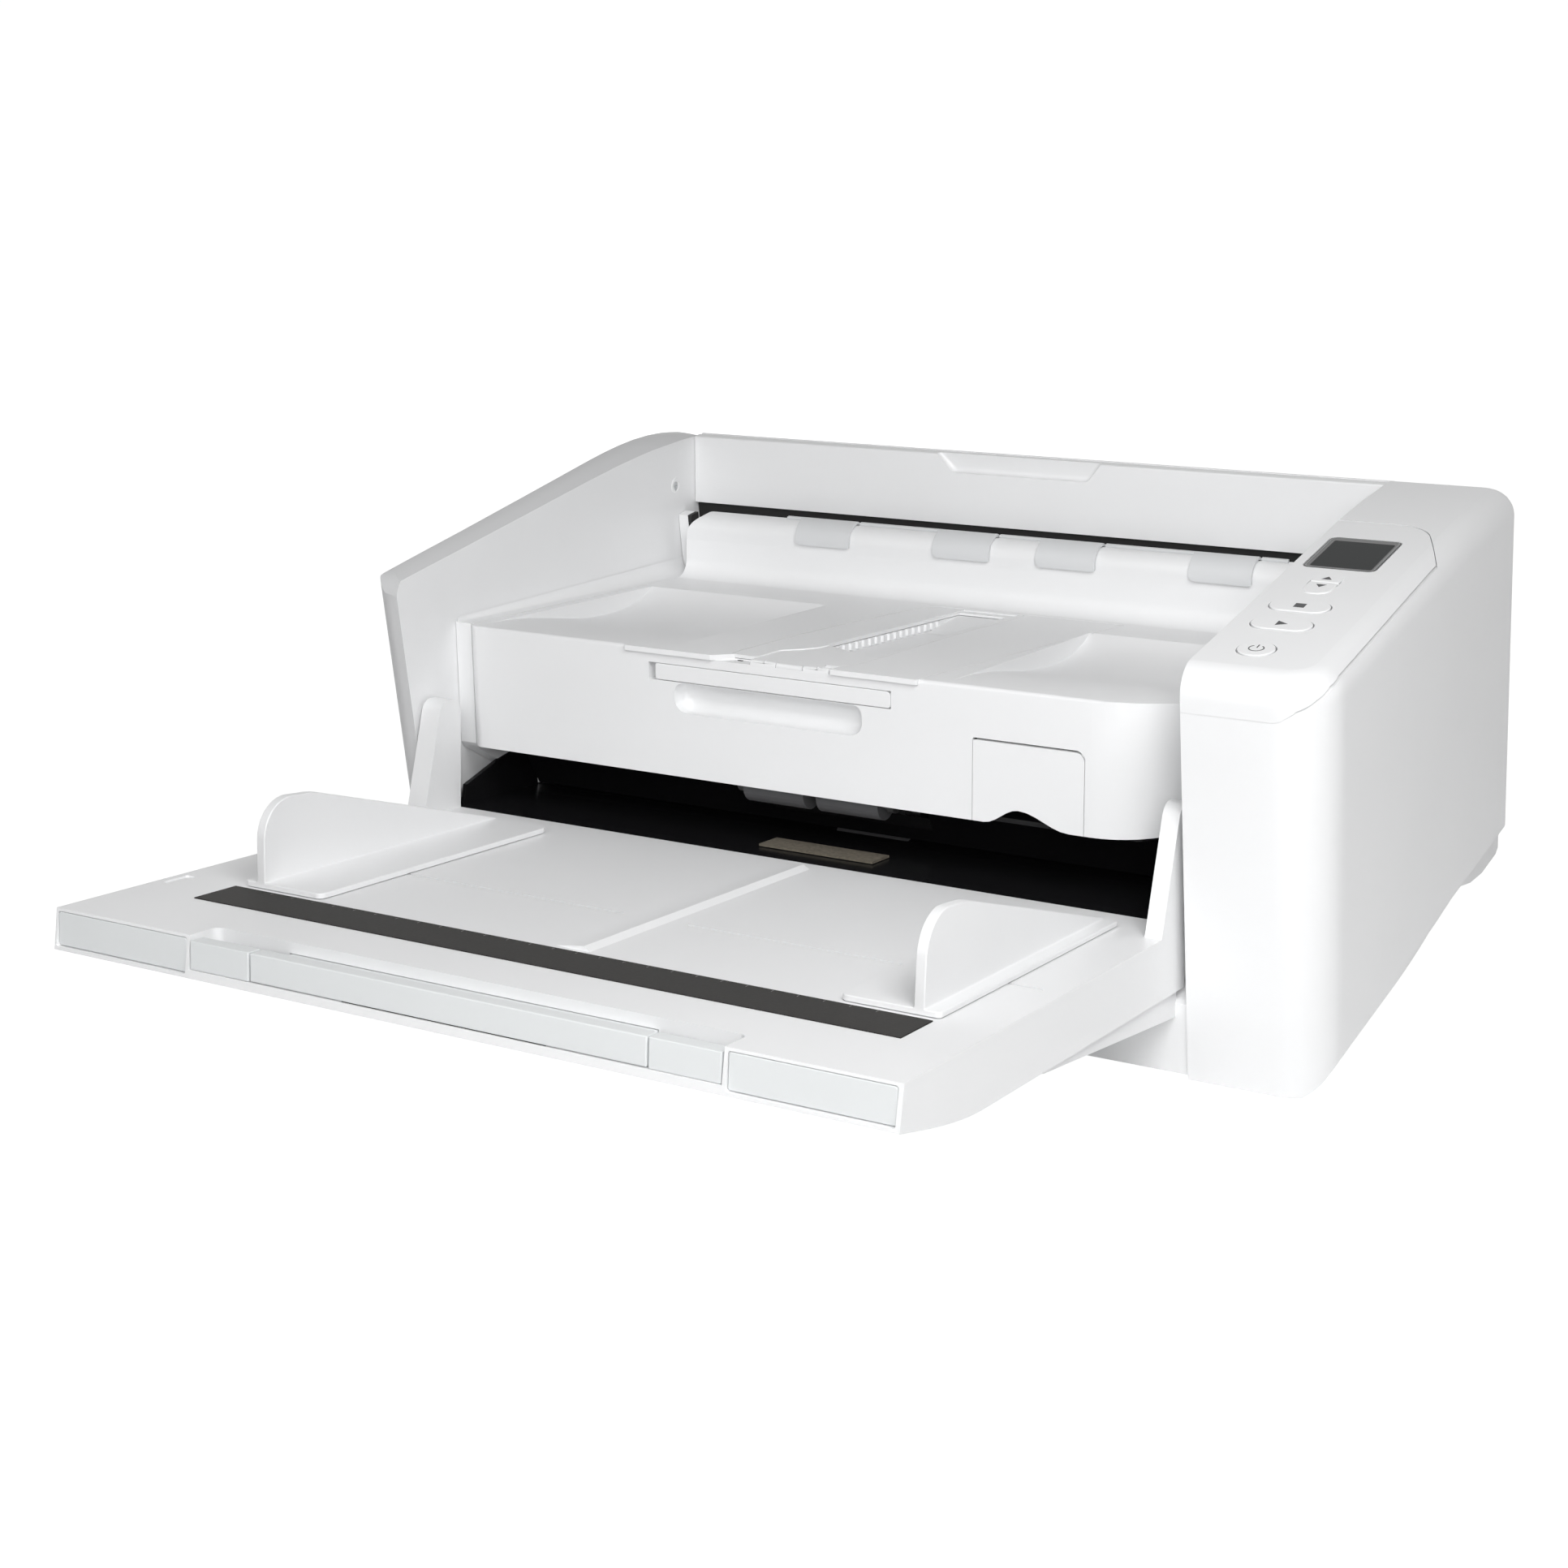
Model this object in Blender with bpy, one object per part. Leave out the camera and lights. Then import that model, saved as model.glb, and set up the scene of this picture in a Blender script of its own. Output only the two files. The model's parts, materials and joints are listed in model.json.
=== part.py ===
"""A sheet-fed document scanner with a hinged feed tray, modelled at real size in metres, +Z up.

The origin is on the table, under the middle of the scanner with its tray open. The front faces -Y.
Depths in the names below are measured back from the front faces of the two side housings.
"""
from math import acos, atan2, ceil, cos, degrees, hypot, pi, radians, sin, tan

import bmesh
import bpy
from mathutils import Matrix, Vector

# General sizes
GAP = 0.0003
RUNNING_GAP = 0.0005
OVERRUN = 0.02
SHELL = 0.003
THIN_SHELL = 0.0025
ARC_STEP = radians(18)
SMOOTH_LIMIT = radians(40)
EDGE_ROUND_SHARE = 0.8
PILL_ROUND_SHARE = 0.98
INNER_SKIN = 0.0020
ROD_SIDES = 20
ROLLER_SIDES = 24

# Body
BODY_WIDTH = 0.424
BODY_DEPTH = 0.252
LEFT_PANEL_WIDTH = 0.0128
TOWER_WIDTH = 0.0549
FLOOR_Z = 0.003
SIDE_FRONT_FOOT_Z = 0.002
SIDE_REAR_BOTTOM_Z = 0.018
PANEL_TOP_FRONT_Z = 0.168
PANEL_TOP_CREST_Z = 0.1765
PANEL_TOP_REAR_Z = 0.170
PANEL_CREST_DEPTH = 0.170
TOWER_TOP_FRONT_Z = 0.1685
TOWER_TOP_RUNS = ((0.180, 0.1733), (0.207, 0.1729))
TOWER_TOP_REAR_Z = 0.1675
TOP_FRONT_RADIUS = 0.009
TOP_REAR_RADIUS = 0.014
OUTER_TOP_RADIUS = 0.006
OUTER_BOTTOM_RADIUS = 0.019
FRONT_CORNER_RADIUS = 0.020
REAR_CORNER_RADIUS = 0.015
PANEL_FRONT_RADIUS = 0.005
BOTTOM_ARCH_SHARES = ((0.04, 0.0), (0.12, 0.06), (0.25, 0.25), (0.38, 0.56), (0.5, 0.87), (0.63, 1.0))

# Feed tray
TRAY_ANGLE = radians(12.2)
TRAY_LENGTH = 0.2302
TRAY_REAR_SET = 0.0071
TRAY_DROP = 0.0425
TRAY_THICKNESS = 0.024
TRAY_LIP = 0.0156
TRAY_LIP_SLANT = 0.0017
TRAY_FLAT_LENGTH = 0.165
TRAY_LEFT_CLEARANCE = 0.0017
TRAY_RIGHT_CLEARANCE = 0.0028
TRAY_SKIN = 0.0025
PIVOT_DEPTH = 0.012
PIVOT_Z = 0.105
ARM_WIDTH = 0.0098
ARM_TOP_RADIUS = 0.0065
ARM_FRONT_SPREAD = 0.0185
PIN_RADIUS = 0.0022
PIN_SEAT = 0.0035

# Paper path and cover
PAPER_SHIFT = 0.0053
BED_FRONT_Z = 0.0617
BED_LEVEL_Z = 0.0485
BED_FRONT_DEPTH = 0.0105
BED_FALL_DEPTH = 0.072
BED_TURN_BEFORE_HINGE = 0.027
BED_THICKNESS = 0.002
COVER_LOW_DEPTH = 0.0265
COVER_LOW_Z = 0.0845
COVER_TOP_DEPTH = 0.0335
COVER_TOP_Z = 0.1389
COVER_SLOPE = radians(10.40)
COVER_FOOT_BEFORE_ROLL = 0.0235
CHEEK_WIDTH = 0.0087
COVER_CORNER_RADIUS = 0.042
COVER_LEFT_RADIUS = 0.006
COVER_BEHIND_HINGE = 0.0035
BLOCK_ROLL_BEFORE_HINGE = 0.0055
BLOCK_ROLL_Z = 0.1245
BLOCK_ROLL_RADIUS = 0.007
GROOVE_DROP = 0.005
HINGE_DEPTH = 0.232
HINGE_Z = 0.1225

# Eject wall and rear
WALL_LOW_DEPTH = 0.238
WALL_LOW_Z = 0.1364
WALL_TOP_DEPTH = 0.243
WALL_TOP_Z = 0.169
REAR_SKIN = 0.0027

# Colours
WHITE = ((0.83, 0.84, 0.84), 0.42, 0.0)
SOFT_WHITE = ((0.78, 0.79, 0.80), 0.48, 0.0)
FLAP_GREY = ((0.66, 0.67, 0.68), 0.5, 0.0)
BLACK = ((0.012, 0.012, 0.013), 0.35, 0.0)
CHARCOAL = ((0.06, 0.06, 0.058), 0.45, 0.0)
RUBBER = ((0.09, 0.09, 0.095), 0.8, 0.0)
TAN = ((0.24, 0.20, 0.16), 0.9, 0.0)
STEEL = ((0.62, 0.63, 0.64), 0.3, 1.0)
GLASS = ((0.10, 0.13, 0.13), 0.05, 0.0)
BOARD = ((0.02, 0.16, 0.07), 0.6, 0.0)

# Side housings
SEAM_FRONT = ((0, 0.1512), (0.0005, 0.1535), (0.0018, 0.1568), (0.0062, 0.1600), (0.0125, 0.1645),
              (0.020, 0.1660))
SEAM_DROP = 0.0030
CAP_REAR_DEPTH = 0.1755
CAP_CORNER_INSET = 0.018
CAP_CORNER_RADIUS = 0.018
CAP_SIDE_DEPTH = 0.1310
PANEL_CAVITY = 0.0072
PANEL_SCREW_DEPTH = 0.222
PANEL_SCREW_Z = 0.149
PANEL_SCREW_HOLE = 0.0022
LEFT_BOTTOM_RADIUS = 0.011
LEFT_REAR_RADIUS = 0.010

# Control panel
DISPLAY_INSET = 0.0214
DISPLAY_WIDTH = 0.0292
DISPLAY_DEPTH = (0.1171, 0.1545)
DISPLAY_RADIUS = 0.003
DISPLAY_THICKNESS = 0.0012
BUTTON_CLEARANCE = 0.00035
BUTTON_PROUD = 0.0005
BUTTON_HEIGHT = 0.005
BUTTON_TRAVEL = 0.001
PILL_LONG = 0.0235
PILL_SHORT = 0.0120
STEP_WIDTH = 0.0114
STEP_LENGTH = 0.0124
STEP_SPLIT = 0.0010
POWER_RADIUS = 0.0070
BUTTON_INSET = 0.0357
POWER_DEPTH = 0.0265
SCAN_DEPTH = 0.0532
STOP_DEPTH = 0.0732
STEP_DEPTH = 0.1005
BUTTON_BOARD_INSET = 0.020
BUTTON_BOARD_WIDTH = 0.029
BUTTON_BOARD_SPAN = (0.018, 0.118)
BOARD_THICKNESS = 0.0016
BOARD_POST = 0.0018

# Base
SKIRT_DEPTH = 0.0015
SKIRT_Z = 0.033
SKIRT_STEP_DEPTH = 0.011
SKIRT_STEP_Z = 0.040
BASE_REAR_DEPTH = 0.249
FOOT_RADIUS = 0.009
FRONT_FOOT_DEPTH = 0.022
REAR_FOOT_DEPTH = 0.232
FOOT_INSET = 0.025
SKID_INSET = 0.006
SKID_WIDTH = 0.0068
SKID_SHARES = ((0, 1), (0.17, 0.72), (0.33, 0.44), (0.52, 0.16), (0.72, 0.0), (0.96, 0.0), (1, 0.1), (1, 1))
SKID_FRONT_DEPTH = 0.160
SKID_REAR_DEPTH = 0.2505

# Feed bed, glasses and scan units
BED_TURN_RADIUS = 0.0380
BED_TOP_Z = 0.1170
TURN_STEPS = 6
PAD_DEPTH = (0.0245, 0.0390)
PAD_HALF = 0.0270
PAD_THICKNESS = 0.0010
SEPARATION_DEPTH = 0.080
SEPARATION_HALF = 0.018
SEPARATION_RADIUS = 0.009
SEPARATION_Z = 0.0405
GLASS_WIDTH = 0.020
LOWER_GLASS_BEHIND_ROLLER = 0.018
UPPER_GLASS_BEHIND_ROLLER = 0.027
GLASS_HALF = 0.150
GLASS_THICKNESS = 0.0018
SCAN_UNIT_HALF = 0.158
SCAN_UNIT_HEIGHT = 0.030
SCAN_UNIT_MARGIN = 0.006
DRIVE_DEPTH = 0.145
DRIVE_Z = 0.0412
DRIVE_RADIUS = 0.0080
SHAFT_RADIUS = 0.003
EXIT_BEHIND_COVER = 0.0070
EXIT_Z = 0.1240
EXIT_RADIUS = 0.0038
ROLLER_PLACES_SHARES = (-0.62, -0.21, 0.21, 0.62)
ROLLER_HALF = 0.011
SEPARATION_SHAFT = 0.026
MOUNT_THICKNESS = 0.003

# Drive in the tower
PULLEY_INSET = 0.018
PULLEY_WIDTH = 0.006
MOTOR_DEPTH = 0.200
MOTOR_Z = 0.055
MOTOR_RADIUS = 0.017
MOTOR_LENGTH = 0.022
MOTOR_PULLEY_RADIUS = 0.006
DRIVE_PULLEY_RADIUS = 0.0086
EXIT_PULLEY_RADIUS = 0.004
BELT_THICKNESS = 0.0012
BELT_MARGIN = 0.0008
MAIN_BOARD_INSET = 0.012
MAIN_BOARD_FRONT_MARGIN = 0.045
MAIN_BOARD_REAR_MARGIN = 0.037
MAIN_BOARD_Z = (0.070, 0.140)
STANDOFF_INSET = 0.010
SUPPLY_INSET = 0.0142
SUPPLY_WIDTH = 0.090
SUPPLY_DEPTH = (0.162, 0.238)
SUPPLY_HEIGHT = 0.034

# Eject wall, rear cover and cheeks
RECESS_TOP_X = (-0.0638, 0.0218)
RECESS_LOW_X = (-0.0538, 0.0151)
RECESS_HEIGHT = 0.0085
RECESS_SCOOP = 0.0045
WALL_EDGE_RADIUS = 0.0015
REAR_LOW_Z = 0.020
INLET_INSET = 0.0391
INLET_Z = 0.035
INLET_SIZE = (0.013, 0.012)
INLET_BORE = 0.0032
USB_INSET = 0.0691
USB_SIZE = (0.0135, 0.0120)
USB_OPENING = (0.0085, 0.0075)
SOCKET_LENGTH = 0.012
CHEEK_SETBACK = 0.0035
CHEEK_PROUD = 0.0010
FLANGE_THICKNESS = 0.0020
FLANGE_PATH = ((0.0165, 0.0600), (0.0200, 0.0682), (0.0520, 0.0715), (0.0715, 0.0715))
FLANGE_ROOM_Z = 0.0718

# Upper cover
COVER_FOOT_RADIUS = 0.016
POCKET_SHARES = ((0.10, 0), (0.55, 1), (0.84, 0.92), (0.95, 0.5), (1, 0))
POCKET_LENGTH = 0.141
POCKET_SINK = 0.0085
LEFT_POCKET_X = (-0.1855, -0.0880)
RIGHT_POCKET_X = (0.0450, 0.1440)
STOPPER_X = (-0.0480, 0.0015)
STOPPER_START = 0.0015
STOPPER_LENGTH = 0.150
STOPPER_THICKNESS = 0.0026
WINDOW_X = (-0.0395, -0.0135)
WINDOW_SPAN = (0.046, 0.142)
WINDOW_SINK = 0.006
LIP_X = (-0.1067, 0.0410)
LIP_REACH = 0.0014
LIP_THICKNESS = 0.0024
BAR_X = (-0.0918, 0.0203)
BAR_NICHE_X = -0.0950
BAR_RISE = (0.0414, 0.0483)
BAR_SETBACK = 0.0004
BAR_THICKNESS = 0.0048
SLIDE_X = (-0.0820, 0.0080)
SLIDE_SINK = (0.0110, 0.0086)
SLIDE_LENGTH = 0.125
GRIP_X = (-0.0825, 0.0074)
GRIP_RISE = (0.0287, 0.0403)
GRIP_DEPTH = 0.008
GRIP_RADIUS = 0.005
LEVER_X = (0.0572, 0.1050)
LEVER_RISE = 0.0332
LEVER_HEADROOM = 0.0009
LEVER_CORNERS = (0.0010, 0.0040)
LEVER_THICKNESS = 0.0026
LEVER_PIN_DROP = 0.0012
LEVER_PIN_INSET = 0.0018
LEVER_PIN_RADIUS = 0.0009
LEVER_PIN_OVERHANG = 0.002
LEVER_CUT_X = (0.0622, 0.0770, 0.0990)
LEVER_CUT_RISE = 0.0065
FLAP_X = (-0.1122, -0.0380, 0.0153, 0.0900)
FLAP_WIDTH = 0.0295
FLAP_INNER = 0.0084
FLAP_THICKNESS = 0.0014
FLAP_PIVOT_BEHIND_ROLL = 0.0045
FLAP_PIVOT_Z = 0.1305
FLAP_BOSS = 0.0028
FLAP_SHAFT = 0.0014
BEARING_HALF_DEPTH = 0.0017
GROOVE_MARGIN = 0.006
UNDER_Z = 0.0515
UNDER_SETBACK = 0.0072
UNDER_SKIN = 0.002
FEED_DEPTH = 0.080
FEED_Z = 0.0600
FEED_RADIUS = 0.0085
IDLER_Z = 0.0562
IDLER_RADIUS = 0.0060
WAVE_STEPS = 12
FLAP_START = radians(58)
FLAP_SWEEP = radians(127)
FLAP_STEPS = 9
BEARING_HALF = 0.002
UNDER_TURN_RADIUS = 0.028
MOUTH_DEPTH = 0.055
THROAT_DEPTH = 0.068
IDLER_SHAFT = 0.002

# Pick-up unit
PICK_X = (-0.0540, 0.0140)
PICK_ARM = 0.003
PICK_CLEARANCE = 0.0015
PICK_PIVOT_DEPTH = 0.0745
PICK_PIVOT_Z = 0.0780
PICK_DEPTH = 0.0385
PICK_Z = 0.0815
PICK_RADIUS = 0.0080
PICK_ROLLER_HALF = 0.0145
PICK_ROLLER_OFFSET = 0.0175
PICK_ARM_HALF = 0.0045

# Feed tray
NOTCH_X = (-0.1320, 0.0910)
NOTCH_START = 0.209
NOTCH_SINK = 0.0125
HANDLE_X = (-0.1036, 0.0624)
HANDLE_ENDS = ((-0.1314, -0.1042), (0.0630, 0.0903))
HANDLE_BACK = 0.2173
HANDLE_TOP = 0.0018
EXTENSION_X = (-0.098, 0.057)
EXTENSION_SINK = (0.0069, 0.0045)
EXTENSION_START = 0.118
STRIP_HALF = 0.1497
STRIP_SHIFT = -0.002
STRIP_START = 0.1604
STRIP_WIDTH = 0.0228
STRIP_THICKNESS = 0.0006
RIDGE_SPAN = (0.001, 0.157)
RIDGE_X = (-0.0200, -0.0065)
RIDGE_HEIGHT = 0.0014
SLOT_AT = 0.105
SLOT_WIDTH = 0.003
SLOT_INNER = (0.01025, 0.01775)
SLOT_OUTER = (0.17125, 0.16175)
GUIDE_INNER = 0.1392
GUIDE_PLATE = 0.0040
GUIDE_FOOT = 0.0060
GUIDE_FLANGE = 0.0277
GUIDE_FLANGE_THICKNESS = 0.0022
GUIDE_SPAN = (0.010, 0.158)
GUIDE_HEIGHT = 0.0350
GUIDE_STEM = 0.012
GUIDE_SHOULDER_SHARE = 0.2
GUIDE_SHOULDER_HEIGHT_SHARE = 0.94
GUIDE_NOSE_SHARE = 0.4
TRAY_CEILING_SHARE = 0.62
RACK_LEAD_TEETH = 2
RACK_DROP = 0.0058
RACK_THICKNESS = 0.0025
RACK_WIDTH = 0.006
TOOTH_COUNT = 16
TOOTH_MODULE = 0.0012
TOOTH_SHARE = 0.40
ADDENDUM_SHARE = 0.75
DEDENDUM_SHARE = 1.15
TOOTH_SLANT_SHARE = 0.36
RACK_TEETH = 34
FRONT_CURVE_SHARES = ((0.0, 0.0), (0.3, 0.08), (0.6, 0.36), (0.85, 0.75), (1.0, 1.0))
PINION_AT = SLOT_AT
PINION_BORE = 0.002

# Supports under the open tray
SUPPORT_INSETS = (0.0042, 0.0051)
SUPPORT_THICKNESS = 0.006
SUPPORT_LENGTH = 0.118
SUPPORT_ROOT_Z = 0.0265
SUPPORT_TIP = 0.0018

# Derived places of the body
HALF_WIDTH = BODY_WIDTH / 2
BAY_LEFT = -HALF_WIDTH + LEFT_PANEL_WIDTH
BAY_RIGHT = HALF_WIDTH - TOWER_WIDTH
TRAY_LEFT = BAY_LEFT + TRAY_LEFT_CLEARANCE
TRAY_RIGHT = BAY_RIGHT - TRAY_RIGHT_CLEARANCE
PAPER_X = (BAY_LEFT + BAY_RIGHT) / 2 + PAPER_SHIFT
TRAY_FRONT = TRAY_LENGTH - TRAY_REAR_SET
TRAY_REACH = ((TRAY_FRONT + TRAY_LIP_SLANT) * cos(TRAY_ANGLE)
              + (TRAY_DROP + TRAY_LIP) * sin(TRAY_ANGLE) - PIVOT_DEPTH)
FRONT_Y = (TRAY_REACH - BODY_DEPTH) / 2
COVER_LEFT = BAY_LEFT + CHEEK_WIDTH
COVER_RIGHT = BAY_RIGHT - CHEEK_WIDTH
COVER_REAR_DEPTH = HINGE_DEPTH + COVER_BEHIND_HINGE
BLOCK_ROLL_DEPTH = HINGE_DEPTH - BLOCK_ROLL_BEFORE_HINGE
COVER_FOOT_DEPTH = BLOCK_ROLL_DEPTH - COVER_FOOT_BEFORE_ROLL
FLAP_PIVOT_DEPTH = BLOCK_ROLL_DEPTH + FLAP_PIVOT_BEHIND_ROLL
BED_REAR_DEPTH = HINGE_DEPTH - BED_TURN_BEFORE_HINGE
BUTTON_X = HALF_WIDTH - BUTTON_INSET
DISPLAY_X = (HALF_WIDTH - DISPLAY_INSET - DISPLAY_WIDTH, HALF_WIDTH - DISPLAY_INSET)
BUTTON_BOARD_X = (HALF_WIDTH - BUTTON_BOARD_INSET - BUTTON_BOARD_WIDTH, HALF_WIDTH - BUTTON_BOARD_INSET)
PULLEY_X = (HALF_WIDTH - PULLEY_INSET - PULLEY_WIDTH, HALF_WIDTH - PULLEY_INSET)
MAIN_BOARD_X = HALF_WIDTH - MAIN_BOARD_INSET
SUPPLY_X = (BAY_LEFT + SUPPLY_INSET, BAY_LEFT + SUPPLY_INSET + SUPPLY_WIDTH)
INLET_X = BAY_RIGHT - INLET_INSET
USB_X = BAY_RIGHT - USB_INSET
SUPPORT_X = ((BAY_LEFT + SUPPORT_INSETS[0], BAY_LEFT + SUPPORT_INSETS[0] + SUPPORT_THICKNESS),
             (BAY_RIGHT - SUPPORT_INSETS[1] - SUPPORT_THICKNESS, BAY_RIGHT - SUPPORT_INSETS[1]))
CAP_CORNER_X = HALF_WIDTH - CAP_CORNER_INSET
SLOT_LEFT = (PAPER_X - SLOT_OUTER[0], PAPER_X - SLOT_INNER[0])
SLOT_RIGHT = (PAPER_X + SLOT_INNER[1], PAPER_X + SLOT_OUTER[1])
STRIP_SPAN = (STRIP_START, STRIP_START + STRIP_WIDTH)
TOWER_SLOPE = atan2(TOWER_TOP_RUNS[0][1] - TOWER_TOP_FRONT_Z, TOWER_TOP_RUNS[0][0])
COVER_LEAN = atan2(COVER_TOP_DEPTH - COVER_LOW_DEPTH, COVER_TOP_Z - COVER_LOW_Z)
MAIN_BOARD_SPAN = (MAIN_BOARD_FRONT_MARGIN, BODY_DEPTH - MAIN_BOARD_REAR_MARGIN)
LOWER_GLASS_START = SEPARATION_DEPTH + LOWER_GLASS_BEHIND_ROLLER
LOWER_GLASS = (LOWER_GLASS_START, LOWER_GLASS_START + GLASS_WIDTH)
UPPER_GLASS_START = DRIVE_DEPTH + UPPER_GLASS_BEHIND_ROLLER
UPPER_GLASS = (UPPER_GLASS_START, UPPER_GLASS_START + GLASS_WIDTH)
EXIT_DEPTH = COVER_REAR_DEPTH + EXIT_BEHIND_COVER


def at(depth):
    """The Y of a depth measured back from the front faces of the side housings."""
    return FRONT_Y + depth


def turned_frame(depth, z, angle):
    """A frame at a depth and height, whose Y runs back and down by the angle."""
    return Matrix.Translation((0, at(depth), z)) @ Matrix.Rotation(-angle, 4, "X")


TRAY_FRAME = turned_frame(PIVOT_DEPTH, PIVOT_Z, TRAY_ANGLE)
TOP_FRAME = turned_frame(COVER_TOP_DEPTH, COVER_TOP_Z, COVER_SLOPE)
FACE_FRAME = turned_frame(COVER_LOW_DEPTH, COVER_LOW_Z, COVER_LEAN)
CONTROL_FRAME = turned_frame(0, TOWER_TOP_FRONT_Z, -TOWER_SLOPE)


def clear_scene():
    for piece in list(bpy.data.objects):
        bpy.data.objects.remove(piece, do_unlink=True)


def add_material(piece, finish):
    colour, roughness, metallic = finish
    material = bpy.data.materials.new(piece.name)
    material.use_nodes = True
    shader = material.node_tree.nodes["Principled BSDF"]
    shader.inputs["Base Color"].default_value = (*colour, 1)
    shader.inputs["Roughness"].default_value = roughness
    shader.inputs["Metallic"].default_value = metallic
    piece.data.materials.clear()
    piece.data.materials.append(material)


def make_object(name, shape, finish=None):
    """Turns a bmesh into an object with its faces pointing out."""
    bmesh.ops.recalc_face_normals(shape, faces=shape.faces)
    mesh = bpy.data.meshes.new(name)
    shape.to_mesh(mesh)
    shape.free()
    piece = bpy.data.objects.new(name, mesh)
    bpy.context.scene.collection.objects.link(piece)
    if finish:
        add_material(piece, finish)
    return piece


def prism(name, outline, axis, start, end, finish=None):
    """An outline extruded along an axis. Outline points are (y, z), (x, z) or (x, y) in that order."""
    shape = bmesh.new()

    def corner(point, along):
        if axis == "X":
            return (along, point[0], point[1])
        if axis == "Y":
            return (point[0], along, point[1])
        return (point[0], point[1], along)

    low = [shape.verts.new(corner(point, start)) for point in outline]
    high = [shape.verts.new(corner(point, end)) for point in outline]
    shape.faces.new(low)
    shape.faces.new(high)
    for index, here in enumerate(low):
        after = (index + 1) % len(low)
        shape.faces.new((here, low[after], high[after], high[index]))
    return make_object(name, shape, finish)


def block(name, x_range, y_range, z_range, finish=None):
    outline = rectangle(x_range, y_range)
    return prism(name, outline, "Z", z_range[0], z_range[1], finish)


def rectangle(first, second):
    return [(first[0], second[0]), (first[1], second[0]), (first[1], second[1]), (first[0], second[1])]


def circle(centre, radius, sides=ROD_SIDES):
    steps = [2 * pi * index / sides for index in range(sides)]
    return [(centre[0] + radius * cos(turn), centre[1] + radius * sin(turn)) for turn in steps]


def rod(name, axis, centre, radius, start, end, finish=None, sides=ROD_SIDES):
    piece = prism(name, circle(centre, radius, sides), axis, start, end, finish)
    smooth(piece)
    return piece


def smooth(piece, limit=SMOOTH_LIMIT):
    piece.data.shade_smooth()
    piece.data.set_sharp_from_angle(angle=limit)


def rounded(points):
    """Rounds the corners of an outline whose points are (a, b) or (a, b, radius)."""
    result = []
    count = len(points)
    for index, point in enumerate(points):
        here = Vector(point[:2])
        radius = point[2] if len(point) > 2 else 0
        before = (Vector(points[index - 1][:2]) - here).normalized()
        after = (Vector(points[(index + 1) % count][:2]) - here).normalized()
        if radius == 0:
            result.append(tuple(here))
            continue
        half = acos(max(-1, min(1, before.dot(after)))) / 2
        centre = here + (before + after).normalized() * (radius / sin(half))
        start = here + before * (radius / tan(half)) - centre
        sweep = start.angle_signed(here + after * (radius / tan(half)) - centre)
        steps = max(1, ceil(abs(sweep) / ARC_STEP))
        for step in range(steps + 1):
            turned = start.copy()
            turned.rotate(Matrix.Rotation(-sweep * step / steps, 2))
            result.append(tuple(centre + turned))
    return result


def pill(centre, width, height):
    """A rounded bar outline whose ends are half circles."""
    radius = min(width, height) / 2
    spans = rectangle((centre[0] - width / 2, centre[0] + width / 2),
                      (centre[1] - height / 2, centre[1] + height / 2))
    return rounded([(a, b, radius * PILL_ROUND_SHARE) for a, b in spans])


def combine(target, tool, operation):
    """Joins, cuts or trims the target with the tool, and removes the tool."""
    modifier = target.modifiers.new("combine", "BOOLEAN")
    modifier.operation = operation
    modifier.object = tool
    bpy.context.view_layer.update()
    graph = bpy.context.evaluated_depsgraph_get()
    mesh = bpy.data.meshes.new_from_object(target.evaluated_get(graph))
    mesh.name = target.name
    target.modifiers.clear()
    target.data = mesh
    bpy.data.objects.remove(tool, do_unlink=True)
    return target


def cut(target, *tools):
    for tool in tools:
        combine(target, tool, "DIFFERENCE")
    return target


def join(target, *tools):
    for tool in tools:
        combine(target, tool, "UNION")
    return target


def place(piece, frame):
    piece.data.transform(frame)
    return piece


def finish_piece(piece, finish):
    add_material(piece, finish)
    smooth(piece)
    return piece


def add_pivot(name, frame):
    """An empty on a joint's axis."""
    pivot = bpy.data.objects.new(name, None)
    bpy.context.scene.collection.objects.link(pivot)
    pivot.matrix_world = frame
    return pivot


def hang(pieces, pivot, frame):
    """Parents pieces to a pivot, with their origins on it and their places unchanged."""
    for piece in pieces:
        piece.data.transform(frame.inverted())
        piece.parent = pivot


def follow(path):
    """Turns (depth, z) points into (y, z) points."""
    return [(at(point[0]), *point[1:]) for point in path]


def plate_along(path, thickness):
    """The outline of a plate whose one side follows a path of (depth, z) points."""
    points = [Vector(point) for point in path]
    runs = [(after - before).normalized() for before, after in zip(points, points[1:])]
    other = []
    for point, run_in, run_out in zip(points, runs[:1] + runs, runs + runs[-1:]):
        along = (run_in + run_out).normalized()
        normal = Vector((along.y, -along.x))
        other.append(tuple(point + normal * thickness / along.dot(run_in)))
    return follow(list(path) + other[::-1])


# Side housings


def bottom_edge():
    """The lower edge of a side housing, arched from its front foot up to its rear."""
    rise = SIDE_REAR_BOTTOM_Z - SIDE_FRONT_FOOT_Z
    return [(share * BODY_DEPTH, SIDE_FRONT_FOOT_Z + height * rise) for share, height in BOTTOM_ARCH_SHARES]


def side_outline(top_points):
    """The outline of a side housing seen from the side, as (y, z)."""
    points = [(0, SIDE_FRONT_FOOT_Z)] + bottom_edge() + [(BODY_DEPTH, SIDE_REAR_BOTTOM_Z)]
    return rounded(follow(points + top_points))


def trimmed_block(name, side, front, plan):
    """The space that lies inside a side outline, a front outline and a plan outline."""
    piece = prism(name, side, "X", -BODY_WIDTH, BODY_WIDTH)
    combine(piece, prism("front", front, "Y", at(-OVERRUN), at(BODY_DEPTH + OVERRUN)), "INTERSECT")
    combine(piece, prism("plan", plan, "Z", -OVERRUN, BODY_WIDTH), "INTERSECT")
    return piece


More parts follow.
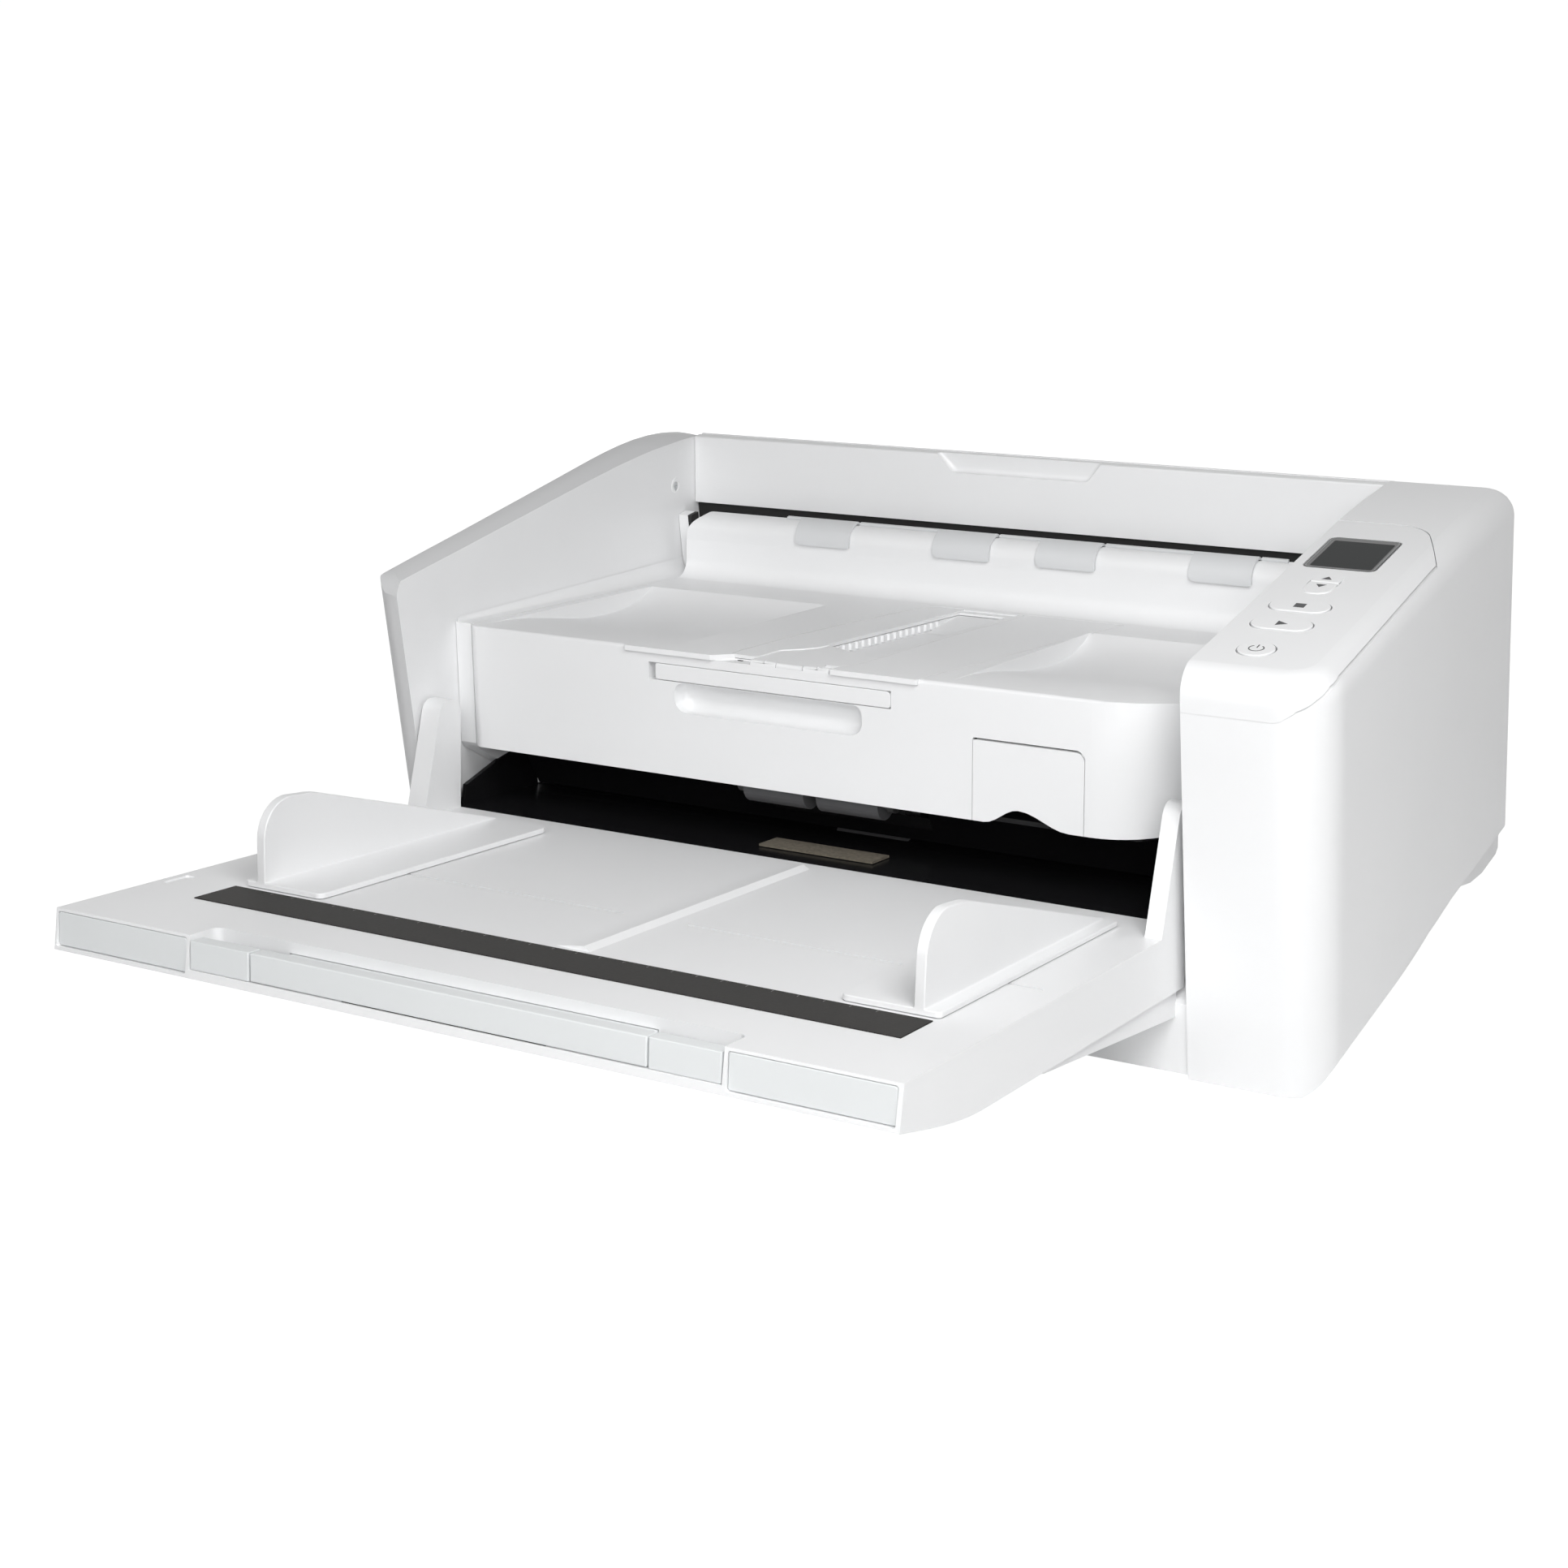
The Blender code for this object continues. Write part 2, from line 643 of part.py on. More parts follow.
def round_top(piece, outer, inner, line):
    """Rounds the outer top edge of a housing along the straight runs of its top."""
    beyond = inner + OVERRUN * (1 if inner > outer else -1)
    outline = rounded([(outer, -BODY_DEPTH), (beyond, -BODY_DEPTH), (beyond, 0),
                       (outer, 0, OUTER_TOP_RADIUS)])
    for (near, near_z), (far, far_z) in zip(line, line[1:]):
        run = prism("run", outline, "Y", at(-OVERRUN), at(BODY_DEPTH + OVERRUN))
        lean = Matrix.Identity(4)
        lean[2][1] = (far_z - near_z) / (far - near)
        lean[2][3] = near_z - lean[2][1] * at(near)
        combine(piece, place(run, lean), "INTERSECT")
    return piece


def build_left_panel():
    outer = -HALF_WIDTH
    side = side_outline([(BODY_DEPTH, PANEL_TOP_REAR_Z, TOP_REAR_RADIUS),
                         (PANEL_CREST_DEPTH, PANEL_TOP_CREST_Z),
                         (0, PANEL_TOP_FRONT_Z, TOP_FRONT_RADIUS)])
    front = rounded([(outer, 0, LEFT_BOTTOM_RADIUS), (BAY_LEFT, 0), (BAY_LEFT, BODY_WIDTH),
                     (outer, BODY_WIDTH)])
    plan = rounded([(outer, at(0), PANEL_FRONT_RADIUS), (BAY_LEFT, at(0)), (BAY_LEFT, at(BODY_DEPTH)),
                    (outer, at(BODY_DEPTH), LEFT_REAR_RADIUS)])
    panel = trimmed_block("left_side_panel", side, front, plan)
    round_top(panel, outer, BAY_LEFT, [(0, PANEL_TOP_FRONT_Z), (PANEL_CREST_DEPTH, PANEL_TOP_CREST_Z),
                                       (BODY_DEPTH, PANEL_TOP_REAR_Z)])
    middle = (outer + BAY_LEFT) / 2
    hollow = block("hollow", (middle - PANEL_CAVITY / 2, middle + PANEL_CAVITY / 2),
                   (at(TOP_FRONT_RADIUS), at(BODY_DEPTH - TOP_REAR_RADIUS)),
                   (-OVERRUN, PANEL_TOP_FRONT_Z - TOP_REAR_RADIUS))
    cut(panel, hollow)
    join(panel, skid(-1))
    for depth, z, radius in ((PANEL_SCREW_DEPTH, PANEL_SCREW_Z, PANEL_SCREW_HOLE),
                             (PIVOT_DEPTH, PIVOT_Z, PIN_RADIUS + GAP), (HINGE_DEPTH, HINGE_Z, PIN_RADIUS + GAP),
                             (EXIT_DEPTH, EXIT_Z, SHAFT_RADIUS + GAP)):
        cut(panel, rod("hole", "X", (at(depth), z), radius, middle, BAY_LEFT + OVERRUN))
    return finish_piece(panel, WHITE)


def tower_top_line():
    """The tower's top from its front to its rear, as (depth, z)."""
    return [(0, TOWER_TOP_FRONT_Z), *TOWER_TOP_RUNS, (BODY_DEPTH, TOWER_TOP_REAR_Z)]


def tower_body(name):
    line = tower_top_line()
    side = side_outline([(*line[-1], TOP_REAR_RADIUS), *line[-2:0:-1], (*line[0], TOP_FRONT_RADIUS)])
    front = rounded([(BAY_RIGHT, 0), (HALF_WIDTH, 0, OUTER_BOTTOM_RADIUS), (HALF_WIDTH, BODY_WIDTH),
                     (BAY_RIGHT, BODY_WIDTH)])
    plan = rounded([(BAY_RIGHT, at(0)), (HALF_WIDTH, at(0), FRONT_CORNER_RADIUS),
                    (HALF_WIDTH, at(BODY_DEPTH), REAR_CORNER_RADIUS), (BAY_RIGHT, at(BODY_DEPTH))])
    piece = trimmed_block(name, side, front, plan)
    return round_top(piece, HALF_WIDTH, BAY_RIGHT, line)


def cap_space(lift):
    """The space of the control panel cap above its seam with the tower, drawn in by a gap."""
    line = tower_top_line()
    seam = [(-OVERRUN, SEAM_FRONT[0][1])] + list(SEAM_FRONT)
    seam += [(depth, z - SEAM_DROP) for depth, z in line[1:]]
    side = [(depth, z + lift) for depth, z in seam] + [(BODY_DEPTH, BODY_WIDTH), (-OVERRUN, BODY_WIDTH)]
    space = prism("space", follow(side), "X", BAY_RIGHT - OVERRUN, HALF_WIDTH + OVERRUN)
    rear = CAP_REAR_DEPTH - lift
    left, right, near = BAY_RIGHT - OVERRUN * 2, HALF_WIDTH + OVERRUN * 2, at(-OVERRUN * 2)
    side_end = at(CAP_SIDE_DEPTH - lift)
    plan = rounded([(left, near), (right, near), (right, side_end), (HALF_WIDTH, side_end),
                    (CAP_CORNER_X, at(rear), CAP_CORNER_RADIUS), (left, at(rear))])
    return combine(space, prism("plan", plan, "Z", 0, BODY_WIDTH * 2), "INTERSECT")


def tower_hollow(name, low_z):
    """The space inside the tower: its walls are a shell thick and its top is thinner."""
    line = [(depth, z - THIN_SHELL) for depth, z in tower_top_line()]
    roof = [(SHELL, low_z), (BODY_DEPTH - SHELL, low_z), (BODY_DEPTH - SHELL, line[-1][1] - TOP_REAR_RADIUS),
            (BODY_DEPTH - TOP_REAR_RADIUS, line[-1][1]), *line[-2:0:-1], (TOP_FRONT_RADIUS, line[0][1]),
            (SHELL, line[0][1] - TOP_FRONT_RADIUS)]
    piece = prism(name, follow(roof), "X", BAY_RIGHT + SHELL, HALF_WIDTH - SHELL)
    corner = FRONT_CORNER_RADIUS - SHELL
    plan = rounded([(BAY_RIGHT, at(SHELL)), (HALF_WIDTH - SHELL, at(SHELL), corner),
                    (HALF_WIDTH - SHELL, at(BODY_DEPTH - SHELL), REAR_CORNER_RADIUS - SHELL),
                    (BAY_RIGHT, at(BODY_DEPTH - SHELL))])
    combine(piece, prism("plan", plan, "Z", -OVERRUN, PANEL_TOP_CREST_Z + OVERRUN), "INTERSECT")
    return piece


def build_right_housing():
    housing = tower_body("right_side_housing")
    cut(housing, cap_space(0))
    cut(housing, tower_hollow("hollow", SIDE_REAR_BOTTOM_Z + SHELL))
    join(housing, skid(1))
    walls = (BAY_RIGHT - OVERRUN, BAY_RIGHT + SHELL + GAP)
    for depth, z, radius in ((PIVOT_DEPTH, PIVOT_Z, PIN_RADIUS), (HINGE_DEPTH, HINGE_Z, PIN_RADIUS),
                             (DRIVE_DEPTH, DRIVE_Z, SHAFT_RADIUS), (EXIT_DEPTH, EXIT_Z, SHAFT_RADIUS)):
        cut(housing, rod("hole", "X", (at(depth), z), radius + GAP, *walls))
    return finish_piece(housing, WHITE)


# Control panel


def button_outlines():
    """Each button's name and its outline in the control panel's frame, as (x, depth)."""
    step = STEP_LENGTH / 2 + STEP_SPLIT / 2
    return {
        "up_button": step_outline(STEP_DEPTH + step, 1),
        "down_button": step_outline(STEP_DEPTH - step, -1),
        "stop_button": pill((BUTTON_X, STOP_DEPTH), PILL_LONG, PILL_SHORT),
        "scan_button": pill((BUTTON_X, SCAN_DEPTH), PILL_LONG, PILL_SHORT),
        "power_button": circle((BUTTON_X, POWER_DEPTH), POWER_RADIUS, ROLLER_SIDES),
    }


def step_outline(depth, side):
    """Half of the pill that the up and down buttons share: round at its outer end."""
    half = STEP_WIDTH / 2
    near = depth - side * STEP_LENGTH / 2
    far = depth + side * STEP_LENGTH / 2
    radius = half * PILL_ROUND_SHARE
    return rounded([(BUTTON_X - half, near), (BUTTON_X + half, near), (BUTTON_X + half, far, radius),
                    (BUTTON_X - half, far, radius)])


def grown(outline, growth):
    """An outline moved outwards by a clearance, for round convex outlines."""
    middle = sum((Vector(point) for point in outline), Vector((0, 0))) / len(outline)
    result = []
    for point in outline:
        away = Vector(point) - middle
        result.append(tuple(middle + Vector((away.x + (growth if away.x > 0 else -growth),
                                             away.y + (growth if away.y > 0 else -growth)))))
    return result


def build_control_cap():
    cap = tower_body("control_panel_cap")
    combine(cap, cap_space(GAP), "INTERSECT")
    cut(cap, tower_hollow("hollow", SIDE_REAR_BOTTOM_Z + SHELL))
    recess = prism("recess", display_outline(GAP), "Z", -DISPLAY_THICKNESS - GAP, OVERRUN)
    cut(cap, place(recess, CONTROL_FRAME))
    for outline in button_outlines().values():
        hole = prism("hole", grown(outline, BUTTON_CLEARANCE), "Z", -OVERRUN, OVERRUN)
        cut(cap, place(hole, CONTROL_FRAME))
    return finish_piece(cap, WHITE)


def display_outline(growth):
    low_x, high_x = DISPLAY_X[0] - growth, DISPLAY_X[1] + growth
    near, far = DISPLAY_DEPTH[0] - growth, DISPLAY_DEPTH[1] + growth
    radius = DISPLAY_RADIUS
    return rounded([(low_x, near, radius), (high_x, near, radius), (high_x, far, radius), (low_x, far, radius)])


def build_controls():
    window = prism("display_window", display_outline(0), "Z", -DISPLAY_THICKNESS, 0)
    finish_piece(place(window, CONTROL_FRAME), GLASS)
    for name, outline in button_outlines().items():
        button = prism(name, outline, "Z", BUTTON_PROUD - BUTTON_HEIGHT, BUTTON_PROUD)
        finish_piece(place(button, CONTROL_FRAME), WHITE)
        frame = CONTROL_FRAME @ Matrix.Translation((BUTTON_X, outline[0][1], 0))
        hang([button], add_pivot(name + "_axis", frame), frame)
    build_button_board()


def build_button_board():
    left, right = BUTTON_BOARD_X
    near, far = BUTTON_BOARD_SPAN
    top = BUTTON_PROUD - BUTTON_HEIGHT - BUTTON_TRAVEL - RUNNING_GAP
    board = block("button_board", (left, right), (near, far), (top - BOARD_THICKNESS, top))
    posts = []
    for x in (left + BOARD_POST, right - BOARD_POST):
        for depth in (near + BOARD_POST, far - BOARD_POST):
            posts.append(rod("post", "Z", (x, depth), BOARD_POST, top - BOARD_THICKNESS / 2, -SHELL - GAP))
    finish_piece(place(join(board, *posts), CONTROL_FRAME), BOARD)


# Base


def bed_z(depth):
    """The height of the feed bed's upper side at a depth."""
    share = min(1, (depth - BED_FRONT_DEPTH) / (BED_FALL_DEPTH - BED_FRONT_DEPTH))
    return BED_FRONT_Z + (BED_LEVEL_Z - BED_FRONT_Z) * share


def build_base():
    top = BED_LEVEL_Z - BED_THICKNESS - GAP
    lip = BED_FRONT_Z - BED_THICKNESS - GAP - RUNNING_GAP
    outer = [(SKIRT_DEPTH, FLOOR_Z), (BASE_REAR_DEPTH, FLOOR_Z), (BASE_REAR_DEPTH, top), (BED_FALL_DEPTH, top),
             (SKIRT_STEP_DEPTH, lip), (SKIRT_STEP_DEPTH, SKIRT_STEP_Z), (SKIRT_DEPTH, SKIRT_Z)]
    inner = [(SKIRT_DEPTH + SHELL, FLOOR_Z + SHELL), (BASE_REAR_DEPTH - SHELL, FLOOR_Z + SHELL),
             (BASE_REAR_DEPTH - SHELL, top + OVERRUN), (SKIRT_STEP_DEPTH + SHELL, lip + OVERRUN),
             (SKIRT_STEP_DEPTH + SHELL, SKIRT_STEP_Z), (SKIRT_DEPTH + SHELL, SKIRT_Z)]
    base = prism("base_chassis", follow(outer), "X", BAY_LEFT + GAP, BAY_RIGHT - GAP)
    cut(base, prism("hollow", follow(inner), "X", BAY_LEFT + SHELL, BAY_RIGHT - SHELL))
    shaft_cut = (BAY_LEFT, BAY_RIGHT + OVERRUN)
    cut(base, rod("hole", "X", (at(DRIVE_DEPTH), DRIVE_Z), SHAFT_RADIUS + GAP, *shaft_cut))
    for x, size in ((INLET_X, INLET_SIZE), (USB_X, USB_SIZE)):
        hole = rectangle(around(x, size[0] / 2 + GAP), around(INLET_Z, size[1] / 2 + GAP))
        cut(base, prism("hole", hole, "Y", at(BASE_REAR_DEPTH - SHELL * 2), at(BASE_REAR_DEPTH + OVERRUN)))
    join(base, *separation_uprights(), *tray_supports())
    finish_piece(base, SOFT_WHITE)
    build_feet()


def build_feet():
    for side, x in (("left", BAY_LEFT + FOOT_INSET), ("right", BAY_RIGHT - FOOT_INSET)):
        for end, depth in (("front", FRONT_FOOT_DEPTH), ("rear", REAR_FOOT_DEPTH)):
            rod(f"{side}_{end}_foot", "Z", (x, at(depth)), FOOT_RADIUS, 0, FLOOR_Z - GAP, RUBBER)


def skid(side):
    """The curved support under the rear of a side housing. Side is -1 on the left and 1 on the right."""
    length = SKID_REAR_DEPTH - SKID_FRONT_DEPTH
    height = SIDE_REAR_BOTTOM_Z + SHELL / 2
    outline = follow([(SKID_FRONT_DEPTH + share * length, rise * height) for share, rise in SKID_SHARES])
    outer = HALF_WIDTH - SKID_INSET
    return prism("skid", outline, "X", *sorted((side * outer, side * (outer - SKID_WIDTH))))


# Feed bed, glasses and scan units


def around_paper(half):
    return (PAPER_X - half, PAPER_X + half)


def roller_spans():
    half_path = (BAY_RIGHT - BAY_LEFT) / 2 - SHELL
    return [around(PAPER_X + share * half_path, ROLLER_HALF) for share in ROLLER_PLACES_SHARES]


def around(middle, half):
    return (middle - half, middle + half)


def roller_windows(target, depth, radius, z_range):
    """Cuts a window for each roller of a shaft."""
    for low, high in roller_spans():
        reach = radius + RUNNING_GAP
        cut(target, block("window", (low - RUNNING_GAP, high + RUNNING_GAP),
                          (at(depth - reach), at(depth + reach)), z_range))


def turn_arc(depth, z, radius):
    """A quarter turn of the paper path, from level at a depth up to vertical."""
    turns = [index * (pi / 2) / TURN_STEPS for index in range(TURN_STEPS + 1)]
    return [(depth + radius * sin(turn), z + radius * (1 - cos(turn))) for turn in turns]


def build_bed():
    path = [(BED_FRONT_DEPTH, BED_FRONT_Z), (BED_FALL_DEPTH, BED_LEVEL_Z)]
    path += turn_arc(BED_REAR_DEPTH, BED_LEVEL_Z, BED_TURN_RADIUS)
    path.append((BED_REAR_DEPTH + BED_TURN_RADIUS, BED_TOP_Z))
    bed = prism("feed_bed", plate_along(path, BED_THICKNESS), "X", BAY_LEFT + GAP, BAY_RIGHT - GAP)
    through = (BED_LEVEL_Z - OVERRUN, BED_LEVEL_Z + OVERRUN)
    depths = (at(LOWER_GLASS[0] - GAP), at(LOWER_GLASS[1] + GAP))
    cut(bed, block("window", around_paper(GLASS_HALF + GAP), depths, through))
    reach = SEPARATION_RADIUS + RUNNING_GAP
    cut(bed, block("window", around_paper(SEPARATION_HALF + RUNNING_GAP),
                   (at(SEPARATION_DEPTH - reach), at(SEPARATION_DEPTH + reach)), through))
    roller_windows(bed, DRIVE_DEPTH, DRIVE_RADIUS, through)
    join(bed, *bed_flanges())
    finish_piece(bed, BLACK)
    pad = follow([(depth, bed_z(depth) + GAP) for depth in PAD_DEPTH]
                 + [(depth, bed_z(depth) + GAP + PAD_THICKNESS) for depth in PAD_DEPTH[::-1]])
    prism("feed_pad", pad, "X", *around_paper(PAD_HALF), TAN)


def bed_flanges():
    """The upright black sides of the feed bed, inside the cheeks."""
    floor = [(depth, bed_z(depth) - BED_THICKNESS / 2) for depth in (FLANGE_PATH[-1][0], FLANGE_PATH[0][0])]
    outline = follow(list(FLANGE_PATH) + floor)
    left, right = COVER_LEFT - RUNNING_GAP, COVER_RIGHT + RUNNING_GAP
    return [prism("flange", outline, "X", left - FLANGE_THICKNESS, left),
            prism("flange", outline, "X", right, right + FLANGE_THICKNESS)]


def build_lower_scanner():
    top = BED_LEVEL_Z
    depths = (at(LOWER_GLASS[0]), at(LOWER_GLASS[1]))
    block("lower_glass", around_paper(GLASS_HALF), depths, (top - GLASS_THICKNESS, top), GLASS)
    unit_top = top - BED_THICKNESS - GAP
    near, far = at(LOWER_GLASS[0] - SCAN_UNIT_MARGIN), at(LOWER_GLASS[1] + SCAN_UNIT_MARGIN)
    block("lower_scan_unit", around_paper(SCAN_UNIT_HALF), (near, far),
          (unit_top - SCAN_UNIT_HEIGHT, unit_top), CHARCOAL)


def roller_set(name, depth, z, radius, spans, ends, finish):
    """A shaft with its rollers, as one solid."""
    shaft = rod(name, "X", (at(depth), z), SHAFT_RADIUS, *ends)
    for low, high in spans:
        join(shaft, rod("roller", "X", (at(depth), z), radius, low, high, sides=ROLLER_SIDES))
    return finish_piece(shaft, finish)


def build_rollers():
    ends = (BAY_LEFT + RUNNING_GAP, PULLEY_X[1])
    drive = roller_set("drive_roller", DRIVE_DEPTH, DRIVE_Z, DRIVE_RADIUS, roller_spans(), ends, RUBBER)
    join(drive, pulley_rim(DRIVE_DEPTH, DRIVE_Z, DRIVE_PULLEY_RADIUS))
    exit_ends = (BAY_LEFT - PIN_SEAT, PULLEY_X[1])
    leaving = roller_set("exit_roller", EXIT_DEPTH, EXIT_Z, EXIT_RADIUS, roller_spans(), exit_ends, RUBBER)
    join(leaving, pulley_rim(EXIT_DEPTH, EXIT_Z, EXIT_PULLEY_RADIUS))
    span = around_paper(SEPARATION_HALF)
    short = (PAPER_X - SEPARATION_SHAFT, PAPER_X + SEPARATION_SHAFT)
    lower = roller_set("separation_roller", SEPARATION_DEPTH, SEPARATION_Z, SEPARATION_RADIUS,
                       [span], short, RUBBER)
    for piece, depth, z in ((drive, DRIVE_DEPTH, DRIVE_Z), (leaving, EXIT_DEPTH, EXIT_Z),
                            (lower, SEPARATION_DEPTH, SEPARATION_Z)):
        frame = Matrix.Translation((0, at(depth), z))
        smooth(piece)
        hang([piece], add_pivot(piece.name + "_axis", frame), frame)


def separation_uprights():
    """Two uprights on the floor of the base that carry the separation roller."""
    uprights = []
    top = SEPARATION_Z + SHAFT_RADIUS + RUNNING_GAP + MOUNT_THICKNESS / 2
    half = SHAFT_RADIUS + MOUNT_THICKNESS
    for x in (PAPER_X - SEPARATION_SHAFT, PAPER_X + SEPARATION_SHAFT - MOUNT_THICKNESS):
        upright = block("upright", (x, x + MOUNT_THICKNESS),
                        (at(SEPARATION_DEPTH - half), at(SEPARATION_DEPTH + half)),
                        (FLOOR_Z + SHELL / 2, min(top, BED_LEVEL_Z - BED_THICKNESS - GAP)))
        cut(upright, rod("hole", "X", (at(SEPARATION_DEPTH), SEPARATION_Z), SHAFT_RADIUS + GAP,
                         x - OVERRUN, x + OVERRUN))
        uprights.append(upright)
    return uprights


# Drive in the tower


def build_drive():
    wall = BAY_RIGHT + SHELL
    motor = rod("drive_motor", "X", (at(MOTOR_DEPTH), MOTOR_Z), MOTOR_RADIUS, wall + GAP, wall + MOTOR_LENGTH)
    finish_piece(motor, STEEL)
    pulley = rod("motor_pulley", "X", (at(MOTOR_DEPTH), MOTOR_Z), SHAFT_RADIUS,
                 wall + MOTOR_LENGTH + GAP, PULLEY_X[1])
    join(pulley, rod("rim", "X", (at(MOTOR_DEPTH), MOTOR_Z), MOTOR_PULLEY_RADIUS, *PULLEY_X))
    finish_piece(pulley, STEEL)
    frame = Matrix.Translation((0, at(MOTOR_DEPTH), MOTOR_Z))
    hang([pulley], add_pivot("motor_pulley_axis", frame), frame)
    build_belt()


def pulley_rim(depth, z, radius):
    """The belt's pulley on the end of a roller's shaft."""
    return rod("rim", "X", (at(depth), z), radius, *PULLEY_X)


def belt_outline(growth):
    """The tight loop round the three pulleys, moved outwards by a growth."""
    points = []
    for depth, z, radius in ((MOTOR_DEPTH, MOTOR_Z, MOTOR_PULLEY_RADIUS),
                             (DRIVE_DEPTH, DRIVE_Z, DRIVE_PULLEY_RADIUS),
                             (EXIT_DEPTH, EXIT_Z, EXIT_PULLEY_RADIUS)):
        points += circle((at(depth), z), radius + growth, ROLLER_SIDES)
    return hull(points)


def hull(points):
    """The convex outline round a set of points."""
    ordered = sorted(set(points))

    def half(sequence):
        chain = []
        for point in sequence:
            while len(chain) > 1 and turn(chain[-2], chain[-1], point) <= 0:
                chain.pop()
            chain.append(point)
        return chain[:-1]

    return half(ordered) + half(ordered[::-1])


def turn(first, second, third):
    return ((second[0] - first[0]) * (third[1] - first[1])
            - (second[1] - first[1]) * (third[0] - first[0]))


def build_belt():
    inset = BELT_MARGIN
    belt = prism("drive_belt", belt_outline(BELT_MARGIN + BELT_THICKNESS), "X",
                 PULLEY_X[0] + inset, PULLEY_X[1] - inset)
    cut(belt, prism("inside", belt_outline(BELT_MARGIN), "X", PULLEY_X[0] - OVERRUN, PULLEY_X[1] + OVERRUN))
    finish_piece(belt, RUBBER)


def build_electronics():
    board = block("main_board", (MAIN_BOARD_X, MAIN_BOARD_X + BOARD_THICKNESS),
                  (at(MAIN_BOARD_SPAN[0]), at(MAIN_BOARD_SPAN[1])), MAIN_BOARD_Z)
    for depth in (MAIN_BOARD_SPAN[0] + STANDOFF_INSET, MAIN_BOARD_SPAN[1] - STANDOFF_INSET):
        for z in (MAIN_BOARD_Z[0] + STANDOFF_INSET, MAIN_BOARD_Z[1] - STANDOFF_INSET):
            join(board, rod("standoff", "X", (at(depth), z), SHAFT_RADIUS,
                            MAIN_BOARD_X + BOARD_THICKNESS / 2, HALF_WIDTH - SHELL - GAP))
    finish_piece(board, BOARD)
    floor = FLOOR_Z + SHELL + GAP
    block("power_supply", SUPPLY_X, (at(SUPPLY_DEPTH[0]), at(SUPPLY_DEPTH[1])),
          (floor, floor + SUPPLY_HEIGHT), STEEL)


# Eject wall, rear cover and cheeks


def build_eject_wall():
    back = BODY_DEPTH - REAR_SKIN - GAP
    outline = rounded(follow([(WALL_LOW_DEPTH, WALL_LOW_Z), (back, WALL_LOW_Z), (back, WALL_TOP_Z),
                              (WALL_TOP_DEPTH, WALL_TOP_Z, WALL_EDGE_RADIUS)]))
    wall = prism("eject_wall", outline, "X", BAY_LEFT + GAP, BAY_RIGHT - GAP)
    ceiling = WALL_TOP_Z - RECESS_HEIGHT - THIN_SHELL
    hollow = follow([(WALL_LOW_DEPTH + THIN_SHELL, WALL_LOW_Z - OVERRUN),
                     (back - THIN_SHELL, WALL_LOW_Z - OVERRUN),
                     (back - THIN_SHELL, ceiling), (WALL_TOP_DEPTH + THIN_SHELL / 2, ceiling),
                     (WALL_LOW_DEPTH + THIN_SHELL, WALL_LOW_Z)])
    cut(wall, prism("hollow", hollow, "X", BAY_LEFT + SHELL, BAY_RIGHT - SHELL))
    low = WALL_TOP_Z - RECESS_HEIGHT
    scoop = rounded([(RECESS_LOW_X[0], low, RECESS_SCOOP), (RECESS_LOW_X[1], low, RECESS_SCOOP),
                     (RECESS_TOP_X[1], WALL_TOP_Z), (RECESS_TOP_X[1], WALL_TOP_Z + OVERRUN),
                     (RECESS_TOP_X[0], WALL_TOP_Z + OVERRUN), (RECESS_TOP_X[0], WALL_TOP_Z)])
    cut(wall, prism("recess", scoop, "Y", at(WALL_LOW_DEPTH - OVERRUN), at(WALL_TOP_DEPTH + RECESS_SCOOP)))
    finish_piece(wall, WHITE)


def build_rear_cover():
    skin = BODY_DEPTH - REAR_SKIN
    outline = rounded(follow([(skin, REAR_LOW_Z), (BODY_DEPTH, REAR_LOW_Z),
                              (BODY_DEPTH, WALL_TOP_Z, REAR_SKIN * EDGE_ROUND_SHARE), (skin, WALL_TOP_Z)]))
    rear = prism("rear_cover", outline, "X", BAY_LEFT + GAP, BAY_RIGHT - GAP)
    for x, size in ((INLET_X, INLET_SIZE), (USB_X, USB_SIZE)):
        hole = rectangle(around(x, size[0] / 2 + GAP), around(INLET_Z, size[1] / 2 + GAP))
        cut(rear, prism("hole", hole, "Y", at(skin - OVERRUN), at(BODY_DEPTH + OVERRUN)))
    finish_piece(rear, WHITE)
    build_socket("power_inlet", INLET_X, INLET_SIZE, circle((INLET_X, INLET_Z), INLET_BORE))
    opening = rectangle(around(USB_X, USB_OPENING[0] / 2), around(INLET_Z, USB_OPENING[1] / 2))
    build_socket("data_socket", USB_X, USB_SIZE, opening)


def build_socket(name, x, size, opening):
    shell = rectangle(around(x, size[0] / 2), around(INLET_Z, size[1] / 2))
    back = BODY_DEPTH - RUNNING_GAP
    front = back - SOCKET_LENGTH
    socket = prism(name, shell, "Y", at(front), at(back))
    cut(socket, prism("opening", opening, "Y", at(front + THIN_SHELL), at(back + OVERRUN)))
    finish_piece(socket, BLACK)


def cover_top_z(depth):
    """The height of the cover's sloping top at a depth."""
    return COVER_TOP_Z - (depth - COVER_TOP_DEPTH) * tan(COVER_SLOPE)


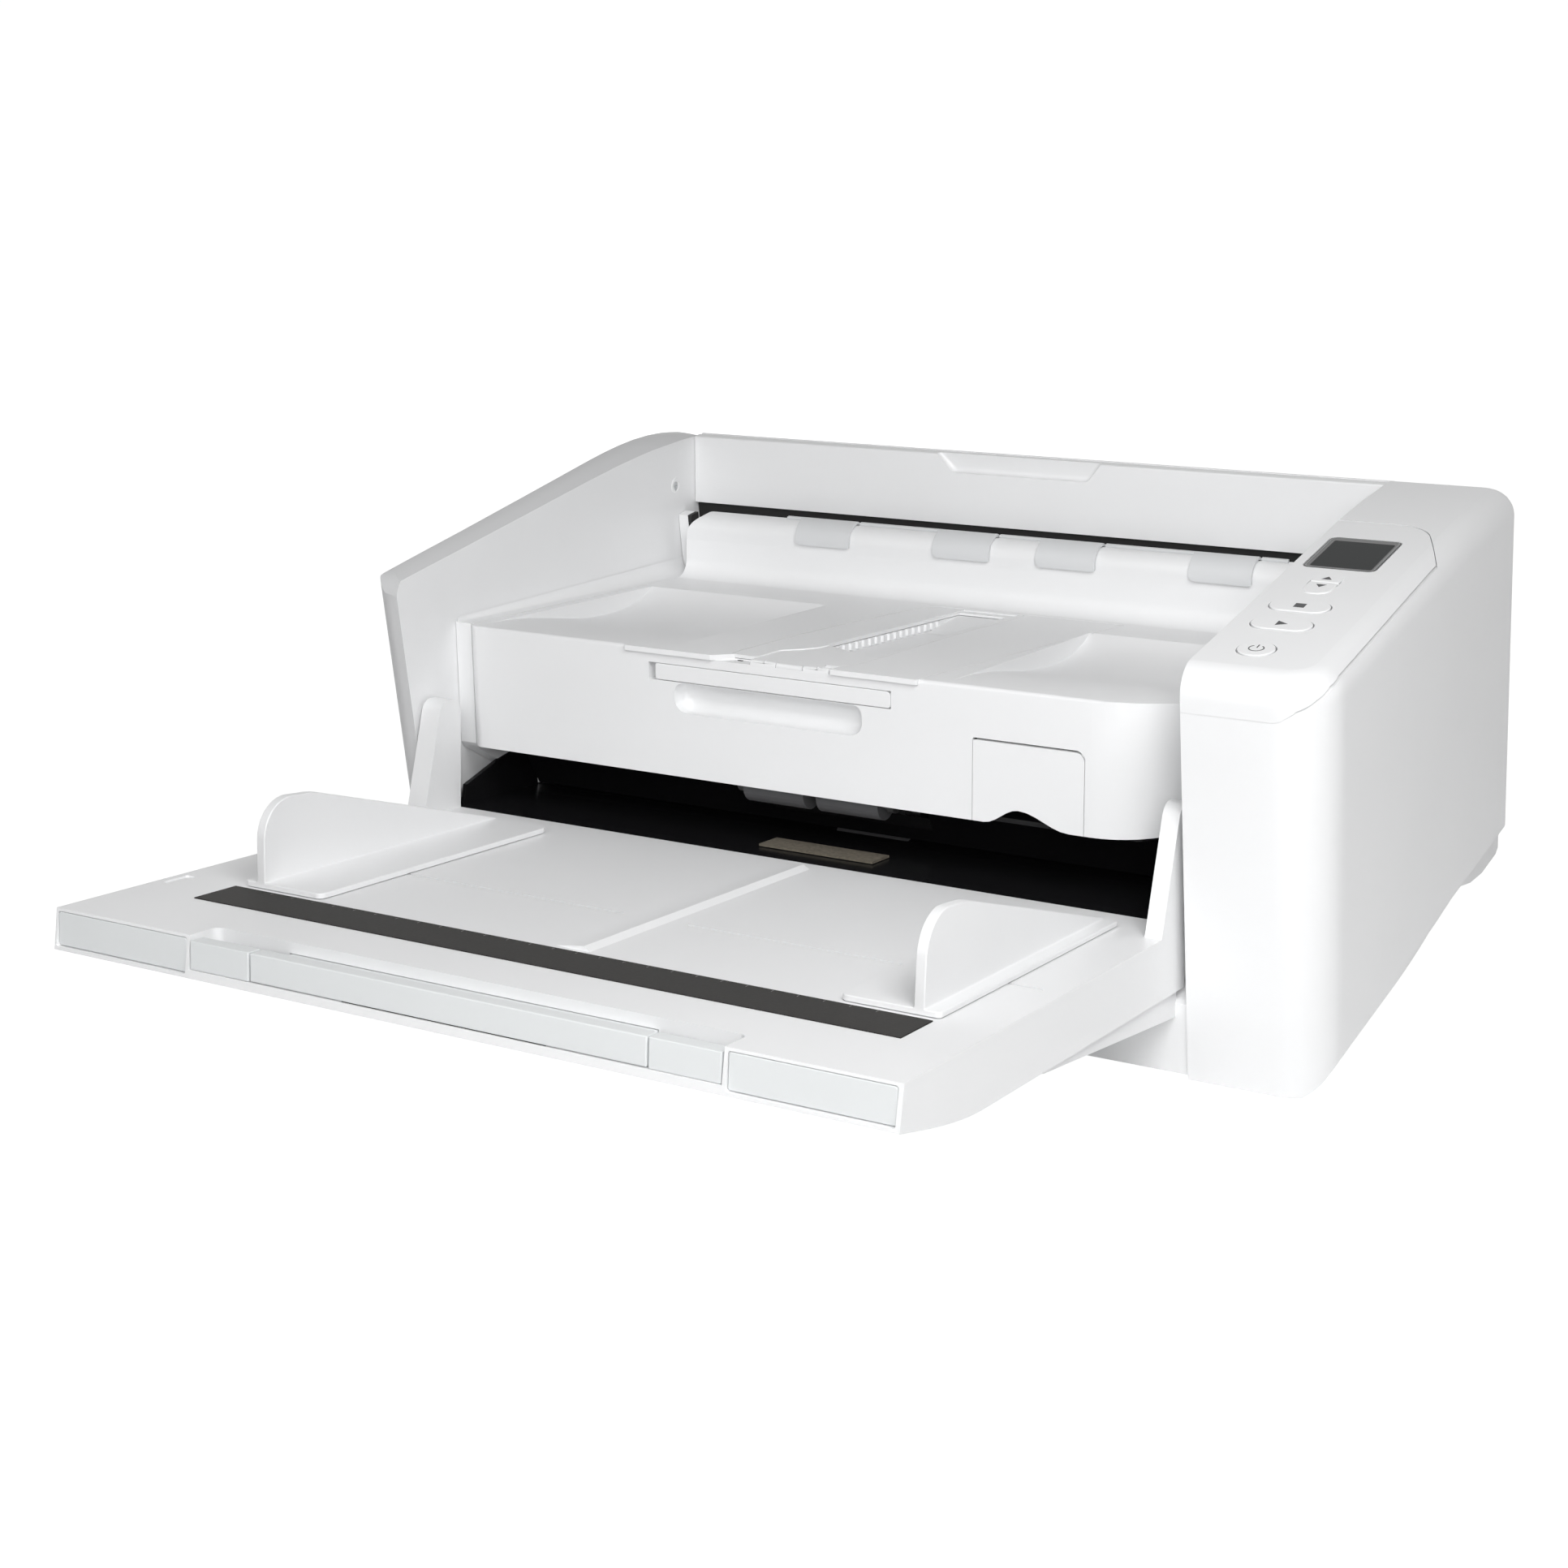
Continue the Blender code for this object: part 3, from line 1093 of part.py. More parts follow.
def build_cheeks():
    """The fixed cheeks that fill the space between the cover's ends and the side housings."""
    far = COVER_FOOT_DEPTH
    low = BED_LEVEL_Z + RUNNING_GAP
    near = COVER_LOW_DEPTH + CHEEK_SETBACK
    outline = follow([(near, COVER_LOW_Z), (COVER_TOP_DEPTH + CHEEK_SETBACK, COVER_TOP_Z + CHEEK_PROUD),
                      (far, cover_top_z(far) + CHEEK_PROUD), (far, low), (BED_FALL_DEPTH, low),
                      (near + BED_THICKNESS, COVER_LOW_Z - CHEEK_SETBACK)])
    inset = FLANGE_THICKNESS + GAP
    room = follow(rectangle((-OVERRUN, FLANGE_PATH[-1][0] + GAP), (-OVERRUN, FLANGE_ROOM_Z)))
    for name, outer, inner in (("left_cheek", BAY_LEFT + GAP, COVER_LEFT - RUNNING_GAP),
                               ("right_cheek", BAY_RIGHT - GAP, COVER_RIGHT + RUNNING_GAP)):
        side = 1 if inner > outer else -1
        cheek = prism(name, outline, "X", *sorted((outer, inner)))
        cut(cheek, prism("room", room, "X", *sorted((inner - side * inset, inner + side * OVERRUN))))
        finish_piece(cheek, WHITE)


def hinge_pins(depth, z, reach):
    """The two stub pins of a hinge, which turn in the side housings and reach into the bay."""
    left, right = BAY_LEFT - PIN_SEAT, BAY_RIGHT + PIN_SEAT
    return [rod("pin", "X", (at(depth), z), PIN_RADIUS, left, BAY_LEFT + reach),
            rod("pin", "X", (at(depth), z), PIN_RADIUS, BAY_RIGHT - reach, right)]


# Upper cover


def cover_outline():
    """The side view of the cover's shell, from its front face over the top to its rear, as (y, z)."""
    foot = COVER_FOOT_DEPTH + COVER_FOOT_RADIUS / 2
    roll_face = BLOCK_ROLL_DEPTH - BLOCK_ROLL_RADIUS
    groove = BLOCK_ROLL_Z + BLOCK_ROLL_RADIUS - GROOVE_DROP
    points = [(COVER_LOW_DEPTH, COVER_LOW_Z), (COVER_REAR_DEPTH, COVER_LOW_Z), (COVER_REAR_DEPTH, groove),
              (BLOCK_ROLL_DEPTH + GAP, groove), (BLOCK_ROLL_DEPTH + GAP, BLOCK_ROLL_Z + BLOCK_ROLL_RADIUS),
              (roll_face, BLOCK_ROLL_Z + BLOCK_ROLL_RADIUS, BLOCK_ROLL_RADIUS * PILL_ROUND_SHARE),
              (roll_face - RUNNING_GAP, BLOCK_ROLL_Z), (foot, cover_top_z(foot), COVER_FOOT_RADIUS / 2),
              (COVER_TOP_DEPTH, COVER_TOP_Z, THIN_SHELL / 2)]
    return rounded(follow(points))


def cover_inner_outline():
    foot = COVER_FOOT_DEPTH + COVER_FOOT_RADIUS / 2 + THIN_SHELL
    groove = BLOCK_ROLL_Z + BLOCK_ROLL_RADIUS - GROOVE_DROP - THIN_SHELL
    drop = THIN_SHELL / cos(COVER_SLOPE)
    low = COVER_LOW_Z - OVERRUN
    lean = THIN_SHELL / cos(COVER_LEAN)
    slip = OVERRUN * tan(COVER_LEAN)
    points = [(COVER_LOW_DEPTH + lean - slip, low), (COVER_REAR_DEPTH - THIN_SHELL, low),
              (COVER_REAR_DEPTH - THIN_SHELL, groove),
              (BLOCK_ROLL_DEPTH - BLOCK_ROLL_RADIUS + THIN_SHELL, groove),
              (foot, cover_top_z(foot) - drop), (COVER_TOP_DEPTH + lean, cover_top_z(COVER_TOP_DEPTH) - drop)]
    return follow(points)


def cover_plan(inset):
    """The cover seen from above, with its rounded front corners."""
    near, front = at(COVER_LOW_DEPTH - OVERRUN), at(COVER_LOW_DEPTH + inset)
    left, right = COVER_LEFT + COVER_LEFT_RADIUS, COVER_RIGHT - COVER_CORNER_RADIUS
    left_corner = (COVER_LEFT_RADIUS - inset) * PILL_ROUND_SHARE
    right_corner = (COVER_CORNER_RADIUS - inset) * PILL_ROUND_SHARE
    return rounded([(COVER_LEFT + inset, front, left_corner), (left, front), (left, near),
                    (right, near), (right, front), (COVER_RIGHT - inset, front, right_corner),
                    (COVER_RIGHT - inset, at(BODY_DEPTH)), (COVER_LEFT + inset, at(BODY_DEPTH))])


def trim_to_plan(piece, inset):
    """Trims a piece to the cover's plan, which leans back as its front face does."""
    plan = prism("plan", cover_plan(inset), "Z", BED_LEVEL_Z - OVERRUN, PANEL_TOP_CREST_Z + OVERRUN)
    lean = Matrix.Identity(4)
    lean[1][2] = tan(COVER_LEAN)
    lean[1][3] = -lean[1][2] * COVER_LOW_Z
    return combine(piece, place(plan, lean), "INTERSECT")


def pocket(x_range, growth):
    """The scoop in the cover's top that takes a closed paper guide, or the wall round it."""
    outline = [(share * POCKET_LENGTH, -depth * POCKET_SINK - growth) for share, depth in POCKET_SHARES]
    outline[0] = (outline[0][0] - growth, outline[0][1])
    outline[-1] = (outline[-1][0] + growth, outline[-1][1])
    outline += [(outline[-1][0], OVERRUN), (outline[0][0], OVERRUN)]
    piece = prism("pocket", outline, "X", x_range[0] - growth, x_range[1] + growth)
    return place(piece, TOP_FRAME)


def stopper_recess(growth):
    """The shallow seat of the stopper, with the deeper slot under its window."""
    seat = STOPPER_THICKNESS + GAP + growth
    spans = (STOPPER_START - GAP - growth, STOPPER_START + STOPPER_LENGTH + GAP + growth)
    piece = block("seat", (STOPPER_X[0] - GAP - growth, STOPPER_X[1] + GAP + growth), spans, (-seat, OVERRUN))
    slot = block("slot", (WINDOW_X[0] - growth, WINDOW_X[1] + growth),
                 (WINDOW_SPAN[0] - growth, WINDOW_SPAN[1] + growth), (-WINDOW_SINK - growth, OVERRUN / 2))
    return place(join(piece, slot), TOP_FRAME)


def finger_grip(growth):
    """The rounded hollow under the eject extension's bar."""
    low, high = GRIP_RISE[0] - growth, GRIP_RISE[1] + growth
    radius = GRIP_RADIUS
    outline = rounded([(GRIP_X[0] - growth, low, radius), (GRIP_X[1] + growth, low, radius),
                       (GRIP_X[1] + growth, high), (GRIP_X[0] - growth, high)])
    return place(prism("grip", outline, "Y", -OVERRUN, GRIP_DEPTH + growth), FACE_FRAME)


def build_cover():
    shell = prism("top_cover", cover_outline(), "X", COVER_LEFT, COVER_RIGHT)
    trim_to_plan(shell, 0)
    hollow = prism("hollow", cover_inner_outline(), "X", COVER_LEFT + THIN_SHELL, COVER_RIGHT - THIN_SHELL)
    trim_to_plan(hollow, THIN_SHELL)
    for x_range in (LEFT_POCKET_X, RIGHT_POCKET_X):
        cut(hollow, pocket(x_range, THIN_SHELL))
    cut(hollow, stopper_recess(INNER_SKIN), finger_grip(THIN_SHELL), bar_niche(INNER_SKIN))
    cut(shell, hollow)
    lip = block("lip", LIP_X, (-LIP_REACH, THIN_SHELL), (-LIP_THICKNESS, 0))
    join(shell, place(lip, TOP_FRAME))
    for x_range in (LEFT_POCKET_X, RIGHT_POCKET_X):
        cut(shell, pocket(x_range, 0))
    cut(shell, stopper_recess(0), finger_grip(0), bar_niche(), slide_slot(), lever_hole())
    join(shell, *hinge_pins(HINGE_DEPTH, HINGE_Z, CHEEK_WIDTH + THIN_SHELL * 2))
    return finish_piece(shell, WHITE)


def bar_niche(growth=0):
    """The niche in the cover's front face that the eject extension's bar sits in."""
    niche = block("niche", (BAR_NICHE_X - growth, BAR_X[1] + GAP + growth),
                  (-OVERRUN, BAR_THICKNESS + GAP + growth),
                  (BAR_RISE[0] - GAP - growth, BAR_RISE[1] + GAP + growth))
    return place(niche, FACE_FRAME)


def slide_slot():
    slot = block("slot", (SLIDE_X[0] - GAP, SLIDE_X[1] + GAP), (-OVERRUN, OVERRUN / 2),
                 (-SLIDE_SINK[0] - GAP, -SLIDE_SINK[1] + GAP))
    return place(slot, TOP_FRAME)


def lever_hole():
    """The opening for the release lever, with the seats of its two pins."""
    low, high, top = LEVER_X[0] - GAP, LEVER_X[1] + GAP, LEVER_RISE + LEVER_HEADROOM
    outline = rounded([(low, -OVERRUN), (high, -OVERRUN), (high, top, LEVER_CORNERS[1]),
                       (low, top, LEVER_CORNERS[0])])
    hole = prism("hole", outline, "Y", -OVERRUN, THIN_SHELL * 2)
    join(hole, rod("seat", "X", (LEVER_PIN_INSET, LEVER_RISE - LEVER_PIN_DROP), LEVER_PIN_RADIUS + GAP,
                   low - LEVER_PIN_OVERHANG, high + LEVER_PIN_OVERHANG))
    return place(hole, FACE_FRAME)


def flap_spans():
    return [around(x, FLAP_WIDTH / 2) for x in FLAP_X]


def build_stopper():
    spans = (STOPPER_START, STOPPER_START + STOPPER_LENGTH)
    stopper = block("eject_stopper", STOPPER_X, spans, (-STOPPER_THICKNESS, 0))
    cut(stopper, block("window", WINDOW_X, WINDOW_SPAN, (-OVERRUN, OVERRUN)))
    finish_piece(place(stopper, TOP_FRAME), WHITE)
    frame = TOP_FRAME @ Matrix.Translation((0, STOPPER_START, 0))
    return [stopper], frame


def build_eject_extension():
    bar = place(block("eject_extension", BAR_X, (BAR_SETBACK, BAR_THICKNESS), BAR_RISE), FACE_FRAME)
    plate = block("plate", SLIDE_X, (0, SLIDE_LENGTH), (-SLIDE_SINK[0], -SLIDE_SINK[1]))
    return finish_piece(join(bar, place(plate, TOP_FRAME)), WHITE)


def build_lever():
    low, high = LEVER_X
    near, peak, far = LEVER_CUT_X
    wave = []
    for step in range(WAVE_STEPS + 1):
        share = 2 * step / WAVE_STEPS - 1
        x = peak + share * (peak - near if share < 0 else far - peak)
        wave.append((x, LEVER_CUT_RISE * (1 + cos(pi * share)) / 2))
    outline = rounded([(low, 0)] + wave + [(high, 0), (high, LEVER_RISE, LEVER_CORNERS[1]),
                                           (low, LEVER_RISE, LEVER_CORNERS[0])])
    lever = prism("cover_release_lever", outline, "Y", 0, LEVER_THICKNESS)
    pin_z = LEVER_RISE - LEVER_PIN_DROP
    pin = rod("pin", "X", (LEVER_PIN_INSET, pin_z), LEVER_PIN_RADIUS,
              low - LEVER_PIN_OVERHANG, high + LEVER_PIN_OVERHANG)
    join(lever, pin)
    finish_piece(place(lever, FACE_FRAME), WHITE)
    return [lever], FACE_FRAME @ Matrix.Translation((0, LEVER_PIN_INSET, pin_z))


def flap_outline():
    """A curved flap seen from the side: a boss on the shaft, and an arc over the block's rolled edge."""
    centre = Vector((at(BLOCK_ROLL_DEPTH), BLOCK_ROLL_Z))
    turns = [FLAP_START + index * FLAP_SWEEP / FLAP_STEPS for index in range(FLAP_STEPS + 1)]
    outer = FLAP_INNER + FLAP_THICKNESS
    ring = [tuple(centre + Vector((cos(a), sin(a))) * outer) for a in turns]
    inside = [tuple(centre + Vector((cos(a), sin(a))) * FLAP_INNER) for a in turns[::-1]]
    return ring + inside


def build_flap(index, span):
    name = f"eject_flap_{index}"
    flap = prism(name, flap_outline(), "X", *span)
    pivot = (at(FLAP_PIVOT_DEPTH), FLAP_PIVOT_Z)
    join(flap, rod("boss", "X", pivot, FLAP_BOSS, *span))
    cut(flap, rod("bore", "X", pivot, FLAP_SHAFT + GAP, span[0] - OVERRUN, span[1] + OVERRUN))
    finish_piece(flap, FLAP_GREY)
    return [flap], Matrix.Translation((0, *pivot))


def build_flap_shaft():
    ends = (FLAP_X[0] - FLAP_WIDTH / 2 - GROOVE_MARGIN, FLAP_X[-1] + FLAP_WIDTH / 2 + GROOVE_MARGIN)
    centre = (at(FLAP_PIVOT_DEPTH), FLAP_PIVOT_Z)
    shaft = rod("flap_shaft", "X", centre, FLAP_SHAFT, *ends)
    floor = BLOCK_ROLL_Z + BLOCK_ROLL_RADIUS - GROOVE_DROP + GAP
    for x in shaft_bearings():
        bearing = block("bearing", around(x, BEARING_HALF), around(centre[0], BEARING_HALF_DEPTH),
                        (floor, FLAP_PIVOT_Z))
        join(shaft, bearing)
    return finish_piece(shaft, STEEL)


def shaft_bearings():
    """Between the flaps and at both ends of their shaft."""
    spans = flap_spans()
    between = [(spans[i][1] + spans[i + 1][0]) / 2 for i in range(len(spans) - 1)]
    return [spans[0][0] - GROOVE_MARGIN / 2] + between + [spans[-1][1] + GROOVE_MARGIN / 2]


def under_path():
    """The lower side of the cover along the paper path, from the mouth to the rear turn."""
    front = COVER_LOW_DEPTH + UNDER_SETBACK
    roof = COVER_LOW_Z - GAP - UNDER_SKIN
    return [(front, roof), (MOUTH_DEPTH, roof), (THROAT_DEPTH, UNDER_Z)] + turn_arc(
        BED_REAR_DEPTH, UNDER_Z, UNDER_TURN_RADIUS)


def build_underframe():
    path = under_path()
    outline = plate_along(path, -UNDER_SKIN)
    frame = prism("cover_underframe", outline, "X", COVER_LEFT + RUNNING_GAP, COVER_RIGHT - RUNNING_GAP)
    plan = prism("plan", cover_plan(THIN_SHELL + RUNNING_GAP), "Z", 0, COVER_LOW_Z + OVERRUN)
    combine(frame, plan, "INTERSECT")
    through = (UNDER_Z - OVERRUN, UNDER_Z + OVERRUN)
    depths = (at(UPPER_GLASS[0] - GAP), at(UPPER_GLASS[1] + GAP))
    cut(frame, block("window", around_paper(GLASS_HALF + GAP), depths, through))
    reach = FEED_RADIUS + RUNNING_GAP
    cut(frame, block("window", around_paper(SEPARATION_HALF + RUNNING_GAP),
                     (at(FEED_DEPTH - reach), at(FEED_DEPTH + reach)), through))
    roller_windows(frame, DRIVE_DEPTH, IDLER_RADIUS, through)
    pick = (PICK_X[0] - PICK_ARM - PICK_CLEARANCE, PICK_X[1] + PICK_ARM + PICK_CLEARANCE)
    cut(frame, block("window", pick, (at(COVER_LOW_DEPTH), at(THROAT_DEPTH - PICK_ARM)),
                     (UNDER_Z - OVERRUN, COVER_LOW_Z + OVERRUN)))
    join(frame, *roller_brackets())
    return finish_piece(frame, BLACK)


def build_upper_scanner():
    depths = (at(UPPER_GLASS[0]), at(UPPER_GLASS[1]))
    glass = block("upper_glass", around_paper(GLASS_HALF), depths, (UNDER_Z, UNDER_Z + GLASS_THICKNESS), GLASS)
    near, far = at(UPPER_GLASS[0] - SCAN_UNIT_MARGIN), at(UPPER_GLASS[1] + SCAN_UNIT_MARGIN)
    low = UNDER_Z + UNDER_SKIN + GAP
    unit = block("upper_scan_unit", around_paper(SCAN_UNIT_HALF), (near, far),
                 (low, low + SCAN_UNIT_HEIGHT), CHARCOAL)
    return [glass, unit]


def build_cover_rollers():
    feed_shaft = (PAPER_X - SEPARATION_SHAFT, PAPER_X + SEPARATION_SHAFT)
    feed = roller_set("feed_roller", FEED_DEPTH, FEED_Z, FEED_RADIUS, [around_paper(SEPARATION_HALF)],
                      feed_shaft, RUBBER)
    ends = (COVER_LEFT + THIN_SHELL + SHELL, COVER_RIGHT - THIN_SHELL - SHELL)
    idler = rod("idler_shaft", "X", (at(DRIVE_DEPTH), IDLER_Z), IDLER_SHAFT, *ends)
    for low, high in roller_spans():
        join(idler, rod("roller", "X", (at(DRIVE_DEPTH), IDLER_Z), IDLER_RADIUS, low, high))
    idler.name = "idler_roller"
    finish_piece(idler, RUBBER)
    return feed, idler


def roller_brackets():
    """Uprights on the underframe that carry the feed roller, the idler roller and the pick-up arm."""
    floor = UNDER_Z + UNDER_SKIN / 2
    uprights = []
    for x in (PAPER_X - SEPARATION_SHAFT, PAPER_X + SEPARATION_SHAFT - MOUNT_THICKNESS):
        uprights.append(bearing_block(x, FEED_DEPTH, FEED_Z, SHAFT_RADIUS, floor))
    for x in (COVER_LEFT + THIN_SHELL + SHELL, COVER_RIGHT - THIN_SHELL - SHELL - MOUNT_THICKNESS):
        uprights.append(bearing_block(x, DRIVE_DEPTH, IDLER_Z, IDLER_SHAFT, floor))
    out = PICK_ARM + PICK_CLEARANCE + GAP
    for x in (PICK_X[0] - out - MOUNT_THICKNESS, PICK_X[1] + out):
        uprights.append(bearing_block(x, PICK_PIVOT_DEPTH, PICK_PIVOT_Z, SHAFT_RADIUS, floor))
    return uprights


def bearing_block(x, depth, z, radius, floor):
    half = radius + MOUNT_THICKNESS / 2
    piece = block("upright", (x, x + MOUNT_THICKNESS), (at(depth - half), at(depth + half)), (floor, z + half))
    cut(piece, rod("hole", "X", (at(depth), z), radius + GAP, x - OVERRUN, x + OVERRUN))
    return piece


# Pick-up unit


def build_pickup():
    """The swinging arm with the two pick-up rollers just behind the cover's front edge."""
    pivot = (at(PICK_PIVOT_DEPTH), PICK_PIVOT_Z)
    axle = (at(PICK_DEPTH), PICK_Z)
    outline = hull(circle(pivot, PICK_ARM_HALF) + circle(axle, PICK_ARM_HALF))
    arms = prism("pickup_arm", outline, "X", PICK_X[0] - PICK_ARM, PICK_X[0])
    out = PICK_ARM + PICK_CLEARANCE + MOUNT_THICKNESS
    join(arms, rod("tube", "X", pivot, SHAFT_RADIUS, PICK_X[0] - out, PICK_X[1] + out))
    join(arms, prism("arm", outline, "X", PICK_X[1], PICK_X[1] + PICK_ARM))
    for x in PICK_X:
        reach = PICK_ARM + OVERRUN / 2
        cut(arms, rod("hole", "X", axle, SHAFT_RADIUS + GAP, x - reach, x + reach))
    finish_piece(arms, CHARCOAL)
    middle = (PICK_X[0] + PICK_X[1]) / 2
    spans = [around(middle - PICK_ROLLER_OFFSET, PICK_ROLLER_HALF),
             around(middle + PICK_ROLLER_OFFSET, PICK_ROLLER_HALF)]
    rollers = roller_set("pickup_rollers", PICK_DEPTH, PICK_Z, PICK_RADIUS, spans,
                         (PICK_X[0] - PICK_ARM, PICK_X[1] + PICK_ARM), RUBBER)
    return arms, rollers


# Feed tray


def tray_block(name, x_range, along, heights, finish=None):
    """A block in the tray's own frame. Along runs forward, heights are above the tray's surface."""
    piece = block(name, x_range, (-along[1], -along[0]), (heights[0] - TRAY_DROP, heights[1] - TRAY_DROP))
    if finish:
        add_material(piece, finish)
    return place(piece, TRAY_FRAME)


def tray_profile():
    rear = TRAY_REAR_SET
    front = -TRAY_FRONT
    low = -TRAY_DROP - TRAY_THICKNESS
    run = TRAY_FRONT + TRAY_LIP_SLANT - TRAY_FLAT_LENGTH
    rise = TRAY_THICKNESS - TRAY_LIP
    curve = [(-TRAY_FLAT_LENGTH - share * run, low + height * rise) for share, height in FRONT_CURVE_SHARES]
    return [(rear, -TRAY_DROP), (rear, low)] + curve + [(front, -TRAY_DROP)]


def build_tray_shell():
    shell = prism("feed_tray", tray_profile(), "X", TRAY_LEFT, TRAY_RIGHT)
    ceiling = -TRAY_DROP - TRAY_SKIN
    low = -TRAY_DROP - TRAY_THICKNESS
    wall = NOTCH_START - SHELL
    rise = (TRAY_THICKNESS - TRAY_LIP) * TRAY_CEILING_SHARE
    hollow = [(TRAY_REAR_SET - SHELL, low - OVERRUN), (TRAY_REAR_SET - SHELL, ceiling), (-wall, ceiling),
              (-wall, low + TRAY_SKIN + rise), (-TRAY_FLAT_LENGTH, low + TRAY_SKIN),
              (-TRAY_FLAT_LENGTH, low - OVERRUN)]
    cut(shell, prism("hollow", hollow, "X", TRAY_LEFT + SHELL, TRAY_RIGHT - SHELL))
    place(shell, TRAY_FRAME)
    cut(shell, tray_block("notch", NOTCH_X, (NOTCH_START, TRAY_FRONT + OVERRUN), (-NOTCH_SINK, OVERRUN)))
    cut(shell, tray_block("slot", (EXTENSION_X[0] - GAP, EXTENSION_X[1] + GAP),
                          (NOTCH_START - SHELL * 2, NOTCH_START + SHELL),
                          (-EXTENSION_SINK[0] - GAP, -EXTENSION_SINK[1] + GAP)))
    strip = strip_range()
    cut(shell, tray_block("recess", (strip[0] - GAP, strip[1] + GAP),
                          (STRIP_SPAN[0] - GAP, STRIP_SPAN[1] + GAP), (-STRIP_THICKNESS, OVERRUN)))
    for x_range in (SLOT_LEFT, SLOT_RIGHT):
        cut(shell, tray_block("slot", x_range, around(SLOT_AT, SLOT_WIDTH / 2), (-TRAY_SKIN * 2, OVERRUN)))
    join(shell, tray_ridge(), pinion_post(), *handle_ends(), *tray_arms())
    join(shell, *hinge_pins(PIVOT_DEPTH, PIVOT_Z, TRAY_RIGHT_CLEARANCE + ARM_WIDTH / 2))
    return finish_piece(shell, WHITE)


def tray_ridge():
    """The low raised band to the left of the middle of the tray, which tapers off to its left."""
    height = -TRAY_DROP
    outline = [(RIDGE_X[0], height - RIDGE_HEIGHT), (RIDGE_X[1], height - RIDGE_HEIGHT),
               (RIDGE_X[1], height + RIDGE_HEIGHT), (RIDGE_X[1] - RIDGE_HEIGHT, height + RIDGE_HEIGHT),
               (RIDGE_X[0], height)]
    return place(prism("ridge", outline, "Y", -RIDGE_SPAN[1], -RIDGE_SPAN[0]), TRAY_FRAME)


def handle_ends():
    """The fixed ends of the pull bar along the tray's front edge."""
    front = TRAY_FRONT + TRAY_LIP_SLANT / 2
    return [tray_block("end", x_range, (HANDLE_BACK, front), (-NOTCH_SINK - SHELL / 2, -HANDLE_TOP))
            for x_range in HANDLE_ENDS]


def strip_range():
    return around(PAPER_X + STRIP_SHIFT, STRIP_HALF)


def build_tray_fittings():
    """The two fixed pieces of the tray that aren't part of its shell: the size strip and the bottom plate."""
    strip = tray_block("size_strip", strip_range(), STRIP_SPAN, (GAP - STRIP_THICKNESS, GAP), CHARCOAL)
    low = -TRAY_THICKNESS
    bottom = tray_block("tray_bottom", (TRAY_LEFT + SHELL + GAP, TRAY_RIGHT - SHELL - GAP),
                        (SHELL - TRAY_REAR_SET + GAP, TRAY_FLAT_LENGTH - GAP), (low, low + TRAY_SKIN), SOFT_WHITE)
    return [strip, bottom]


def tray_arms():
    """The two arms that rise from the tray's rear corners to its pivot pins."""
    base = -TRAY_DROP - TRAY_SKIN / 2
    points = circle((0, 0), ARM_TOP_RADIUS) + [(-ARM_FRONT_SPREAD, base), (TRAY_REAR_SET, base)]
    outline = hull(points)
    arms = []
    for low, high in ((TRAY_LEFT, TRAY_LEFT + ARM_WIDTH), (TRAY_RIGHT - ARM_WIDTH, TRAY_RIGHT)):
        arms.append(place(prism("arm", outline, "X", low, high), TRAY_FRAME))
    return arms


def build_tray_extension():
    front = TRAY_FRONT + TRAY_LIP_SLANT / 2
    bar = tray_block("tray_extension", HANDLE_X, (HANDLE_BACK, front), (-NOTCH_SINK + GAP, -HANDLE_TOP))
    plate = tray_block("plate", EXTENSION_X, (EXTENSION_START, HANDLE_BACK + SHELL),
                       (-EXTENSION_SINK[0], -EXTENSION_SINK[1]))
    return finish_piece(join(bar, plate), WHITE)


def guide_profile():
    """The upright plate of a guide seen from the side: low at the rear, tall and round at the front."""
    base = -TRAY_DROP + GAP
    rear, front = -GUIDE_SPAN[0], -GUIDE_SPAN[1]
    shoulder = front + (GUIDE_SPAN[1] - GUIDE_SPAN[0]) * GUIDE_SHOULDER_SHARE
    return rounded([(rear, base), (rear, base + GUIDE_FLANGE_THICKNESS),
                    (shoulder, base + GUIDE_HEIGHT * GUIDE_SHOULDER_HEIGHT_SHARE, GUIDE_HEIGHT),
                    (front, base + GUIDE_HEIGHT, GUIDE_HEIGHT * GUIDE_NOSE_SHARE), (front, base)])


def build_guide(name, side):
    """One paper guide. Side is -1 on the left and 1 on the right."""
    def across(inner, outer):
        return sorted((PAPER_X + side * inner, PAPER_X + side * outer))

    plate = across(GUIDE_INNER, GUIDE_INNER + GUIDE_PLATE)
    guide = place(prism(name, guide_profile(), "X", *plate), TRAY_FRAME)
    base = tray_block("base", across(GUIDE_INNER - GUIDE_FLANGE, GUIDE_INNER + GUIDE_PLATE + GUIDE_FOOT),
                      GUIDE_SPAN, (GAP, GAP + GUIDE_FLANGE_THICKNESS))
    rack_top = -TRAY_SKIN - RACK_DROP
    stem = tray_block("stem", across(GUIDE_INNER - GUIDE_STEM, GUIDE_INNER),
                      around(SLOT_AT, SLOT_WIDTH / 2 - RUNNING_GAP),
                      (rack_top, GAP + GUIDE_FLANGE_THICKNESS / 2))
    return finish_piece(join(guide, base, stem), WHITE)


def pinion_radius():
    return TOOTH_COUNT * TOOTH_MODULE / 2


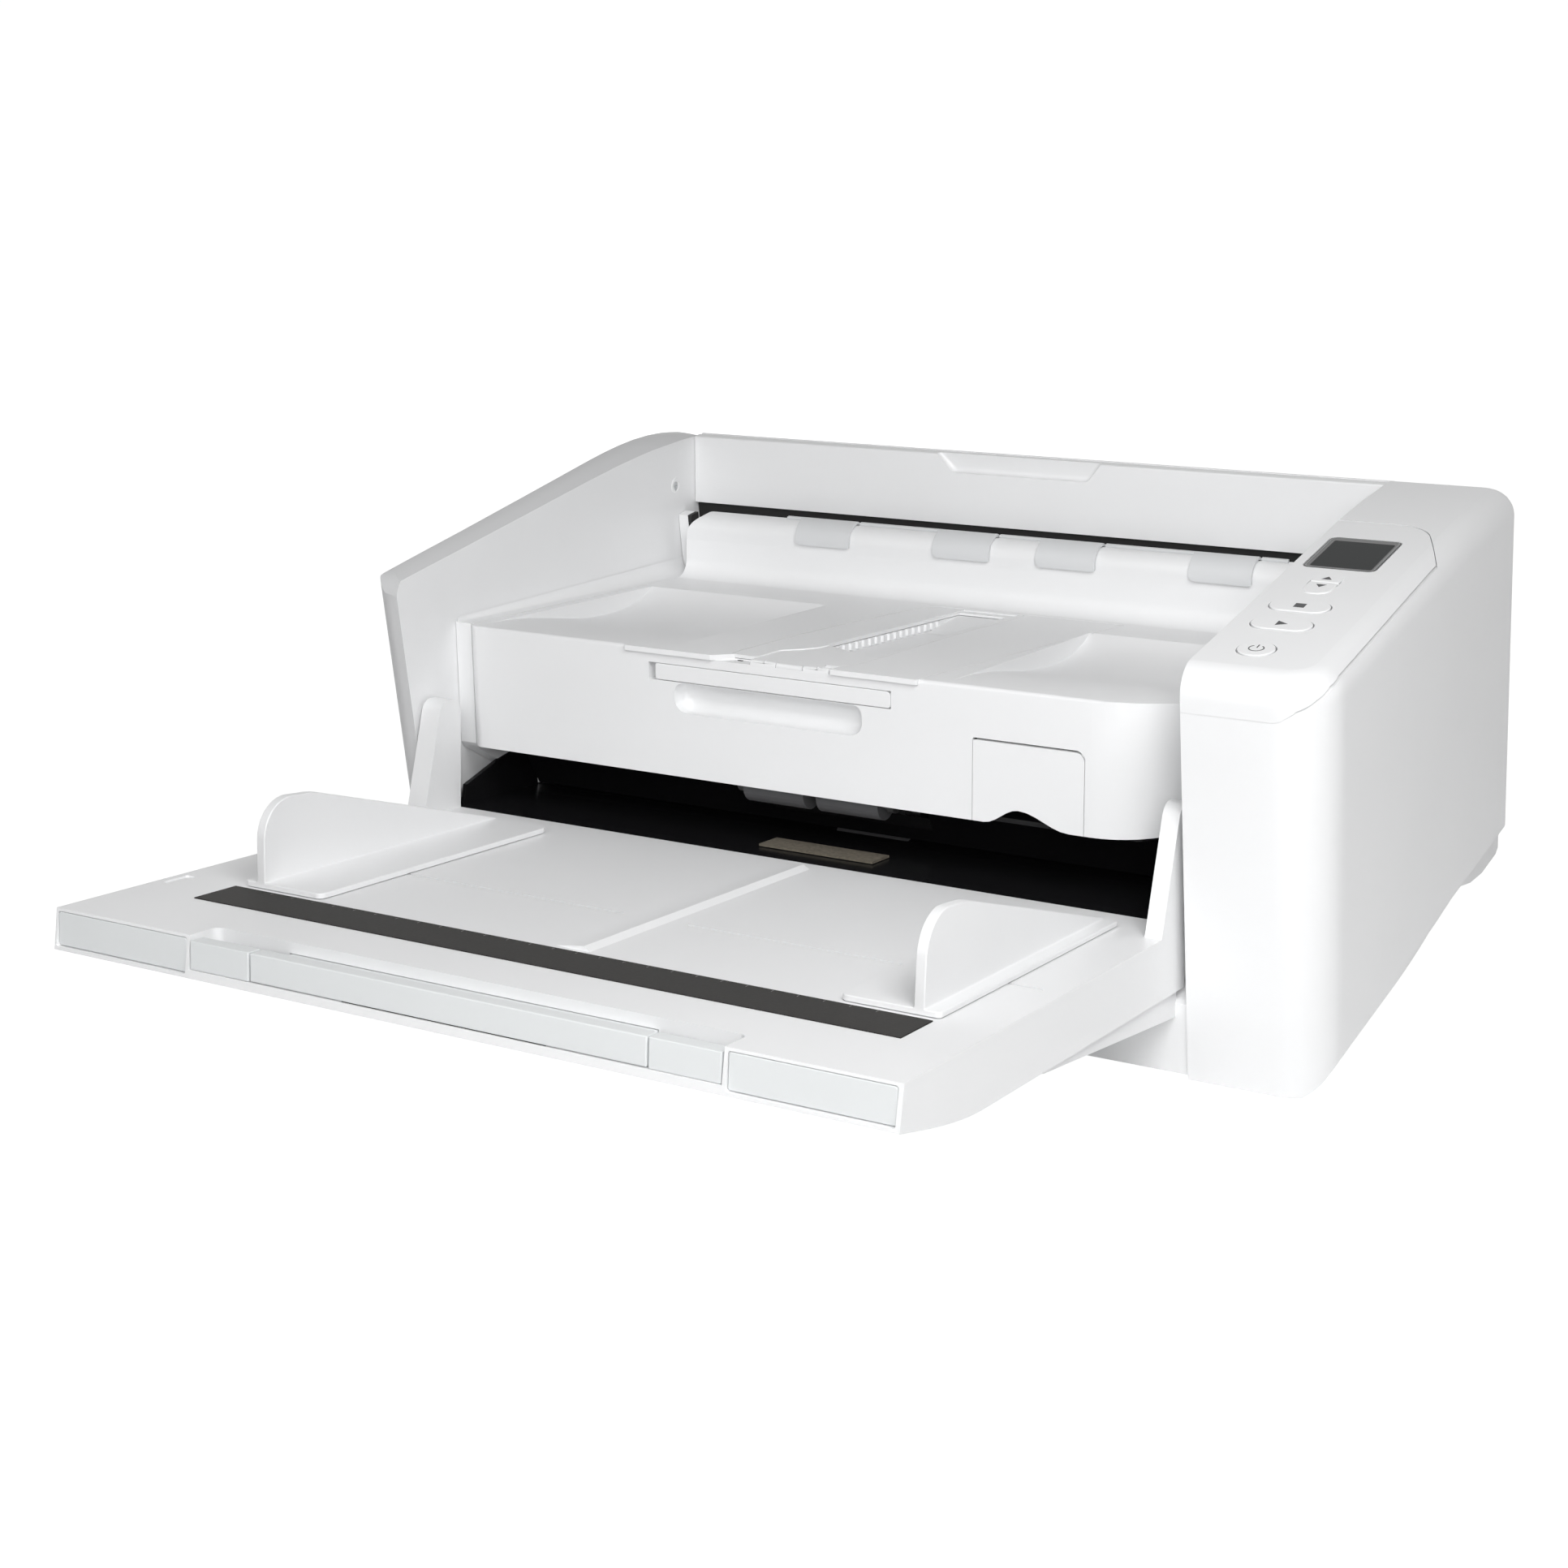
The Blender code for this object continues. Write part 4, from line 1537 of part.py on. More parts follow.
def pinion_outline():
    """A pinion with straight-sided teeth. A gap points at each rack."""
    pitch = pinion_radius()
    root, tip = pitch - DEDENDUM_SHARE * TOOTH_MODULE, pitch + ADDENDUM_SHARE * TOOTH_MODULE
    wide = pi * TOOTH_MODULE * TOOTH_SHARE / pitch / 2
    slant = TOOTH_SLANT_SHARE * TOOTH_MODULE / pitch
    points = []
    for index in range(TOOTH_COUNT):
        middle = 2 * pi * (index + 0.5) / TOOTH_COUNT
        for radius, shift in ((root, -wide - slant), (tip, -wide + slant),
                              (tip, wide - slant), (root, wide + slant)):
            points.append((radius * cos(middle + shift), radius * sin(middle + shift)))
    return points


def rack_outline(side):
    """A rack whose teeth face the pinion. Side is -1 for the left guide's rack and 1 for the right one's."""
    pitch = pinion_radius()
    step = pi * TOOTH_MODULE
    tip, root = pitch - ADDENDUM_SHARE * TOOTH_MODULE, pitch + DEDENDUM_SHARE * TOOTH_MODULE
    wide = step * TOOTH_SHARE / 2
    slant = TOOTH_SLANT_SHARE * TOOTH_MODULE
    teeth = []
    for index in range(-RACK_LEAD_TEETH, RACK_TEETH):
        middle = side * index * step
        shape = ((middle - side * (wide + slant), root), (middle - side * (wide - slant), tip),
                 (middle + side * (wide - slant), tip), (middle + side * (wide + slant), root))
        teeth += shape
    back = root + RACK_WIDTH
    end = side * (GUIDE_INNER - GUIDE_STEM / 2)
    start = teeth[0][0] - side * step / 2
    outline = [(start, back), (start, root)] + list(teeth) + [(end, root), (end, back)]
    return [(PAPER_X + a, -PINION_AT + side * b) for a, b in outline]


def build_rack(name, side):
    """The rack of one guide, with a tab that reaches to the guide's stem."""
    top = -TRAY_DROP - TRAY_SKIN - RACK_DROP - GAP
    rack = prism(name, rack_outline(side), "Z", top - RACK_THICKNESS, top)
    middle = PAPER_X + side * (GUIDE_INNER - GUIDE_STEM / 2)
    pitch = pinion_radius() + DEDENDUM_SHARE * TOOTH_MODULE
    reach = sorted((-PINION_AT + side * (pitch + RACK_WIDTH / 2), -SLOT_AT - side * SLOT_WIDTH / 2))
    tab = block("tab", around(middle, GUIDE_STEM / 2), reach, (top - RACK_THICKNESS, top))
    join(rack, tab)
    return finish_piece(place(rack, TRAY_FRAME), SOFT_WHITE)


def build_pinion():
    top = -TRAY_DROP - TRAY_SKIN - RACK_DROP - GAP
    pinion = prism("guide_pinion", pinion_outline(), "Z", top - RACK_THICKNESS, top)
    cut(pinion, prism("bore", circle((0, 0), PINION_BORE + GAP), "Z", top - OVERRUN, top + OVERRUN))
    frame = TRAY_FRAME @ Matrix.Translation((PAPER_X, -PINION_AT, 0))
    finish_piece(place(pinion, frame), SOFT_WHITE)
    return pinion, frame


def pinion_post():
    """The boss under the tray's surface that the pinion turns on."""
    top = -TRAY_DROP - TRAY_SKIN / 2
    low = -TRAY_DROP - TRAY_THICKNESS + TRAY_SKIN + GAP
    return place(rod("post", "Z", (PAPER_X, -PINION_AT), PINION_BORE, low, top), TRAY_FRAME)


# Supports under the open tray


def tray_underside_z(depth):
    drop = (TRAY_DROP + TRAY_THICKNESS) / cos(TRAY_ANGLE)
    return PIVOT_Z - (depth - PIVOT_DEPTH) * tan(TRAY_ANGLE) - drop


def tray_supports():
    """The two ribs in front of the base that the open tray rests on."""
    root = SKIRT_DEPTH + SHELL / 2
    tip = root - SUPPORT_LENGTH
    root_top, tip_top = [tray_underside_z(depth) - RUNNING_GAP for depth in (root, tip)]
    outline = follow([(root, SUPPORT_ROOT_Z), (root, root_top), (tip, tip_top), (tip, tip_top - SUPPORT_TIP)])
    return [prism("rib", outline, "X", *x_range) for x_range in SUPPORT_X]


def build_body():
    build_left_panel()
    build_right_housing()
    build_control_cap()
    build_controls()
    build_base()
    build_bed()
    build_lower_scanner()
    build_rollers()
    build_drive()
    build_electronics()
    build_eject_wall()
    build_rear_cover()
    build_cheeks()


def build_upper_unit():
    """The hinged cover and everything that it carries."""
    hinge_frame = Matrix.Translation((0, at(HINGE_DEPTH), HINGE_Z))
    hinge = add_pivot("cover_hinge_axis", hinge_frame)
    feed, idler = build_cover_rollers()
    fixed = [build_cover(), build_underframe(), build_flap_shaft()]
    hang(fixed + build_upper_scanner(), hinge, hinge_frame)
    moving = [build_stopper(), build_lever(), ([build_eject_extension()], TOP_FRAME)]
    moving += [build_flap(index + 1, span) for index, span in enumerate(flap_spans())]
    moving.append(([feed], Matrix.Translation((0, at(FEED_DEPTH), FEED_Z))))
    moving.append(([idler], Matrix.Translation((0, at(DRIVE_DEPTH), IDLER_Z))))
    for pieces, frame in moving:
        hang_under(pieces, frame, hinge, hinge_frame)
    arms, rollers = build_pickup()
    arm_frame = Matrix.Translation((0, at(PICK_PIVOT_DEPTH), PICK_PIVOT_Z))
    arm_pivot = hang_under([arms], arm_frame, hinge, hinge_frame)
    hang_under([rollers], Matrix.Translation((0, at(PICK_DEPTH), PICK_Z)), arm_pivot, arm_frame)


def hang_under(pieces, frame, parent, parent_frame):
    """Hangs pieces on a new pivot that is itself carried by another pivot."""
    pivot = add_pivot(pieces[0].name + "_axis", frame)
    hang(pieces, pivot, frame)
    pivot.parent = parent
    pivot.matrix_parent_inverse = parent_frame.inverted()
    return pivot


def build_tray():
    """The hinged feed tray and everything that it carries."""
    pivot = add_pivot("tray_pivot_axis", TRAY_FRAME)
    hang([build_tray_shell()] + build_tray_fittings(), pivot, TRAY_FRAME)
    for pieces in ([build_tray_extension()],
                   [build_guide("left_guide", -1), build_rack("left_rack", -1)],
                   [build_guide("right_guide", 1), build_rack("right_rack", 1)]):
        hang_under(pieces, TRAY_FRAME, pivot, TRAY_FRAME)
    pinion, frame = build_pinion()
    hang_under([pinion], frame, pivot, TRAY_FRAME)


def main():
    clear_scene()
    build_body()
    build_upper_unit()
    build_tray()


main()
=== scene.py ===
"""The finished surfaces of a desktop document scanner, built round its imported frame. Lengths are in metres."""
import json
from math import acos, atan2, ceil, cos, pi, radians, sin, sqrt, tan

import bmesh
import bpy
from bpy.props import FloatProperty, FloatVectorProperty, IntProperty, PointerProperty
from mathutils import Matrix, Vector


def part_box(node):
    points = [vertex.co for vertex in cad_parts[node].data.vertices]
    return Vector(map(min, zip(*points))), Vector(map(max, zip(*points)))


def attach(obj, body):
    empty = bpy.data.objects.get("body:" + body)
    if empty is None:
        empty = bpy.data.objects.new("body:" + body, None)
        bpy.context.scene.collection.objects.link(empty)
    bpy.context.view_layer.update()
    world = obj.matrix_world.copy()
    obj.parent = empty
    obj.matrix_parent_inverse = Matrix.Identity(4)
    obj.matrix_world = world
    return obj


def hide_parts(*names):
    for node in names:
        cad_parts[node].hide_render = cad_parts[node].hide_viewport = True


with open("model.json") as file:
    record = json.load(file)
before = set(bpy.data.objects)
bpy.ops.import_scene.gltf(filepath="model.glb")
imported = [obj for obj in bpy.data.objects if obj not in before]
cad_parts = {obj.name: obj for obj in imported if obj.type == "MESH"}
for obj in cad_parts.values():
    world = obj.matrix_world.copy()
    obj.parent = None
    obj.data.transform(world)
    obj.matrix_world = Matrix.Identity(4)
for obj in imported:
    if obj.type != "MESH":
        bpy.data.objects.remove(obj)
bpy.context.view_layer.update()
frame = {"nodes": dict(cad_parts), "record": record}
FRONT_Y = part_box("left_side_panel")[0].y

bl_info = {
    "name": "Document scanner finish",
    "version": (1, 0, 0),
    "blender": (4, 5, 0),
    "location": "View3D > Sidebar > Scanner",
    "description": "Dresses the packed frame of a document scanner with finished surfaces",
    "category": "Object",
}


def colour(name, description, value):
    return FloatVectorProperty(name=name, description=description, subtype="COLOR", size=3,
                               min=0, max=1, default=value)


def length(name, description, value):
    return FloatProperty(name=name, description=description, unit="LENGTH", precision=4, default=value)


class ScannerColours(bpy.types.PropertyGroup):
    """The colours of the plastics, the glass and the rubber."""
    shell: colour("Shell", "The white plastic of the housings", (0.86, 0.864, 0.87))
    trim: colour("Front trim", "The slightly greyer plastic of the bar and plates in the tray's front edge",
                 (0.76, 0.78, 0.785))
    # Painted shade: this darker grey stands for the shade on the left housing's faces that turn away from the lamps;
    # the plastic is the same white as the shell.
    outer: colour("Left housing", "The outer faces of the left housing", (0.68, 0.683, 0.69))
    inner: colour("Inner parts", "The plain white plastic of the racks and the tray's underside", (0.72, 0.73, 0.74))
    flap: colour("Flaps", "The grey plastic of the eject flaps", (0.70, 0.71, 0.72))
    bed: colour("Paper path", "The black plastic of the paper path", (0.010, 0.010, 0.011))
    strip: colour("Size strip", "The dark strip across the feed tray", (0.034, 0.0325, 0.031))
    pad: colour("Pad", "The cork pad in the feed mouth", (0.165, 0.145, 0.112))
    rubber: colour("Rubber", "The rollers and feet", (0.045, 0.045, 0.047))
    steel: colour("Steel", "Shafts, screws and the motor", (0.62, 0.63, 0.64))
    display: colour("Display", "The dark glass of the display", (0.022, 0.024, 0.024))
    board: colour("Circuit board", "The boards inside", (0.02, 0.15, 0.06))
    print: colour("Symbols", "The printed button symbols", (0.03, 0.03, 0.032))
    floor: colour("Floor", "The ground under the scanner", (0.92, 0.92, 0.92))


class ScannerEdges(bpy.types.PropertyGroup):
    """How far the edges of the mouldings are rounded."""
    large: length("Housing edges", "Radius along the edges of the housings", 0.0012)
    small: length("Fitting edges", "Radius along the edges of small fittings", 0.0006)
    fine: length("Fine edges", "Radius along the thinnest edges", 0.0003)
    steps: IntProperty(name="Edge steps", description="Faces across a rounded edge", min=1, max=6, default=3)


class ScannerLight(bpy.types.PropertyGroup):
    """The lamps and the room light."""
    key: FloatProperty(name="Key lamp", description="Soft lamp near the viewer", unit="POWER", min=0, default=7.6)
    near: FloatProperty(name="Near lamp", description="Soft lamp close over the right front corner", unit="POWER",
                        min=0, default=3.15)
    fill: FloatProperty(name="Fill lamp", description="Soft lamp close over the middle", unit="POWER", min=0,
                        default=0.61)
    back: FloatProperty(name="Back lamp", description="Low soft lamp behind the scanner", unit="POWER", min=0,
                        default=2.8)
    room: FloatProperty(name="Room light", description="Strength of the light from all round", min=0, default=0.10)


ARC_STEP = radians(7)
OVERRUN = 0.02
SKIN = 0.0025
CLEARANCE = 0.0003

COVER_X = (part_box("left_side_panel")[1].x + 0.0087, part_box("right_side_housing")[0].x - 0.0087)
COVER_LOW = (0.0265, 0.0845)
COVER_TOP = (0.0335, 0.1389)
COVER_SLOPE = radians(10.40)
COVER_CORNERS = (0.006, 0.042)
COVER_FOOT = 0.211
COVER_REAR = 0.2355
ROLL = (0.2222, 0.1285)
ROLL_RADIUS = 0.0078
GROOVE_Z = 0.1265
CHANNEL_X = (-0.1375, 0.1180)
BLOCK_END_RADIUS = 0.0115
BLOCK_BACK = 0.2262
HINGE = (0.232, 0.1225)
HINGE_PIN_RADIUS = 0.0022
TOWER_SLOPE = atan2(0.0048, 0.180)
TRAY_ANGLE = radians(12.2)
PIVOT = (0.012, 0.105)

BODY_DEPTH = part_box("right_side_housing")[1].y - FRONT_Y
FRONT_FOOT, REAR_BOTTOM = 0.002, 0.018
ARCH = ((0.04, 0.0), (0.12, 0.06), (0.25, 0.25), (0.38, 0.56), (0.5, 0.87), (0.63, 1.0))
SKID_X = (0.1992, 0.2060)
SKID_SHARES = ((0, 1), (0.17, 0.72), (0.33, 0.44), (0.52, 0.16), (0.72, 0.0), (0.96, 0.0), (1, 0.1), (1, 1))
PANEL_CREST = ((0, 0.1697), (0.0300, 0.1710), (0.0620, 0.1722), (0.1110, 0.1744), (0.1366, 0.1756), (0.1632, 0.1769),
               (0.1768, 0.1774), (0.1906, 0.1775), (0.2045, 0.1770), (0.2186, 0.1757), (0.2298, 0.1738),
               (0.2411, 0.1712), (BODY_DEPTH, 0.1680))
PANEL_RIM = ((-0.01, 0.1668), (0.0096, 0.1679), (0.0481, 0.1689), (0.0962, 0.1703), (0.1478, 0.1719), (0.1748, 0.1724),
             (0.2027, 0.1720), (0.2313, 0.1702), (0.2700, 0.1660))
TOWER_TOP = ((0, 0.1685), (0.180, 0.1733), (0.207, 0.1729), (0.235, 0.1716), (BODY_DEPTH, 0.1708))
TOWER_STATIONS = (0.05, 0.10, 0.15, 0.18, 0.195, 0.207, 0.22)
TOWER_ROUND = 0.0110
CREST_SHARE, CREST_DROP = 0.72, 0.0036
BUTTON_X = 0.1763
BUTTONS = ("power_button", "scan_button", "stop_button", "up_button", "down_button")
SEAM = ((0, 0.1512), (0.0005, 0.1532), (0.0018, 0.1560), (0.0062, 0.1594), (0.0125, 0.1628), (0.0200, 0.1643),
        (0.1310, 0.1682), (0.1900, 0.1695))
SEAM_GAP = 0.0009


def at(depth):
    """The Y of a depth measured back from the front faces of the two side housings."""
    return FRONT_Y + depth


def turned_frame(depth, z, angle):
    """A frame at a depth and height, whose Y runs back and down by the angle."""
    return Matrix.Translation((0, at(depth), z)) @ Matrix.Rotation(-angle, 4, "X")


COVER_LEAN = atan2(COVER_TOP[0] - COVER_LOW[0], COVER_TOP[1] - COVER_LOW[1])
TOP_FRAME = turned_frame(*COVER_TOP, COVER_SLOPE)
FACE_FRAME = turned_frame(*COVER_LOW, COVER_LEAN)
CONTROL_FRAME = turned_frame(0, 0.1685, -TOWER_SLOPE)
TRAY_FRAME = turned_frame(*PIVOT, TRAY_ANGLE)


def outlines_of_controls():
    """Each button's hole in the control panel, as (x, depth)."""
    middle, gap = BUTTON_X, 0.0005
    spans = {"stop_button": (0.01175, 0.0672, 0.0792, 0.0059), "scan_button": (0.01175, 0.0472, 0.0592, 0.0059),
             "power_button": (0.0070, 0.0195, 0.0335, 0.00695)}
    result = {}
    for name, (half, near, far, radius) in spans.items():
        corners = [(middle - half - gap, near - gap), (middle + half + gap, near - gap),
                   (middle + half + gap, far + gap), (middle - half - gap, far + gap)]
        result[name] = rounded([(*corner, radius + gap * 0.9) for corner in corners])
    half, radius = 0.0057 + gap, 0.0056 + gap * 0.9
    result["step"] = rounded([(middle - half, 0.0938 - gap, radius), (middle + half, 0.0938 - gap, radius),
                              (middle + half, 0.1072 + gap, radius), (middle - half, 0.1072 + gap, radius)])
    return result


# Materials

def material(name):
    made = bpy.data.materials.new(name)
    made.use_nodes = True
    return made


def node(made, kind, **inputs):
    added = made.node_tree.nodes.new(kind)
    for key, value in inputs.items():
        added.inputs[key].default_value = value
    return added


def wire(made, source, output, target, socket):
    made.node_tree.links.new(source.outputs[output], target.inputs[socket])


def moulded(name, tint, roughness=0.42, grain=0.04, pitch=900.0, variation=0.02):
    """Moulded plastic: a fine grain on the surface and a slight drift in its colour and gloss."""
    made = material(name)
    shader = made.node_tree.nodes["Principled BSDF"]
    place = node(made, "ShaderNodeTexCoord")
    drift = node(made, "ShaderNodeTexNoise", Scale=9.0, Detail=3.0)
    wire(made, place, "Object", drift, "Vector")
    shades = node(made, "ShaderNodeValToRGB")
    low = [max(0.0, part * (1 - variation)) for part in tint]
    shades.color_ramp.elements[0].color = (*low, 1)
    shades.color_ramp.elements[1].color = (*tint, 1)
    shades.color_ramp.elements[0].position = 0.35
    shades.color_ramp.elements[1].position = 0.65
    wire(made, drift, "Fac", shades, "Fac")
    wire(made, shades, "Color", shader, "Base Color")
    fine = node(made, "ShaderNodeTexNoise", Scale=pitch, Detail=2.0, Roughness=0.6)
    wire(made, place, "Object", fine, "Vector")
    gloss = node(made, "ShaderNodeMapRange")
    gloss.inputs["To Min"].default_value = roughness - 0.04
    gloss.inputs["To Max"].default_value = roughness + 0.04
    wire(made, fine, "Fac", gloss, "Value")
    wire(made, gloss, "Result", shader, "Roughness")
    bump = node(made, "ShaderNodeBump", Strength=grain, Distance=0.0002)
    wire(made, fine, "Fac", bump, "Height")
    wire(made, bump, "Normal", shader, "Normal")
    shader.inputs["IOR"].default_value = 1.5
    return made


# Shapes

def piece_from(name, shape):
    """Turns a bmesh into a new object."""
    mesh = bpy.data.meshes.new(name)
    shape.to_mesh(mesh)
    shape.free()
    made = bpy.data.objects.new(name, mesh)
    bpy.context.scene.collection.objects.link(made)
    return made


def copy_of(source, name):
    """A copy of a CAD node whose loose triangles are merged into whole faces."""
    shape = bmesh.new()
    shape.from_mesh(frame["nodes"][source].data)
    bmesh.ops.remove_doubles(shape, verts=shape.verts, dist=0.000002)
    bmesh.ops.dissolve_limit(shape, angle_limit=radians(0.4), verts=shape.verts, edges=shape.edges)
    return piece_from(name, shape)


def bake(piece):
    """Applies the modifiers of a piece and removes them."""
    graph = bpy.context.evaluated_depsgraph_get()
    mesh = bpy.data.meshes.new_from_object(piece.evaluated_get(graph))
    piece.modifiers.clear()
    piece.data = mesh
    mesh.name = piece.name
    return piece


def round_edges(piece, width, steps=3, angle=radians(28)):
    """Rounds the sharp edges of a piece."""
    bevel = piece.modifiers.new("round", "BEVEL")
    bevel.width = width
    bevel.segments = steps
    bevel.limit_method = "ANGLE"
    bevel.angle_limit = angle
    bevel.use_clamp_overlap = True
    bevel.miter_outer = "MITER_ARC"
    return bake(piece)


def smooth(piece, limit=radians(32)):
    """Smooth shading in which the large flat faces stay flat."""
    piece.data.shade_smooth()
    piece.data.set_sharp_from_angle(angle=limit)
    even = piece.modifiers.new("even", "WEIGHTED_NORMAL")
    even.keep_sharp = True
    return bake(piece)


def rectangle(first, second):
    return [(first[0], second[0]), (first[1], second[0]), (first[1], second[1]), (first[0], second[1])]


def circle(centre, radius, sides=32):
    steps = [2 * pi * index / sides for index in range(sides)]
    return [(centre[0] + radius * cos(turn), centre[1] + radius * sin(turn)) for turn in steps]


def rounded(points):
    """Rounds the corners of an outline whose points are (a, b) or (a, b, radius)."""
    result = []
    for index, point in enumerate(points):
        here = Vector(point[:2])
        radius = point[2] if len(point) > 2 else 0
        if radius == 0:
            result.append(tuple(here))
            continue
        before = (Vector(points[index - 1][:2]) - here).normalized()
        after = (Vector(points[(index + 1) % len(points)][:2]) - here).normalized()
        half = acos(max(-1, min(1, before.dot(after)))) / 2
        centre = here + (before + after).normalized() * (radius / sin(half))
        start = here + before * (radius / tan(half)) - centre
        sweep = start.angle_signed(here + after * (radius / tan(half)) - centre)
        steps = max(2, ceil(abs(sweep) / ARC_STEP))
        for step in range(steps + 1):
            turned = start.copy()
            turned.rotate(Matrix.Rotation(-sweep * step / steps, 2))
            result.append(tuple(centre + turned))
    return result


def prism(name, outline, axis, start, end, frame_of=None):
    """An outline extruded along an axis. Outline points are (y, z), (x, z) or (x, y) in that order."""
    shape = bmesh.new()

    def corner(point, along):
        if axis == "X":
            return (along, point[0], point[1])
        if axis == "Y":
            return (point[0], along, point[1])
        return (point[0], point[1], along)

    low = [shape.verts.new(corner(point, start)) for point in outline]
    high = [shape.verts.new(corner(point, end)) for point in outline]
    shape.faces.new(low)
    shape.faces.new(high)
    for index, here in enumerate(low):
        after = (index + 1) % len(low)
        shape.faces.new((here, low[after], high[after], high[index]))
    bmesh.ops.recalc_face_normals(shape, faces=shape.faces)
    piece = piece_from(name, shape)
    return place(piece, frame_of) if frame_of else piece


def block(name, x_range, y_range, z_range, frame_of=None):
    return prism(name, rectangle(x_range, y_range), "Z", z_range[0], z_range[1], frame_of)


def rod(name, axis, centre, radius, start, end, frame_of=None, sides=32):
    return prism(name, circle(centre, radius, sides), axis, start, end, frame_of)


def place(piece, frame_of):
    piece.data.transform(frame_of)
    return piece


def combine(target, tool, operation):
    """Joins, cuts or trims the target with the tool, and removes the tool."""
    modifier = target.modifiers.new("combine", "BOOLEAN")
    modifier.operation = operation
    modifier.object = tool
    bpy.context.view_layer.update()
    bake(target)
    bpy.data.objects.remove(tool, do_unlink=True)
    return target


def cut(target, *tools):
    for tool in tools:
        combine(target, tool, "DIFFERENCE")
    return target


def join(target, *tools):
    for tool in tools:
        combine(target, tool, "UNION")
    return target


def tidy(piece):
    """Merges the doubled points and removes the collapsed faces that cuts leave behind."""
    shape = bmesh.new()
    shape.from_mesh(piece.data)
    bmesh.ops.remove_doubles(shape, verts=shape.verts, dist=0.000005)
    bmesh.ops.dissolve_degenerate(shape, edges=shape.edges, dist=0.000005)
    shape.to_mesh(piece.data)
    shape.free()
    return piece


def detailed(piece, made, body, width, steps=3, nodes=(), slot=None):
    """Rounds, shades and dresses a finished shape."""
    round_edges(tidy(piece), width, steps)
    smooth(piece)
    return finish(piece, made, body, slot, *nodes)


def finish(piece, made, body, slot, *nodes):
    """Gives a piece its material by name and its body, and hides the CAD nodes that it stands for."""
    piece.data.materials.clear()
    piece.data.materials.append(bpy.data.materials[made])
    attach(piece, body)
    if nodes:
        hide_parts(*nodes)
    return piece


def body_of(name):
    return next(body for body, members in frame["record"]["behaviour"]["bodies"].items() if name in members)


def dress(name, made, width, steps=3):
    """A rounded copy of a CAD node in a new material."""
    piece = copy_of(name, name + "_finish")
    round_edges(piece, width, steps)
    smooth(piece)
    return finish(piece, made, body_of(name), None, name)


def repaint(name, made):
    """A new material on a CAD node whose shape is right."""
    target = frame["nodes"][name]
    target.data.materials.clear()
    target.data.materials.append(bpy.data.materials[made])


# Pieces that repeat

def row_tree():
    """A Geometry Nodes tree that sets a part out along a line."""
    tree = bpy.data.node_groups.new("row", "GeometryNodeTree")
    for label, kind in (("Part", "Object"), ("Count", "Int"), ("Start", "Vector"), ("Step", "Vector"),
                        ("Material", "Material")):
        tree.interface.new_socket(label, in_out="INPUT", socket_type="NodeSocket" + kind)
    tree.interface.new_socket("Geometry", in_out="OUTPUT", socket_type="NodeSocketGeometry")
    sizes = tree.nodes.new("NodeGroupInput")
    line = tree.nodes.new("GeometryNodeMeshLine")
    source = tree.nodes.new("GeometryNodeObjectInfo")
    repeat = tree.nodes.new("GeometryNodeInstanceOnPoints")
    realize = tree.nodes.new("GeometryNodeRealizeInstances")
    paint = tree.nodes.new("GeometryNodeSetMaterial")
    out = tree.nodes.new("NodeGroupOutput")
    for first, output, second, socket in (
            (sizes, "Count", line, "Count"), (sizes, "Start", line, "Start Location"),
            (sizes, "Step", line, "Offset"), (sizes, "Part", source, "Object"),
            (line, "Mesh", repeat, "Points"), (source, "Geometry", repeat, "Instance"),
            (repeat, "Instances", realize, "Geometry"), (realize, "Geometry", paint, "Geometry"),
            (sizes, "Material", paint, "Material"), (paint, "Geometry", out, "Geometry")):
        tree.links.new(first.outputs[output], second.inputs[socket])
    return tree


def row(name, part, count, start, step, made, frame_of=None):
    """A part repeated along a line, as one plain mesh. The part itself is removed."""
    tree = bpy.data.node_groups.get("row") or row_tree()
    holder = bpy.data.objects.new(name, bpy.data.meshes.new(name))
    bpy.context.scene.collection.objects.link(holder)
    modifier = holder.modifiers.new("row", "NODES")
    modifier.node_group = tree
    values = {"Part": part, "Count": count, "Start": start, "Step": step, "Material": bpy.data.materials[made]}
    for item in tree.interface.items_tree:
        if item.in_out == "INPUT":
            modifier[item.identifier] = values[item.name]
    bpy.context.view_layer.update()
    bake(holder)
    bpy.data.objects.remove(part, do_unlink=True)
    return place(holder, frame_of) if frame_of else holder


def screw_head(radius, height, slot_width):
    """A round screw head with a cross recess, standing on Z = 0."""
    head = rod("head", "Z", (0, 0), radius, -height, 0, sides=20)
    cut(head, block("slot", (-radius * 0.6, radius * 0.6), (-slot_width, slot_width), (-height * 1.6, -height * 0.4)),
        block("slot", (-slot_width, slot_width), (-radius * 0.6, radius * 0.6), (-height * 1.6, -height * 0.4)))
    return head


# Housings

class SCANNER_OT_housings(bpy.types.Operator):
    """Build the side housings, the wall at the rear and the cheeks"""
    bl_idname = "scanner.housings"
    bl_label = "Housings"

    def execute(self, context):
        edges = context.scene.scanner_edges
        build_panel(edges.small)
        build_tower(edges.fine)
        dress("rear_cover", "shell_plastic", edges.small, edges.steps)
        build_wall(edges.fine)
        for name, side in (("left_cheek", 1), ("right_cheek", -1)):
            build_cheek(name, side, edges.fine)
        build_screw_seats()
        return {"FINISHED"}


def loft(name, rings):
    """A closed solid through outlines that have the same number of points."""
    shape = bmesh.new()
    loops = [[shape.verts.new(point) for point in ring] for ring in rings]
    for before, after in zip(loops, loops[1:]):
        for index, here in enumerate(before):
            further = (index + 1) % len(before)
            shape.faces.new((here, before[further], after[further], after[index]))
    shape.faces.new(loops[0])
    shape.faces.new(loops[-1])
    bmesh.ops.recalc_face_normals(shape, faces=shape.faces)
    return piece_from(name, shape)


